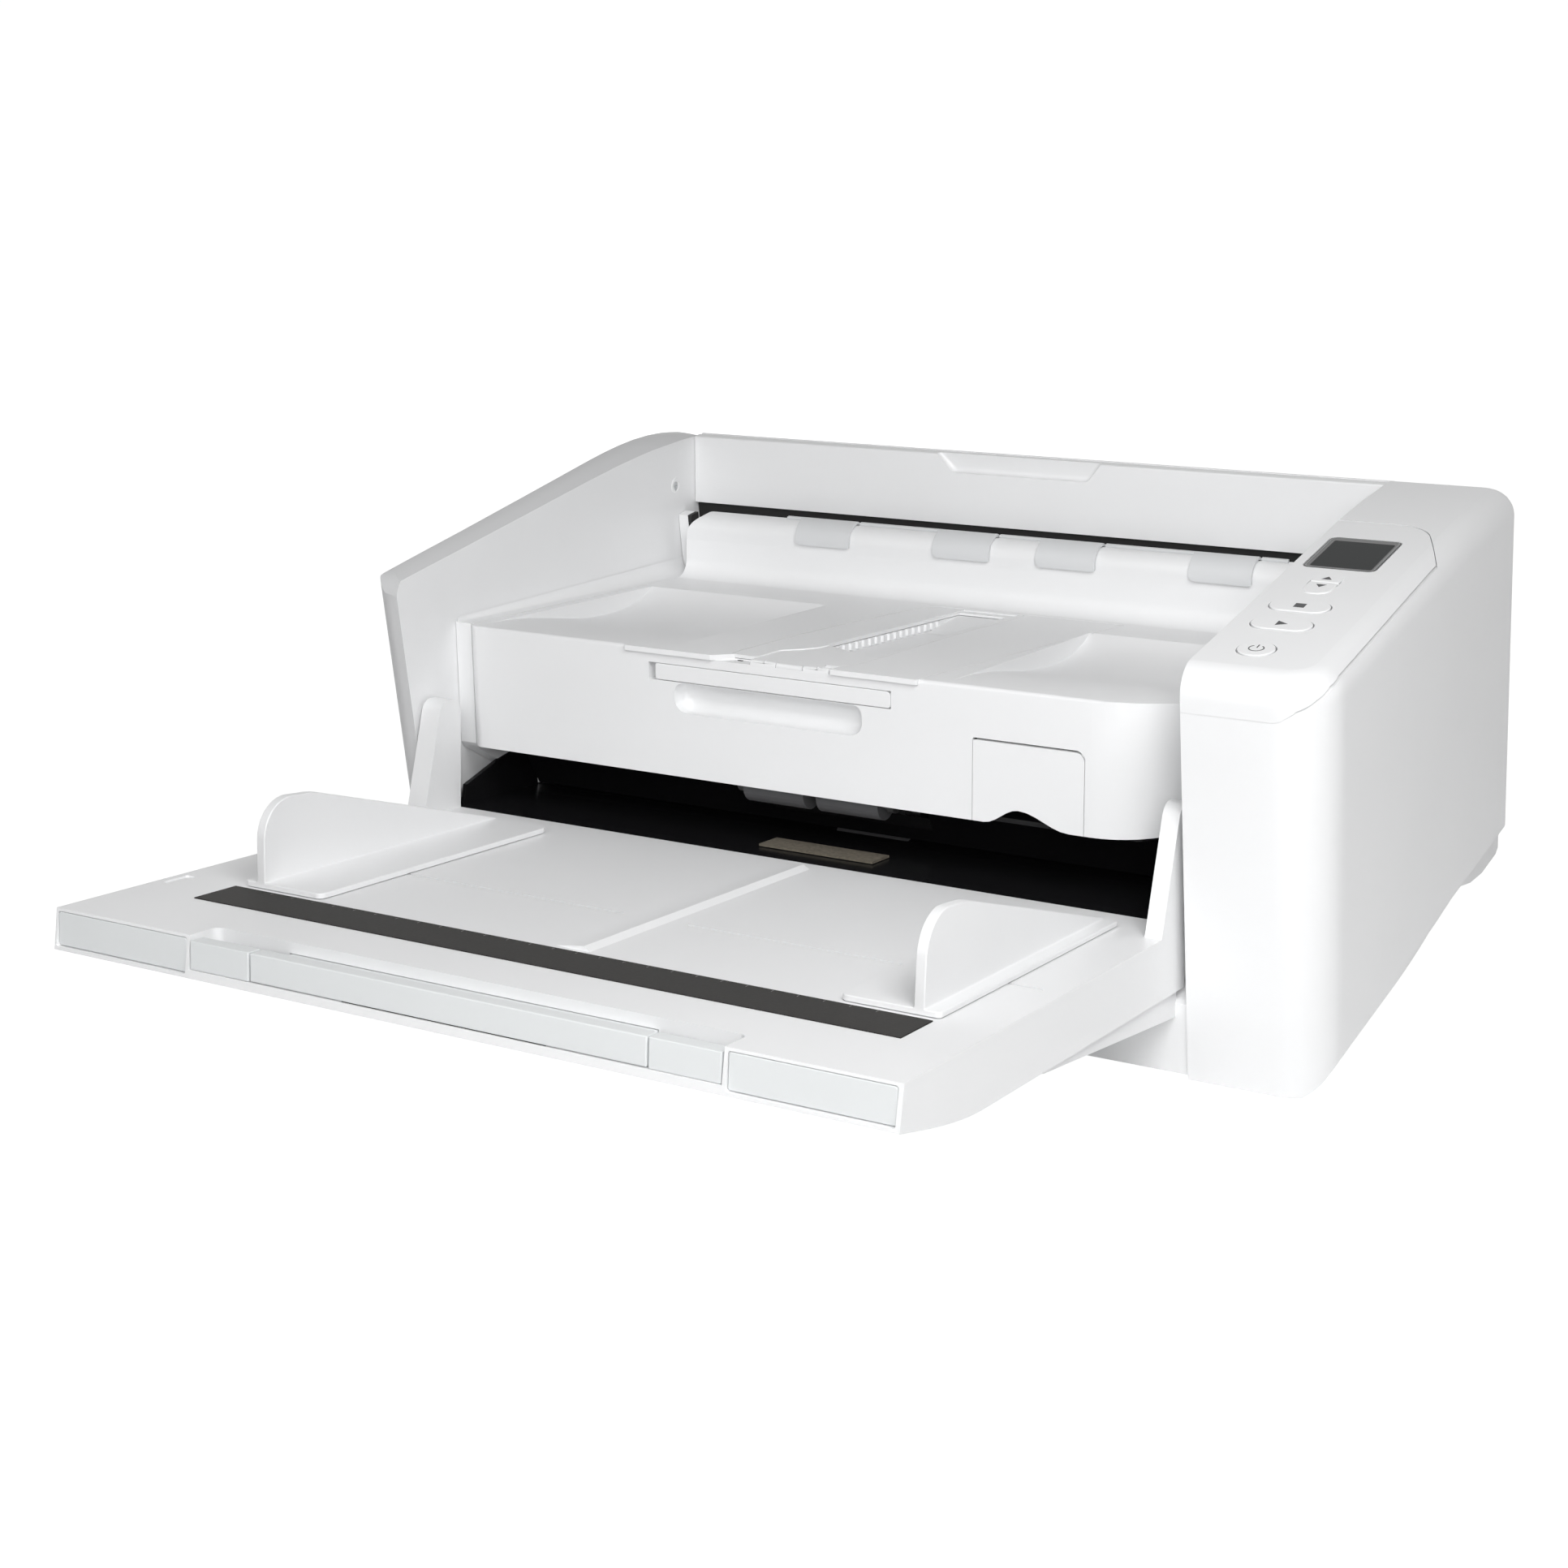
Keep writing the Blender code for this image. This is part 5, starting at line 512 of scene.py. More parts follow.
def side_body(name, x_range, top, front_radius, rear_radius):
    """A side housing seen from the side: an arched lower edge and a top through (depth, z) points."""
    rise = REAR_BOTTOM - FRONT_FOOT
    points = [(0, FRONT_FOOT)] + [(share * BODY_DEPTH, FRONT_FOOT + height * rise) for share, height in ARCH]
    points += [(BODY_DEPTH, REAR_BOTTOM), (*top[-1], rear_radius), *top[-2:0:-1], (*top[0], front_radius)]
    return prism(name, rounded([(at(depth), *rest) for depth, *rest in points]), "X", *x_range)


def trim(piece, front, plan):
    """Keeps what lies inside a front outline and a plan outline."""
    combine(piece, prism("front", rounded(front), "Y", at(-OVERRUN), at(BODY_DEPTH + OVERRUN)), "INTERSECT")
    return combine(piece, prism("plan", rounded(plan), "Z", -OVERRUN, 0.2), "INTERSECT")


def skid(x_range):
    """The curved support under the rear of a side housing."""
    return prism("skid", [(at(0.160 + 0.0905 * share), 0.0195 * rise) for share, rise in SKID_SHARES], "X", *x_range)


def pin_holes(piece, x_range, holes):
    cut(piece, *(rod("hole", "X", (at(depth), z), radius, *x_range) for depth, z, radius in holes))


def build_panel(width):
    """The left housing, whose top rises from its inner edge to a round outer crest."""
    outer, inner = (corner.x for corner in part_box("left_side_panel"))
    panel = side_body("left_side_panel_finish", (outer, inner), PANEL_CREST, 0.0110, 0.0140)
    rings = []
    for index in range(45):
        depth = -0.0100 + 0.0063 * index
        low, high = height_on(PANEL_RIM, depth), height_on(PANEL_CREST, depth)
        ring = [(outer, -0.01), (inner, -0.01)]
        for step in range(17):
            share = step / 16
            z = low + (high - low) * sin(pi / 2 * min(1, share / CREST_SHARE))
            if share > CREST_SHARE:
                z -= CREST_DROP * (1 - sqrt(max(0, 1 - ((share - CREST_SHARE) / (1 - CREST_SHARE)) ** 2)))
            ring.append((inner + (outer - inner) * share, z))
        rings.append([(x, at(depth), z) for x, z in ring])
    combine(panel, loft("crest", rings), "INTERSECT")
    trim(panel, [(outer, 0, 0.0110), (inner, 0), (inner, 0.2), (outer, 0.2)],
         [(outer, at(0), 0.0095), (inner, at(0)), (inner, at(BODY_DEPTH)), (outer, at(BODY_DEPTH), 0.0100)])
    middle = (outer + inner) / 2
    cut(panel, block("hollow", (middle - 0.0036, middle + 0.0036), (at(0.009), at(0.238)), (-OVERRUN, 0.150)))
    join(panel, skid((-SKID_X[1], -SKID_X[0])))
    pin_holes(panel, (middle, inner + OVERRUN), ((0.222, 0.149, 0.0022), (*PIVOT, 0.0025), (*HINGE, 0.0025),
                                                 (0.2500, 0.1240, 0.0033)))
    detailed(panel, "shell_plastic", "body", width, 3, ("left_side_panel",))
    # Painted shade: every face but the inner wall gets the darker outer plastic, which stands for the shade on faces
    # turned away from the lamps.
    panel.data.materials.append(bpy.data.materials["outer_plastic"])
    for face in panel.data.polygons:
        face.material_index = int(face.normal.x < 0.9)


def height_on(line, depth):
    for (near, low), (far, high) in zip(line, line[1:]):
        if depth <= far:
            return low + (high - low) * (depth - near) / (far - near)
    return line[-1][1]


def tower_block(name):
    """The right housing with its cap, whose top is rounded all the way round its outer corners."""
    inner, outer = (corner.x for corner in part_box("right_side_housing"))
    rings = []
    for step in range(-1, 13):
        turn = radians(7.2) * min(max(step, 0), 12)
        inset = TOWER_ROUND * (1 - cos(turn))
        side = [(outer - inset, at(depth)) for depth in TOWER_STATIONS]
        plan = rounded([(inner, at(inset)), (outer - inset, at(inset), 0.0200 - inset), *side,
                        (outer - inset, at(BODY_DEPTH - inset), 0.0150 - inset), (inner, at(BODY_DEPTH - inset))])
        drop = TOWER_ROUND * (1 - sin(turn))
        rings.append([(x, y, height_on(TOWER_TOP, y - FRONT_Y) - drop if step >= 0 else -0.01) for x, y in plan])
    rings.append([(x, y, 0.2) for x, y, z in rings[-1]])
    piece = combine(side_body(name, (inner, outer), TOWER_TOP, 0, 0), loft("dome", rings), "INTERSECT")
    front = [(inner, 0), (outer, 0, 0.0190), (outer, 0.2), (inner, 0.2)]
    combine(piece, prism("front", rounded(front), "Y", at(-OVERRUN), at(BODY_DEPTH + OVERRUN)), "INTERSECT")
    upper = block("upper", (inner + 0.003, outer - 0.0130), (at(0.0140), at(0.2350)), (0.10, 0.1650))
    lower = block("lower", (inner + 0.003, outer - 0.0075), (at(0.0075), at(0.2440)), (0.0220, 0.1560))
    return cut(piece, upper, lower)


def cap_space(lift):
    """The space over the seam between the tower and its cap."""
    inner, outer = (corner.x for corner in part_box("right_side_housing"))
    seam = [(-OVERRUN, SEAM[0][1]), *SEAM, (BODY_DEPTH, SEAM[-1][1])]
    side = [(at(depth), z + lift) for depth, z in seam] + [(at(BODY_DEPTH), 0.2), (at(-OVERRUN), 0.2)]
    space = prism("space", side, "X", inner - OVERRUN, outer + OVERRUN)
    rear, side_end, near = at(0.1755 - lift), at(0.1310 - lift), at(-OVERRUN * 2)
    left, right = inner - OVERRUN * 2, outer + OVERRUN * 2
    plan = rounded([(left, near), (right, near), (right, side_end), (outer, side_end), (outer - 0.0180, rear, 0.0180),
                    (left, rear)])
    return combine(space, prism("plan", plan, "Z", 0, 0.3), "INTERSECT")


def build_tower(width):
    plastic = "shell_plastic"
    inner, outer = (corner.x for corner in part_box("right_side_housing"))
    housing = cut(tower_block("right_side_housing_finish"), cap_space(0))
    join(housing, skid(SKID_X))
    pin_holes(housing, (inner - OVERRUN, inner + 0.0033), ((*PIVOT, 0.0025), (*HINGE, 0.0025), (0.145, 0.0412, 0.0033),
                                                           (0.2500, 0.1240, 0.0033)))
    for name in BUTTONS:
        low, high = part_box(name)
        cut(housing, block("room", (low.x - 0.001, high.x + 0.001), (low.y - 0.001, high.y + 0.001), (0.15, 0.2)))
    detailed(housing, plastic, "body", width, 2, ("right_side_housing",))
    holes = outlines_of_controls()
    display = rounded([(0.1611, 0.1168, 0.0033), (0.1909, 0.1168, 0.0033), (0.1909, 0.1548, 0.0033),
                       (0.1611, 0.1548, 0.0033)])
    cap = combine(tower_block("control_panel_cap_finish"), cap_space(SEAM_GAP), "INTERSECT")
    for outline, sink in [(display, 0.0015)] + [(outline, OVERRUN) for outline in holes.values()]:
        cut(cap, prism("hole", outline, "Z", -sink, OVERRUN, CONTROL_FRAME))
    detailed(cap, plastic, "body", width, 2, ("control_panel_cap",))


def build_cheek(name, side, width):
    """A fixed cheek, whose top sweeps up to the wall of the side housing, more so towards the rear."""
    low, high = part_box(name)
    wall, inner = (low.x, COVER_X[0] - CLEARANCE / 2) if side > 0 else (high.x, COVER_X[1] + CLEARANCE / 2)
    near, far = COVER_LOW[0] + 0.0035, 0.2205
    outline = [(near, COVER_LOW[1]), (COVER_TOP[0] + 0.0035, COVER_TOP[1] - 0.0004), (far, top_z(far)), (far, 0.049),
               (0.072, 0.049), (near + 0.002, COVER_LOW[1] - 0.0035)]
    cheek = prism(name + "_finish", [(at(depth), z) for depth, z in outline], "X", *sorted((wall, inner)))
    cut(cheek, block("room", sorted((inner - side * 0.0023, inner + side * OVERRUN)), (at(-OVERRUN), at(0.0718)),
                     (0, 0.0718)))
    rings = []
    for step in range(13):
        share = step / 12
        reach = 0.0022 + 0.0056 * share
        turns = [pi / 2 * index / 8 for index in range(9)]
        ring = [(wall, -0.008), (inner, -0.008), (inner, 0)]
        ring += [(wall + side * reach * (1 - sin(turn)), reach * (1 - cos(turn))) for turn in turns]
        rings.append([(x, 0.0050 + 0.1845 * share, z) for x, z in ring])
    join(cheek, place(loft("sweep", rings), TOP_FRAME))
    gap = inner - side * 0.0028
    for part, made, ends in (("plate", "shell_plastic", (wall, gap)),
                             ("gap", "black_plastic", (gap, inner - side * 0.0008))):
        plate = block(name.split("_")[0] + "_hinge_" + part, sorted(ends), (at(0.2215), at(0.2285)), (0.0860, 0.1345))
        detailed(plate, made, "body", 0.0002, 2)
    detailed(cheek, "shell_plastic", "body", width, 2, (name,))


def build_wall(width):
    """The wall behind the eject flaps, with a rounded finger recess in its top edge."""
    low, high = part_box("eject_wall")
    outline = rounded([(at(0.2380), low.z), (at(0.2430), high.z, 0.0010), (high.y, high.z, 0.0016), (high.y, low.z)])
    wall = prism("eject_wall_finish", outline, "X", low.x, high.x)
    edge, floor = high.z - 0.0002, high.z - 0.0085
    dip = [(-0.0720, high.z + 0.01), (-0.0628, edge, 0.0040), (-0.0548, floor, 0.0048), (0.0150, floor, 0.0048),
           (0.0212, edge, 0.0030), (0.0300, high.z + 0.01)]
    dip = prism("dip", rounded(dip), "Y", at(0.22), at(0.2452))
    round_edges(dip, 0.0020, 4)
    cut(wall, dip)
    detailed(wall, "shell_plastic", "body", width, 2, ("eject_wall",))
    # Painted shade: a black strip at the wall's foot stands for the shade in the gap under the wall.
    shade = block("wall_foot_shade", (low.x, high.x), (at(0.2405), at(0.2425)), (0.1200, 0.1362))
    detailed(shade, "black_plastic", "body", 0.0002, 2)


def build_screw_seats():
    """The countersunk screw in the left housing's inner wall."""
    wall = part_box("left_side_panel")[1].x
    centre = (at(0.222), 0.149)
    ring = rod("wall_screw_seat", "X", centre, 0.0040, wall - 0.0006, wall + 0.00035, sides=40)
    cut(ring, rod("hole", "X", centre, 0.0026, wall - OVERRUN, wall + OVERRUN, sides=40))
    detailed(ring, "shell_plastic", "body", 0.00015, 2)
    head = screw_head(0.0021, 0.0010, 0.0003)
    place(head, Matrix.Translation((wall - 0.0012, *centre)) @ Matrix.Rotation(radians(-90), 4, "Y"))
    head.name = "wall_screw"
    detailed(head, "brushed_steel", "body", 0.0001, 2)


# Upper cover

RECESS_OUTLINE = ((-0.0460, 0.0040), (-0.0130, 0.0040), (-0.0130, 0.0070), (-0.0076, 0.0070, 0.0006),
                  (-0.0035, 0.0150), (-0.0022, 0.0370), (-0.0022, 0.0950), (0.0010, 0.1674, 0.0020),
                  (-0.0450, 0.1674, 0.0040), (-0.0500, 0.1460), (-0.0556, 0.0990), (-0.0584, 0.0530),
                  (-0.0588, 0.0160), (-0.0575, 0.0070, 0.0012), (-0.0460, 0.0070))
WINDOW_OUTLINE = ((-0.0360, 0.0500, 0.0008), (-0.0085, 0.0360, 0.0008), (-0.0072, 0.0950),
                  (-0.0050, 0.1600, 0.0008), (-0.0285, 0.1600, 0.0008))
PLATE_OUTLINE = ((-0.0460, 0.0000), (-0.0130, 0.0000), (-0.0122, 0.0260), (-0.0068, 0.0350), (-0.0040, 0.0950),
                 (-0.0018, 0.1660), (-0.0290, 0.1660), (-0.0350, 0.0530), (-0.0355, 0.0420), (-0.0400, 0.0335),
                 (-0.0460, 0.0265))
RECESS_SINK = 0.0019
STOPPER_SINK = 0.0016
SLOT_SINK = 0.0058
KNUCKLE_SINK = 0.0024
POCKET_CURVE = ((0.05, 0.0), (0.16, 0.04), (0.28, 0.20), (0.40, 0.48), (0.52, 0.78), (0.62, 0.95), (0.72, 1.0),
                (0.80, 0.95), (0.86, 0.84), (0.91, 0.67), (0.95, 0.45), (0.98, 0.20), (1.0, 0.0))
POCKETS = ((-0.1855, -0.0880), (0.0450, 0.1440))
POCKET_LENGTH = 0.141
POCKET_SINK = 0.0085


class SCANNER_OT_cover(bpy.types.Operator):
    """Build the upper cover with its scoops, its stopper and its front bar"""
    bl_idname = "scanner.cover"
    bl_label = "Upper cover"

    def execute(self, context):
        edges = context.scene.scanner_edges
        build_cover(edges)
        build_stopper()
        build_knuckles()
        build_extension(edges)
        dress("cover_release_lever", "shell_plastic", edges.fine, edges.steps)
        return {"FINISHED"}


def top_z(depth):
    return COVER_TOP[1] - (depth - COVER_TOP[0]) * tan(COVER_SLOPE)


def cover_side(inset):
    """The side view of the cover from its front face over the top to its rear, or of the hollow in it."""
    roll_face = ROLL[0] - ROLL_RADIUS
    if inset:
        drop, lean = inset / cos(COVER_SLOPE), inset / cos(COVER_LEAN)
        slip = OVERRUN * tan(COVER_LEAN)
        low = COVER_LOW[1] - OVERRUN
        foot = COVER_FOOT + inset
        points = [(COVER_LOW[0] + lean - slip, low), (COVER_REAR - inset, low), (COVER_REAR - inset, GROOVE_Z - inset),
                  (roll_face + inset, GROOVE_Z - inset), (foot, top_z(foot) - drop),
                  (COVER_TOP[0] + lean, COVER_TOP[1] - drop)]
    else:
        points = [COVER_LOW, (COVER_REAR, COVER_LOW[1]), (COVER_REAR, GROOVE_Z), (BLOCK_BACK, GROOVE_Z),
                  (BLOCK_BACK, ROLL[1] + ROLL_RADIUS, 0.0010), (roll_face, ROLL[1] + ROLL_RADIUS, ROLL_RADIUS * 0.98),
                  (roll_face - 0.0002, ROLL[1] - 0.004), (COVER_FOOT, top_z(COVER_FOOT), 0.0090),
                  (*COVER_TOP, 0.0016)]
    return rounded([(at(point[0]), *point[1:]) for point in points])


def cover_plan(inset):
    """The cover from above, leaning back as its front face does."""
    near, front = at(COVER_LOW[0] - OVERRUN), at(COVER_LOW[0] + inset)
    left, right = COVER_X[0] + COVER_CORNERS[0], COVER_X[1] - COVER_CORNERS[1]
    outline = rounded([(COVER_X[0] + inset, front, (COVER_CORNERS[0] - inset) * 0.98), (left, front), (left, near),
                       (right, near), (right, front), (COVER_X[1] - inset, front, (COVER_CORNERS[1] - inset) * 0.98),
                       (COVER_X[1] - inset, at(0.26)), (COVER_X[0] + inset, at(0.26))])
    lean = Matrix.Identity(4)
    lean[1][2] = tan(COVER_LEAN)
    lean[1][3] = -lean[1][2] * COVER_LOW[1]
    return prism("plan", outline, "Z", 0.02, 0.20, lean)


def scoop(x_range, growth):
    """The hollow in the top that clears a paper guide when the tray is closed."""
    outline = [(share * POCKET_LENGTH, -depth * POCKET_SINK - growth) for share, depth in POCKET_CURVE]
    outline += [(outline[-1][0] + growth, OVERRUN), (outline[0][0] - growth, OVERRUN)]
    return prism("scoop", outline, "X", x_range[0] - growth, x_range[1] + growth, TOP_FRAME)


def grip(growth):
    """The rounded hollow for the fingers under the front bar."""
    low, high = 0.0280 - growth, 0.0410 + growth
    tool = prism("grip", rounded([(-0.0825 - growth, low, 0.0060), (0.0074 + growth, low, 0.0060),
                                  (0.0074 + growth, high), (-0.0825 - growth, high)]),
                 "Y", -OVERRUN, 0.0080 + growth)
    if growth == 0:
        round_edges(tool, 0.0046, 6)
    return place(tool, FACE_FRAME)


def niche(growth):
    return block("niche", (-0.0950 - growth, 0.0206 + growth), (-OVERRUN, 0.0051 + growth),
                 (0.0411 - growth, 0.0486 + growth), FACE_FRAME)


def recess(outline, sink, name="recess"):
    return prism(name, rounded(outline), "Z", -sink, OVERRUN, TOP_FRAME)


def lever_opening():
    hole = prism("opening", rounded([(0.0569, -OVERRUN), (0.1053, -OVERRUN), (0.1053, 0.0341, 0.0040),
                                     (0.0569, 0.0341, 0.0010)]), "Y", -OVERRUN, 0.0050)
    join(hole, rod("seat", "X", (0.0018, 0.0320), 0.0012, 0.0549, 0.1073))
    return place(hole, FACE_FRAME)


def build_cover(edges):
    shell = prism("top_cover_finish", cover_side(0), "X", *COVER_X)
    combine(shell, cover_plan(0), "INTERSECT")
    crest = ROLL[1] + ROLL_RADIUS
    end, below, within = COVER_X[0], crest - BLOCK_END_RADIUS - 0.001, COVER_X[0] + BLOCK_END_RADIUS + 0.001
    corner = rounded([(end - 0.001, crest + 0.002), (end - 0.001, below), (end, below), (end, crest, BLOCK_END_RADIUS),
                      (within, crest), (within, crest + 0.002)])
    cut(shell, prism("corner", corner, "Y", at(0.195), at(0.245)),
        block("channel", CHANNEL_X, (at(0.2232), at(0.2300)), (GROOVE_Z, 0.15)))
    hollow = prism("hollow", cover_side(SKIN), "X", COVER_X[0] + SKIN, COVER_X[1] - SKIN)
    combine(hollow, cover_plan(SKIN), "INTERSECT")
    cut(hollow, *(scoop(x_range, SKIN) for x_range in POCKETS), grip(SKIN), niche(0.002),
        block("well", (-0.0400, -0.0010), (0.0330, 0.1630), (-SLOT_SINK - 0.002, OVERRUN), TOP_FRAME),
        block("end", (COVER_X[0] - 0.001, COVER_X[0] + BLOCK_END_RADIUS + SKIN), (at(0.190), at(0.245)),
              (0.112, 0.14)),
        block("front", (-0.0700, 0.0000), (-0.010, 0.0100), (-KNUCKLE_SINK - SKIN, OVERRUN), TOP_FRAME))
    cut(shell, hollow)
    lip = prism("lip", rounded([(-0.1067, 0.0030), (-0.1067, -0.0014, 0.0008), (0.0330, -0.0014, 0.0008),
                                (0.0330, 0.0030)]), "Z", -0.0022, 0, TOP_FRAME)
    join(shell, lip)
    notch = [(-0.0065, -0.0100), (-0.0065, 0.0072), (-0.0560, 0.0072, 0.0030), (-0.0640, -0.0022, 0.0050),
             (-0.0740, -0.0022), (-0.0740, -0.0100)]
    grown = [(x + (0.0006 if x > -0.03 else -0.0006), s + (0.0005 if s > 0.08 else -0.0003), *rest)
             for x, s, *rest in RECESS_OUTLINE]
    cut(shell, *(scoop(x_range, 0) for x_range in POCKETS), recess(notch, KNUCKLE_SINK), recess(grown, RECESS_SINK),
        recess(WINDOW_OUTLINE, SLOT_SINK), grip(0), niche(0), lever_opening(),
        block("slide", (-0.0823, 0.0083), (-OVERRUN, 0.0100), (-0.0113, -0.0083), TOP_FRAME))
    seam = prism("seam", [(0.0320, -0.0030), (0.0324, -0.0030), (0.0409, 0.0810), (0.0494, 0.1690), (0.0494, 0.1694),
                          (0.0020, 0.1694), (0.0020, 0.1690), (0.0490, 0.1690), (0.0405, 0.0810)],
                 "Z", -0.0005, OVERRUN, TOP_FRAME)
    cut(shell, seam)
    for low, high in ((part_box("top_cover")[0].x, COVER_X[0] + 0.006), (COVER_X[1] - 0.006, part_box("top_cover")[1].x)):
        join(shell, rod("pin", "X", (at(HINGE[0]), HINGE[1]), HINGE_PIN_RADIUS, low, high))
    detailed(shell, "shell_plastic", "cover", edges.fine, 2, nodes=("top_cover",))
    ramp = prism("window_ramp", [(0.1280, -SLOT_SINK + 0.0001), (0.1596, -SLOT_SINK + 0.0001), (0.1596, -0.0019)],
                 "X", -0.0292, -0.0054, TOP_FRAME)
    detailed(ramp, "shell_plastic", "cover", 0.0002, 2)
    for index, (low, high) in enumerate(((-0.1372, -0.1276), (-0.0968, -0.0534), (-0.0226, -0.0001),
                                         (0.0308, 0.0746), (0.1054, 0.1176))):
        strip = block(f"channel_strip_{index + 1}", (low, high), (at(0.2238), at(0.2258)), (GROOVE_Z - 0.0005, 0.1374))
        detailed(strip, "flap_plastic", "cover", 0.0002, 2)
    tooth = block("tooth", (0, 0.0012), (0, 0.0026), (-0.0050, -0.0020))
    slant = (0.0075 / 0.110) * 0.0052
    teeth = row("window_teeth", tooth, 17, (-0.0357, 0.0560, 0), (slant, 0.0052, 0),
                "shell_plastic", TOP_FRAME)
    detailed(teeth, "shell_plastic", "cover", 0.0001, 1)


def build_stopper():
    """The long flap in the top: a plate with a bevelled strip along its left side and a window."""
    stopper = prism("eject_stopper_finish", rounded(RECESS_OUTLINE), "Z", -STOPPER_SINK, -0.0001)
    plate = prism("plate", PLATE_OUTLINE, "Z", -0.0006, OVERRUN)
    cut(stopper, plate, prism("window", rounded(WINDOW_OUTLINE), "Z", -OVERRUN, OVERRUN))
    side = rounded([(0.0000, -0.0030, 0.0010), (0.0070, -0.0020), (0.0070, -0.0007), (0.0000, -0.0004, 0.0010)])
    arm = prism("arm", side, "X", -0.0325, -0.0205)
    join(stopper, arm)
    detailed(place(stopper, TOP_FRAME), "shell_plastic", "eject_stopper", 0.0002, 2,
             ("eject_stopper",))


def build_knuckles():
    """The hinge of the stopper, in the notch at the front of the top."""
    plastic = "shell_plastic"
    for name, low, high in (("left_knuckle", -0.0450, -0.0330), ("right_knuckle", -0.0200, -0.0080)):
        side = rounded([(0.0002, -0.0026), (0.0035, -0.0026), (0.0035, -0.0003, 0.0008), (0.0002, -0.0003, 0.0014)])
        knuckle = prism(name, side, "X", low, high, TOP_FRAME)
        cut(knuckle, block("slit", (low + 0.0060, low + 0.0068), (-0.001, 0.0025), (-0.0012, 0.001), TOP_FRAME))
        detailed(knuckle, plastic, "cover", 0.0002, 2)
    pin = rod("stopper_pin", "X", (0.0018, -0.0018), 0.0007, -0.0330, -0.0200, TOP_FRAME, 16)
    detailed(pin, "brushed_steel", "cover", 0.0001, 1)
    # Painted shade: two thin black sheets on the floor of the notch stand for the shade inside the slits at its ends.
    for index, x in enumerate((-0.0530, -0.0070)):
        slit = block(f"notch_slit_{index + 1}", (x - 0.0012, x + 0.0012), (0.0052, 0.0064), (-0.00245, -0.0022),
                     TOP_FRAME)
        detailed(slit, "black_plastic", "cover", 0.0001, 1)


def build_extension(edges):
    """The pull-out bar under the lip of the cover, with its sliding plate."""
    bar = prism("eject_extension_finish", rounded([(-0.0918, 0.0414, 0.0012), (0.0203, 0.0414, 0.0012),
                                                   (0.0203, 0.0483, 0.0022), (-0.0918, 0.0483, 0.0012)]),
                "Y", 0.0000, 0.0048, FACE_FRAME)
    sheet = block("sheet", (-0.0820, 0.0080), (0.0020, 0.125), (-0.0110, -0.0086), TOP_FRAME)
    join(bar, sheet)
    detailed(bar, "shell_plastic", "eject_extension", edges.fine, 3, ("eject_extension",))


# Rear of the cover

class SCANNER_OT_flaps(bpy.types.Operator):
    """Build the four eject flaps and paint their shaft and the exit roller"""
    bl_idname = "scanner.flaps"
    bl_label = "Eject flaps"

    def execute(self, context):
        edges = context.scene.scanner_edges
        for index in range(1, 5):
            build_flap(index, edges.fine)
        repaint("flap_shaft", "brushed_steel")
        repaint("exit_roller", "grey_rubber")
        return {"FINISHED"}


def build_flap(index, width):
    """A flap that curls over the rolled edge, with its lower corners rounded."""
    name = f"eject_flap_{index}"
    low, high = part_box(name)
    turns = [radians(38) + step * radians(148) / 24 for step in range(25)]
    reaches = [0.0098 - 0.0012 * min(1, max(0, (radians(84) - turn) / radians(26))) for turn in turns]
    ring = [(at(ROLL[0]) + reach * cos(turn), ROLL[1] + reach * sin(turn)) for turn, reach in zip(turns, reaches)]
    inside = [(at(ROLL[0]) + (reach - 0.0014) * cos(turn), ROLL[1] + (reach - 0.0014) * sin(turn))
              for turn, reach in zip(reversed(turns), reversed(reaches))]
    flap = prism(name + "_finish", ring + inside, "X", low.x, high.x)
    foot = ROLL[1] - 0.0010
    corners = prism("corners", rounded([(low.x, foot, 0.0030), (high.x, foot, 0.0012), (high.x, 0.2), (low.x, 0.2)]),
                    "Y", at(0.19), at(0.25))
    combine(flap, corners, "INTERSECT")
    pivot = (at(0.231), 0.1305)
    join(flap, rod("boss", "X", pivot, 0.0028, low.x, high.x))
    cut(flap, rod("bore", "X", pivot, 0.0017, low.x - OVERRUN, high.x + OVERRUN))
    detailed(flap, "flap_plastic", name, width, 2, nodes=(name,))


# Feed tray

TRAY_X = (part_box("size_strip")[0].x - 0.0301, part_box("size_strip")[1].x + 0.0223)
TRAY_DROP = 0.0425
TRAY_DEEP = 0.024
TRAY_REAR = 0.0071
TRAY_FRONT = 0.2231
TRAY_FLAT = 0.165
TRAY_WALL = 0.003
PAPER_X = -0.01575


class SCANNER_OT_tray(bpy.types.Operator):
    """Build the feed tray, its extension, its paper guides and the size strip"""
    bl_idname = "scanner.tray"
    bl_label = "Feed tray"

    def execute(self, context):
        edges = context.scene.scanner_edges
        build_tray(edges)
        build_tray_bar(edges)
        build_guide("left_guide", -1, edges.small)
        build_guide("right_guide", 1, edges.small)
        dress("tray_bottom", "inner_plastic", edges.small, edges.steps)
        build_strip()
        for name in ("left_rack", "right_rack", "guide_pinion"):
            repaint(name, "inner_plastic")
        build_tray_screws()
        return {"FINISHED"}


def on_tray(name, outline, heights):
    """A shape drawn on the tray as (x, distance from the pivot), between two heights over its surface."""
    points = [(point[0], -point[1], *point[2:]) for point in outline]
    return prism(name, rounded(points), "Z", heights[0] - TRAY_DROP, heights[1] - TRAY_DROP, TRAY_FRAME)


def tray_block(name, x_range, along, heights):
    return on_tray(name, rectangle(x_range, along), heights)


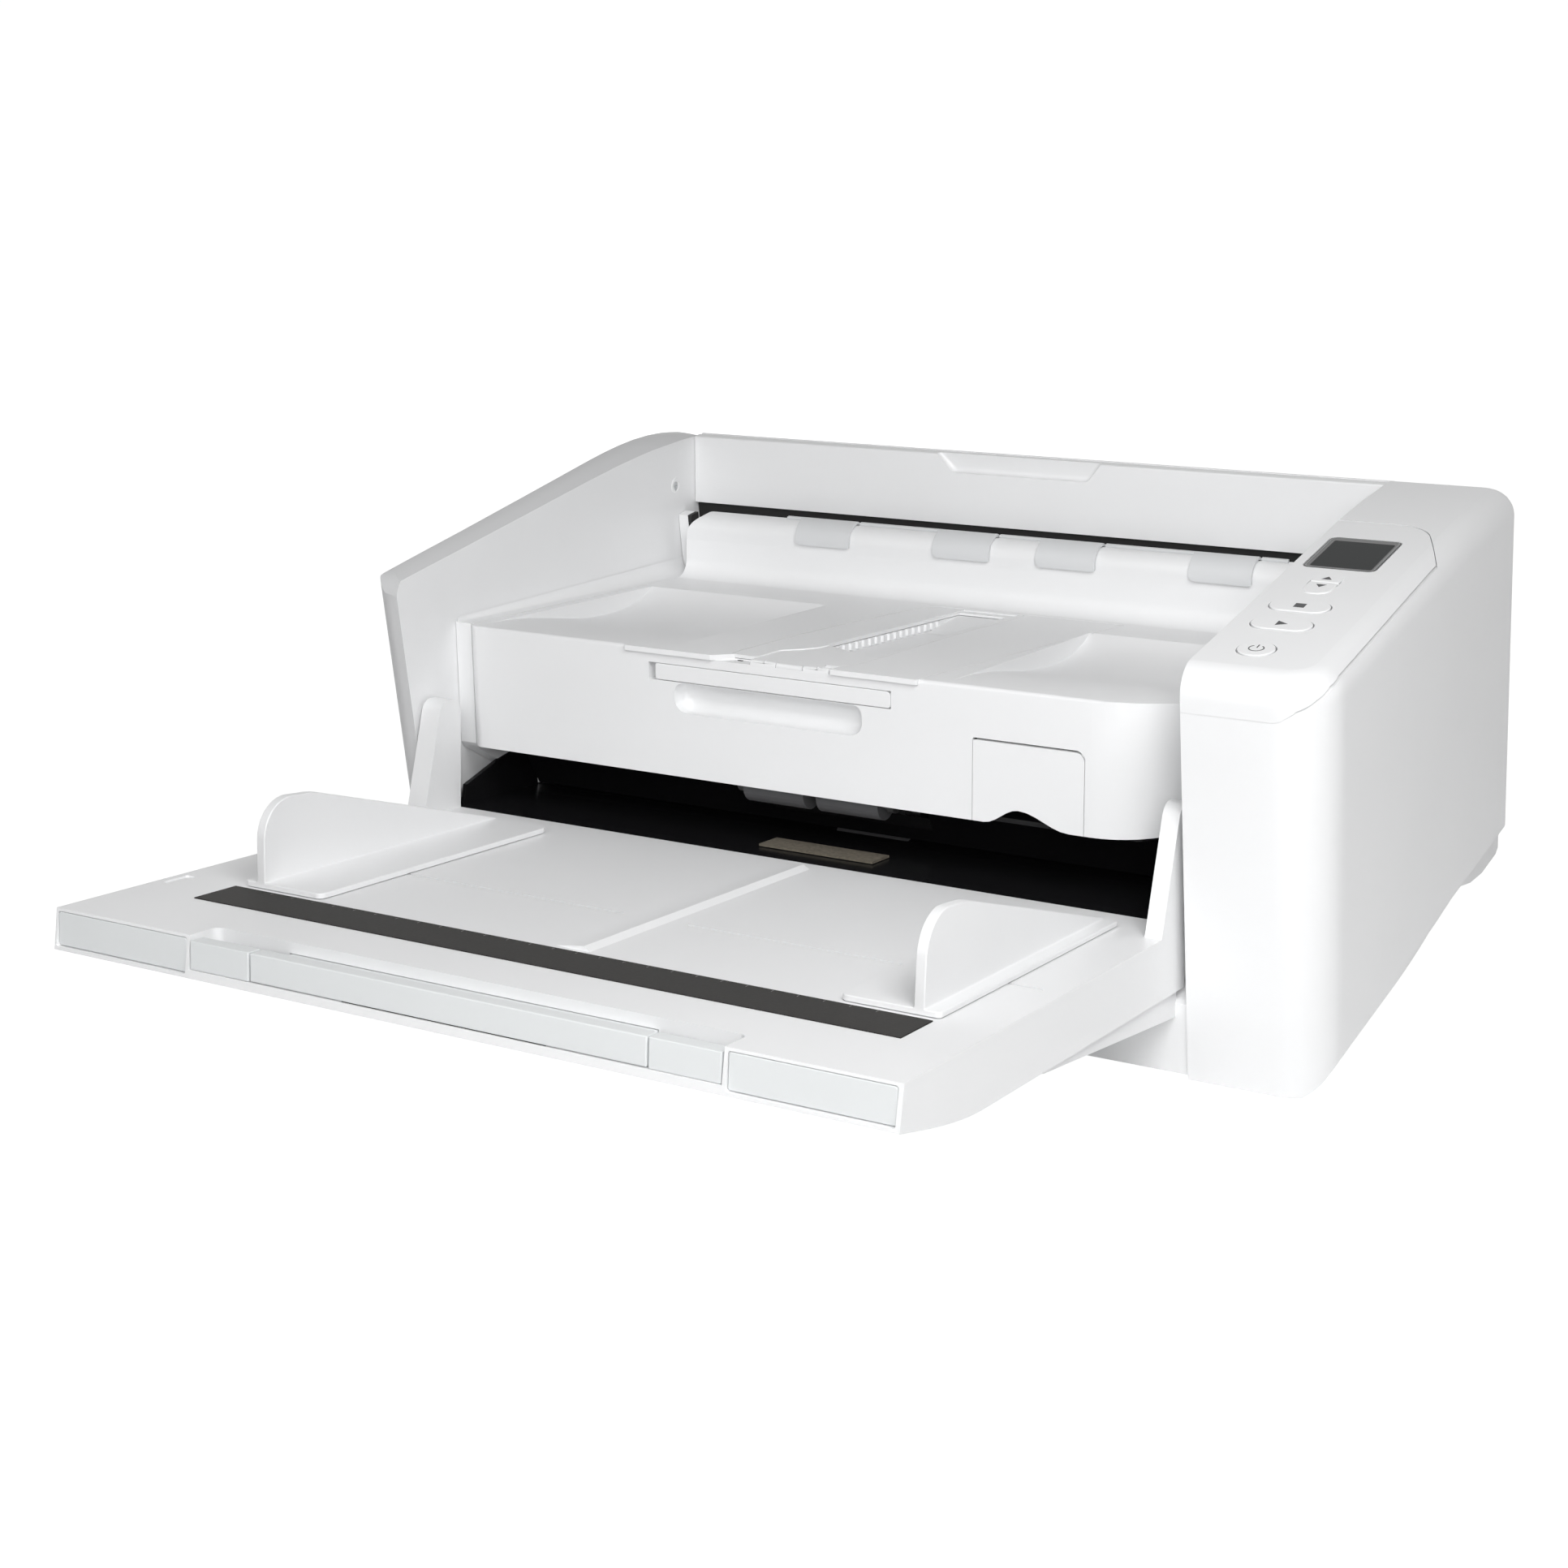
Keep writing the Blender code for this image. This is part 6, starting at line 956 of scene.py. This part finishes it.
def build_tray(edges):
    low = -TRAY_DROP - TRAY_DEEP
    run = TRAY_FRONT + 0.0017 - TRAY_FLAT
    shares = [index / 10 for index in range(11)]
    curve = [(-TRAY_FLAT - share * run, low + 0.0084 * share * share * (1.55 - 0.55 * share)) for share in shares]
    profile = [(TRAY_REAR, -TRAY_DROP), (TRAY_REAR, low)] + curve + [(-TRAY_FRONT, -TRAY_DROP)]
    tray = prism("feed_tray_finish", profile, "X", *TRAY_X, TRAY_FRAME)
    ceiling = -TRAY_DROP - 0.0025
    hollow = [(TRAY_REAR - TRAY_WALL, low - OVERRUN), (TRAY_REAR - TRAY_WALL, ceiling), (-0.206, ceiling),
              (-0.206, low + 0.0077), (-TRAY_FLAT, low + 0.0025), (-TRAY_FLAT, low - OVERRUN)]
    notch = [(-0.1320, 0.2400), (-0.1320, 0.2090, 0.0030), (0.0910, 0.2090, 0.0030), (0.0910, 0.2400)]
    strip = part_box("size_strip")
    cut(tray, prism("hollow", hollow, "X", TRAY_X[0] + TRAY_WALL, TRAY_X[1] - TRAY_WALL, TRAY_FRAME),
        on_tray("notch", notch, (-0.0125, OVERRUN)),
        tray_block("slot", (-0.0983, 0.0573), (0.2030, 0.2120), (-0.0072, -0.0042)),
        tray_block("strip_seat", (strip[0].x - 0.0003, strip[1].x + 0.0003), (0.1601, 0.1835), (-0.0006, OVERRUN)),
        tray_block("slot", (-0.1868, -0.0262), (0.1042, 0.1058), (-0.0050, OVERRUN)),
        tray_block("slot", (0.0022, 0.1458), (0.1042, 0.1058), (-0.0050, OVERRUN)),
        on_tray("dip", [(-0.1945, 0.1580, 0.0012), (-0.1895, 0.1580, 0.0012), (-0.1895, 0.1720, 0.0012),
                        (-0.1945, 0.1720, 0.0012)], (-0.0008, OVERRUN)))
    ridge = [(-0.0200, -0.0014), (-0.0052, -0.0014), (-0.0052, 0), (-0.0082, 0.0016), (-0.0092, 0.0016), (-0.0200, 0)]
    ridge = prism("ridge", [(x, z - TRAY_DROP) for x, z in ridge], "Y", -0.157, -0.001, TRAY_FRAME)
    join(tray, ridge)
    ends = [tray_block(f"bar_end_{index + 1}", x_range, (0.2173, 0.2239), (-0.0124, -0.0018))
            for index, x_range in enumerate(((-0.1314, -0.1043), (0.0631, 0.0903)))]
    base = -TRAY_DROP - 0.00125
    arm = rounded([(-0.0190, base), (TRAY_REAR, base), (0.0066, 0.0066, 0.0064), (-0.0070, 0.0066, 0.0064)])
    for x_range in ((TRAY_X[0], TRAY_X[0] + 0.0098), (TRAY_X[1] - 0.0068, TRAY_X[1])):
        join(tray, prism("arm", arm, "X", *x_range, TRAY_FRAME))
    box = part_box("feed_tray")
    for x_range in ((box[0].x, TRAY_X[0] + 0.004), (TRAY_X[1] - 0.004, box[1].x)):
        join(tray, rod("pin", "X", (at(PIVOT[0]), PIVOT[1]), 0.0022, *x_range))
    join(tray, rod("post", "Z", (PAPER_X, -0.105), 0.0017, -TRAY_DROP - 0.0105, -TRAY_DROP - 0.001, TRAY_FRAME))
    plates = []
    for index, x_range in enumerate(((TRAY_X[0] + 0.0012, -0.1336), (0.0926, TRAY_X[1] - 0.0020))):
        cut(tray, front_plate("seat", x_range, 0.0003, (0.2222, 0.2300)))
        plates.append(front_plate(f"tray_front_plate_{index + 1}", x_range, 0, (0.2218, 0.22335)))
    detailed(tray, "shell_plastic", "tray", edges.fine * 1.5, edges.steps, nodes=("feed_tray",))
    for plate in plates + ends:
        detailed(plate, "trim_plastic", "tray", 0.0004, 3)


def front_plate(name, x_range, growth, along):
    """A plate with round corners that lies flush in the front edge of the tray."""
    low, high = -0.0140 - growth - TRAY_DROP, -0.0014 + growth - TRAY_DROP
    corners = [(x_range[0] - growth, low), (x_range[1] + growth, low), (x_range[1] + growth, high),
               (x_range[0] - growth, high)]
    return prism(name, rounded([(*corner, 0.0010) for corner in corners]), "Y", -along[1], -along[0], TRAY_FRAME)


def build_tray_bar(edges):
    """The pull-out bar in the front edge of the tray, with the plate that it draws out."""
    bar = tray_block("tray_extension_finish", (-0.1036, 0.0624), (0.2173, 0.2239), (-0.0122, -0.0018))
    join(bar, tray_block("plate", (-0.0980, 0.0570), (0.1180, 0.2190), (-0.0069, -0.0045)))
    detailed(bar, "trim_plastic", "tray_extension", edges.fine * 2, 3, nodes=("tray_extension",))
    slit = tray_block("bar_slit", (-0.0627, 0.0229), (0.2205, 0.2236), (-0.01245, -0.0121))
    detailed(slit, "black_plastic", "tray", 0.0001, 1)


def build_strip():
    """The dark strip with the marks of the paper widths."""
    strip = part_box("size_strip")
    plate = tray_block("size_strip_finish", (strip[0].x, strip[1].x), (0.1604, 0.1832), (-0.0003, 0.0003))
    detailed(plate, "strip_plastic", "tray", 0.0001, 2, nodes=("size_strip",))
    mark = tray_block("mark", (-0.00012, 0.00012), (0.1612, 0.1630), (0.0003, 0.00036))
    middle = (strip[0].x + strip[1].x) / 2
    marks = row("size_marks", mark, 27, (middle - 0.130, 0, 0), (0.010, 0, 0), "strip_mark")
    finish(smooth(marks), "strip_mark", "tray", None)


def build_guide(name, side, width):
    """A paper guide: a tall plate with a round nose, on a flat foot."""
    def across(inner, outer):
        return sorted((PAPER_X + side * inner, PAPER_X + side * outer))

    base, rear, front = -TRAY_DROP + CLEARANCE, -0.010, -0.158
    profile = rounded([(rear, base), (rear, base + 0.0022), (-0.1284, base + 0.0330, 0.0350),
                       (front, base + 0.0350, 0.0150), (front, base)])
    guide = prism(name + "_finish", profile, "X", *across(0.1392, 0.1432), TRAY_FRAME)
    foot = [(PAPER_X + side * x, along, *radius) for x, along, *radius in (
        (0.1115, 0.0100, 0.0060), (0.1492, 0.0100, 0.0020), (0.1492, 0.1580, 0.0020), (0.1115, 0.1580, 0.0030))]
    join(guide, on_tray("foot", foot, (CLEARANCE, 0.0025)),
         tray_block("stem", across(0.1272, 0.1392), (0.1045, 0.1055), (-0.0040, 0.0014)))
    detailed(guide, "shell_plastic", name, width, 4, nodes=(name,))


def build_tray_screws():
    steel = "brushed_steel"
    for index, along in enumerate((0.020, 0.145)):
        head = screw_head(0.0026, 0.0010, 0.0004)
        start = (-0.1775, -along - 0.0071, -TRAY_DROP - TRAY_DEEP + 0.0002)
        screws = row(f"tray_screws_{index + 1}", head, 3, start, (0.1559, 0, 0), steel, TRAY_FRAME)
        detailed(screws, steel, "tray", 0.0001, 1)


# Controls

class SCANNER_OT_controls(bpy.types.Operator):
    """Build the display and the buttons with their symbols"""
    bl_idname = "scanner.controls"
    bl_label = "Display and buttons"

    def execute(self, context):
        for name in BUTTONS:
            dress(name, "button_plastic", 0.0005, 4)
        build_symbols()
        build_display()
        return {"FINISHED"}


def decal(name, outline, body, made, level=0.0005, thickness=0.00008, hole=None):
    """A thin printed shape on the control panel."""
    piece = prism(name, outline, "Z", level - thickness / 2, level + thickness / 2)
    if hole:
        cut(piece, prism("hole", hole, "Z", level - OVERRUN, level + OVERRUN))
    place(piece, CONTROL_FRAME)
    return finish(smooth(piece), made, body, None)


def build_symbols():
    ink = "symbol_print"
    x = BUTTON_X
    for name, depth, way in (("up", 0.1048, 1), ("down", 0.0962, -1)):
        outline = [(x - 0.0021, depth - way * 0.0014), (x + 0.0021, depth - way * 0.0014), (x, depth + way * 0.0018)]
        decal(name + "_mark", outline, name + "_button", ink)
    decal("stop_mark", rectangle((x - 0.0021, x + 0.0021), (0.0711, 0.0753)), "stop_button", ink)
    decal("scan_mark", [(x - 0.0019, 0.0509), (x - 0.0019, 0.0555), (x + 0.0023, 0.0532)], "scan_button", ink)
    centre = (x, 0.0265)
    turns = [radians(125 + 290 * index / 28) for index in range(29)]
    arc = [(centre[0] + 0.0030 * cos(turn), centre[1] + 0.0030 * sin(turn)) for turn in turns]
    arc += [(centre[0] + 0.0025 * cos(turn), centre[1] + 0.0025 * sin(turn)) for turn in reversed(turns)]
    decal("power_ring_mark", arc, "power_button", ink)
    decal("power_bar_mark", rectangle((x - 0.00026, x + 0.00026), (0.0270, 0.0300)), "power_button", ink)


def build_display():
    """The dark window with a thin inner line and the plain screen."""
    copy = copy_of("display_window", "display_window_finish")
    detailed(copy, "display_glass", "body", 0.0003, 2, ("display_window",))
    top = (CONTROL_FRAME.inverted() @ Vector((0.176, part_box("display_window")[1].y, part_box("display_window")[1].z))).z
    screen = rounded([(0.1640, 0.1192, 0.0008), (0.1888, 0.1192, 0.0008), (0.1888, 0.1500, 0.0008),
                      (0.1640, 0.1500, 0.0008)])
    decal("display_screen", screen, "body", "display_screen", top + 0.00002)
    outer = rounded([(0.1622, 0.1178, 0.0020), (0.1899, 0.1178, 0.0020), (0.1899, 0.1537, 0.0020),
                     (0.1622, 0.1537, 0.0020)])
    inner = rounded([(0.1625, 0.1181, 0.0018), (0.1896, 0.1181, 0.0018), (0.1896, 0.1534, 0.0018),
                     (0.1625, 0.1534, 0.0018)])
    decal("display_line", outer, "body", "display_line", top + 0.00001, hole=inner)


# Paper path and everything inside

class SCANNER_OT_inside(bpy.types.Operator):
    """Paint the base, the paper path, the rollers, the scan units, the drive and the boards"""
    bl_idname = "scanner.inside"
    bl_label = "Paper path and inner parts"

    def execute(self, context):
        edges = context.scene.scanner_edges
        dress("base_chassis", "shell_plastic", edges.fine, 2)
        paints = {
            "black_bed": ("feed_bed", "cover_underframe"),
            "black_plastic": ("data_socket", "power_inlet"),
            "charcoal_plastic": ("lower_scan_unit", "upper_scan_unit", "pickup_arm"),
            "scan_glass": ("lower_glass", "upper_glass"),
            "grey_rubber": ("feed_roller", "separation_roller", "drive_roller", "idler_roller", "pickup_rollers"),
            "dark_rubber": ("left_front_foot", "left_rear_foot", "right_front_foot", "right_rear_foot", "drive_belt"),
            "cork": ("feed_pad",),
            "brushed_steel": ("drive_motor", "motor_pulley", "power_supply"),
            "circuit_board": ("main_board", "button_board"),
        }
        for paint, names in paints.items():
            for name in names:
                repaint(name, paint)
        return {"FINISHED"}


class SCANNER_OT_materials(bpy.types.Operator):
    """Make the plastics, the rubber, the metal and the glass"""
    bl_idname = "scanner.materials"
    bl_label = "Materials"

    def execute(self, context):
        tints = context.scene.scanner_colours
        moulded("shell_plastic", tints.shell, 0.40, 0.05)
        moulded("button_plastic", tints.shell, 0.30, 0.02)
        moulded("trim_plastic", tints.trim, 0.40, 0.05)
        moulded("outer_plastic", tints.outer, 0.40, 0.05)
        moulded("inner_plastic", tints.inner, 0.5, 0.08, 600.0)
        moulded("flap_plastic", tints.flap, 0.5, 0.06)
        moulded("strip_plastic", tints.strip, 0.55, 0.10)
        moulded("strip_mark", (0.16, 0.155, 0.15), 0.5, 0.02)
        moulded("black_plastic", tints.bed, 0.4, 0.08)
        moulded("charcoal_plastic", (0.05, 0.05, 0.052), 0.45, 0.08)
        moulded("grey_rubber", tints.rubber, 0.8, 0.35, 1800.0, 0.15)
        moulded("dark_rubber", (0.02, 0.02, 0.021), 0.8, 0.35, 1800.0, 0.15)
        moulded("symbol_print", tints.print, 0.5, 0.02)
        moulded("display_line", (0.22, 0.23, 0.23), 0.3, 0.0)
        dull(moulded("display_screen", tints.display, 0.25, 0.0), 0.12, 1.2)
        dull(bpy.data.materials["strip_plastic"], 0.2, 1.25)
        dull(moulded("black_bed", tints.bed, 0.22, 0.02, 400.0, 0.2), 0.22)
        cork(tints.pad)
        brushed(tints.steel)
        board(tints.board)
        clear_glass("scan_glass", (0.75, 0.80, 0.80))
        dull(moulded("display_glass", (0.006, 0.007, 0.008), 0.12, 0.0, 600.0, 0.1), 0.12, 1.2)
        return {"FINISHED"}


def dull(made, level, ior=1.5):
    """Lowers the mirror-like part of a finish."""
    shader = made.node_tree.nodes["Principled BSDF"]
    shader.inputs["Specular IOR Level"].default_value = level
    shader.inputs["IOR"].default_value = ior
    return made


def cork(tint):
    """Pressed cork: dark and pale grains of different sizes."""
    made = moulded("cork", tint, 0.85, 0.5, 700.0, 0.1)
    tree = made.node_tree
    shader = tree.nodes["Principled BSDF"]
    place_of = next(item for item in tree.nodes if item.type == "TEX_COORD")
    grains = node(made, "ShaderNodeTexVoronoi", Scale=900.0)
    wire(made, place_of, "Object", grains, "Vector")
    shades = node(made, "ShaderNodeValToRGB")
    shades.color_ramp.elements[0].color = (*[part * 0.72 for part in tint], 1)
    shades.color_ramp.elements[1].color = (*[min(1, part * 1.18) for part in tint], 1)
    wire(made, grains, "Color", shades, "Fac")
    wire(made, shades, "Color", shader, "Base Color")
    return made


def brushed(tint):
    made = moulded("brushed_steel", tint, 0.32, 0.1, 300.0, 0.06)
    tree = made.node_tree
    tree.nodes["Principled BSDF"].inputs["Metallic"].default_value = 1.0
    stretch = tree.nodes.new("ShaderNodeMapping")
    stretch.inputs["Scale"].default_value = (0.05, 6.0, 6.0)
    place_of = next(item for item in tree.nodes if item.type == "TEX_COORD")
    wire(made, place_of, "Object", stretch, "Vector")
    for item in tree.nodes:
        if item.type == "TEX_NOISE" and item.inputs["Scale"].default_value > 100:
            wire(made, stretch, "Vector", item, "Vector")
    return made


def board(tint):
    """Green lacquer over copper tracks."""
    made = moulded("circuit_board", tint, 0.35, 0.05, 500.0)
    tree = made.node_tree
    shader = tree.nodes["Principled BSDF"]
    place_of = next(item for item in tree.nodes if item.type == "TEX_COORD")
    tracks = node(made, "ShaderNodeTexBrick", Scale=180.0)
    tracks.inputs["Color1"].default_value = (*tint, 1)
    tracks.inputs["Color2"].default_value = (*[part * 0.85 for part in tint], 1)
    tracks.inputs["Mortar"].default_value = (*[min(1, part * 1.6) for part in tint], 1)
    tracks.inputs["Mortar Size"].default_value = 0.03
    wire(made, place_of, "Object", tracks, "Vector")
    wire(made, tracks, "Color", shader, "Base Color")
    return made


def clear_glass(name, tint):
    made = moulded(name, tint, 0.06, 0.0)
    made.node_tree.nodes["Principled BSDF"].inputs["Transmission Weight"].default_value = 0.85
    return made


# Stage

LAMP_AIM = (0, 0, 0.09)
FLOOR_GLOW, FLOOR_SHARE = 1.28, 0.76
CAMERA_PLACE = (0.4859, -0.8198, 0.4842)
CAMERA_RIGHT, CAMERA_UP = (0.8628, 0.4997, -0.0772), (-0.1225, 0.3548, 0.9269)


class SCANNER_OT_stage(bpy.types.Operator):
    """Set the floor, the light and the camera"""
    bl_idname = "scanner.stage"
    bl_label = "Stage"

    def execute(self, context):
        light = context.scene.scanner_light
        build_floor(context.scene.scanner_colours.floor)
        build_world(light.room)
        build_lamps(light)
        build_camera()
        context.scene.view_settings.view_transform = "Standard"
        return {"FINISHED"}


def seen_rays(tree):
    """1 where a ray comes from the camera or was reflected or refracted, and 0 where it carries light."""
    rays = tree.nodes.new("ShaderNodeLightPath")
    total = rays.outputs["Is Camera Ray"]
    for label in ("Is Glossy Ray", "Is Transmission Ray"):
        add = tree.nodes.new("ShaderNodeMath")
        add.operation = "ADD"
        add.use_clamp = True
        tree.links.new(total, add.inputs[0])
        tree.links.new(rays.outputs[label], add.inputs[1])
        total = add.outputs["Value"]
    return total


def build_floor(tint):
    shape = bmesh.new()
    bmesh.ops.create_grid(shape, x_segments=2, y_segments=2, size=6)
    floor = piece_from("floor", shape)
    made = material("floor_paint")
    tree = made.node_tree
    shader = tree.nodes["Principled BSDF"]
    shader.inputs["Base Color"].default_value = (*tint, 1)
    shader.inputs["Roughness"].default_value = 0.9
    white = tree.nodes.new("ShaderNodeEmission")
    white.inputs["Color"].default_value = (1, 1, 1, 1)
    white.inputs["Strength"].default_value = FLOOR_GLOW
    share = tree.nodes.new("ShaderNodeMath")
    share.operation = "MULTIPLY"
    share.inputs[1].default_value = FLOOR_SHARE
    tree.links.new(seen_rays(tree), share.inputs[0])
    mix = tree.nodes.new("ShaderNodeMixShader")
    tree.links.new(share.outputs["Value"], mix.inputs["Fac"])
    tree.links.new(shader.outputs["BSDF"], mix.inputs[1])
    tree.links.new(white.outputs["Emission"], mix.inputs[2])
    out = next(item for item in tree.nodes if item.type == "OUTPUT_MATERIAL")
    tree.links.new(mix.outputs["Shader"], out.inputs["Surface"])
    floor.data.materials.append(made)


def build_world(strength):
    world = bpy.data.worlds.new("studio")
    bpy.context.scene.world = world
    world.use_nodes = True
    tree = world.node_tree
    tree.nodes.clear()
    out = tree.nodes.new("ShaderNodeOutputWorld")
    soft = tree.nodes.new("ShaderNodeBackground")
    soft.inputs["Color"].default_value = (1, 1, 1, 1)
    soft.inputs["Strength"].default_value = strength
    white = tree.nodes.new("ShaderNodeBackground")
    white.inputs["Color"].default_value = (1, 1, 1, 1)
    white.inputs["Strength"].default_value = 1.0
    mix = tree.nodes.new("ShaderNodeMixShader")
    tree.links.new(seen_rays(tree), mix.inputs["Fac"])
    tree.links.new(soft.outputs["Background"], mix.inputs[1])
    tree.links.new(white.outputs["Background"], mix.inputs[2])
    tree.links.new(mix.outputs["Shader"], out.inputs["Surface"])


def build_lamps(light):
    for name, place_of, size, power in (
            ("key", (0.55, -1.05, 0.75), 0.7, light.key), ("near", (0.45, -0.30, 0.70), 0.4, light.near),
            ("fill", (-0.10, -0.45, 0.60), 0.4, light.fill), ("back", (-0.60, 1.05, 0.22), 0.3, light.back)):
        lamp = bpy.data.lights.new(name, "AREA")
        lamp.energy, lamp.shape, lamp.size = power, "DISK", size
        holder = bpy.data.objects.new(name, lamp)
        holder.location = place_of
        holder.rotation_mode = "QUATERNION"
        holder.rotation_quaternion = (Vector(place_of) - Vector(LAMP_AIM)).to_track_quat("Z", "Y")
        holder.visible_camera = False
        holder.visible_glossy = name != "back"
        bpy.context.scene.collection.objects.link(holder)


def build_camera():
    data = bpy.data.cameras.new("camera")
    data.sensor_width, data.lens = 36, 58.52
    data.shift_x, data.shift_y = 0.00158, -0.01446
    camera = bpy.data.objects.new("camera", data)
    right, up = Vector(CAMERA_RIGHT), Vector(CAMERA_UP)
    turn = Matrix((right, up, right.cross(up))).transposed().to_4x4()
    camera.matrix_world = Matrix.Translation(CAMERA_PLACE) @ turn
    bpy.context.scene.collection.objects.link(camera)
    bpy.context.scene.camera = camera


class SCANNER_PT_panel(bpy.types.Panel):
    """The buttons that build the scanner's pieces."""
    bl_idname = "SCANNER_PT_panel"
    bl_label = "Scanner"
    bl_space_type = "VIEW_3D"
    bl_region_type = "UI"
    bl_category = "Scanner"

    def draw(self, context):
        column = self.layout.column()
        for operator in OPERATORS:
            column.operator(operator.bl_idname)


GROUPS = (("scanner_colours", ScannerColours), ("scanner_edges", ScannerEdges), ("scanner_light", ScannerLight))
OPERATORS = (SCANNER_OT_materials, SCANNER_OT_housings, SCANNER_OT_cover, SCANNER_OT_flaps, SCANNER_OT_tray,
             SCANNER_OT_controls, SCANNER_OT_inside, SCANNER_OT_stage)


def register():
    for name, group in GROUPS:
        bpy.utils.register_class(group)
        setattr(bpy.types.Scene, name, PointerProperty(type=group))
    for cls in (*OPERATORS, SCANNER_PT_panel):
        bpy.utils.register_class(cls)


def unregister():
    for cls in (SCANNER_PT_panel, *reversed(OPERATORS)):
        bpy.utils.unregister_class(cls)
    for name, group in reversed(GROUPS):
        delattr(bpy.types.Scene, name)
        bpy.utils.unregister_class(group)


def main():
    register()
    for operator in OPERATORS:
        group, name = operator.bl_idname.split(".")
        getattr(getattr(bpy.ops, group), name)()


if __name__ == "__main__":
    main()
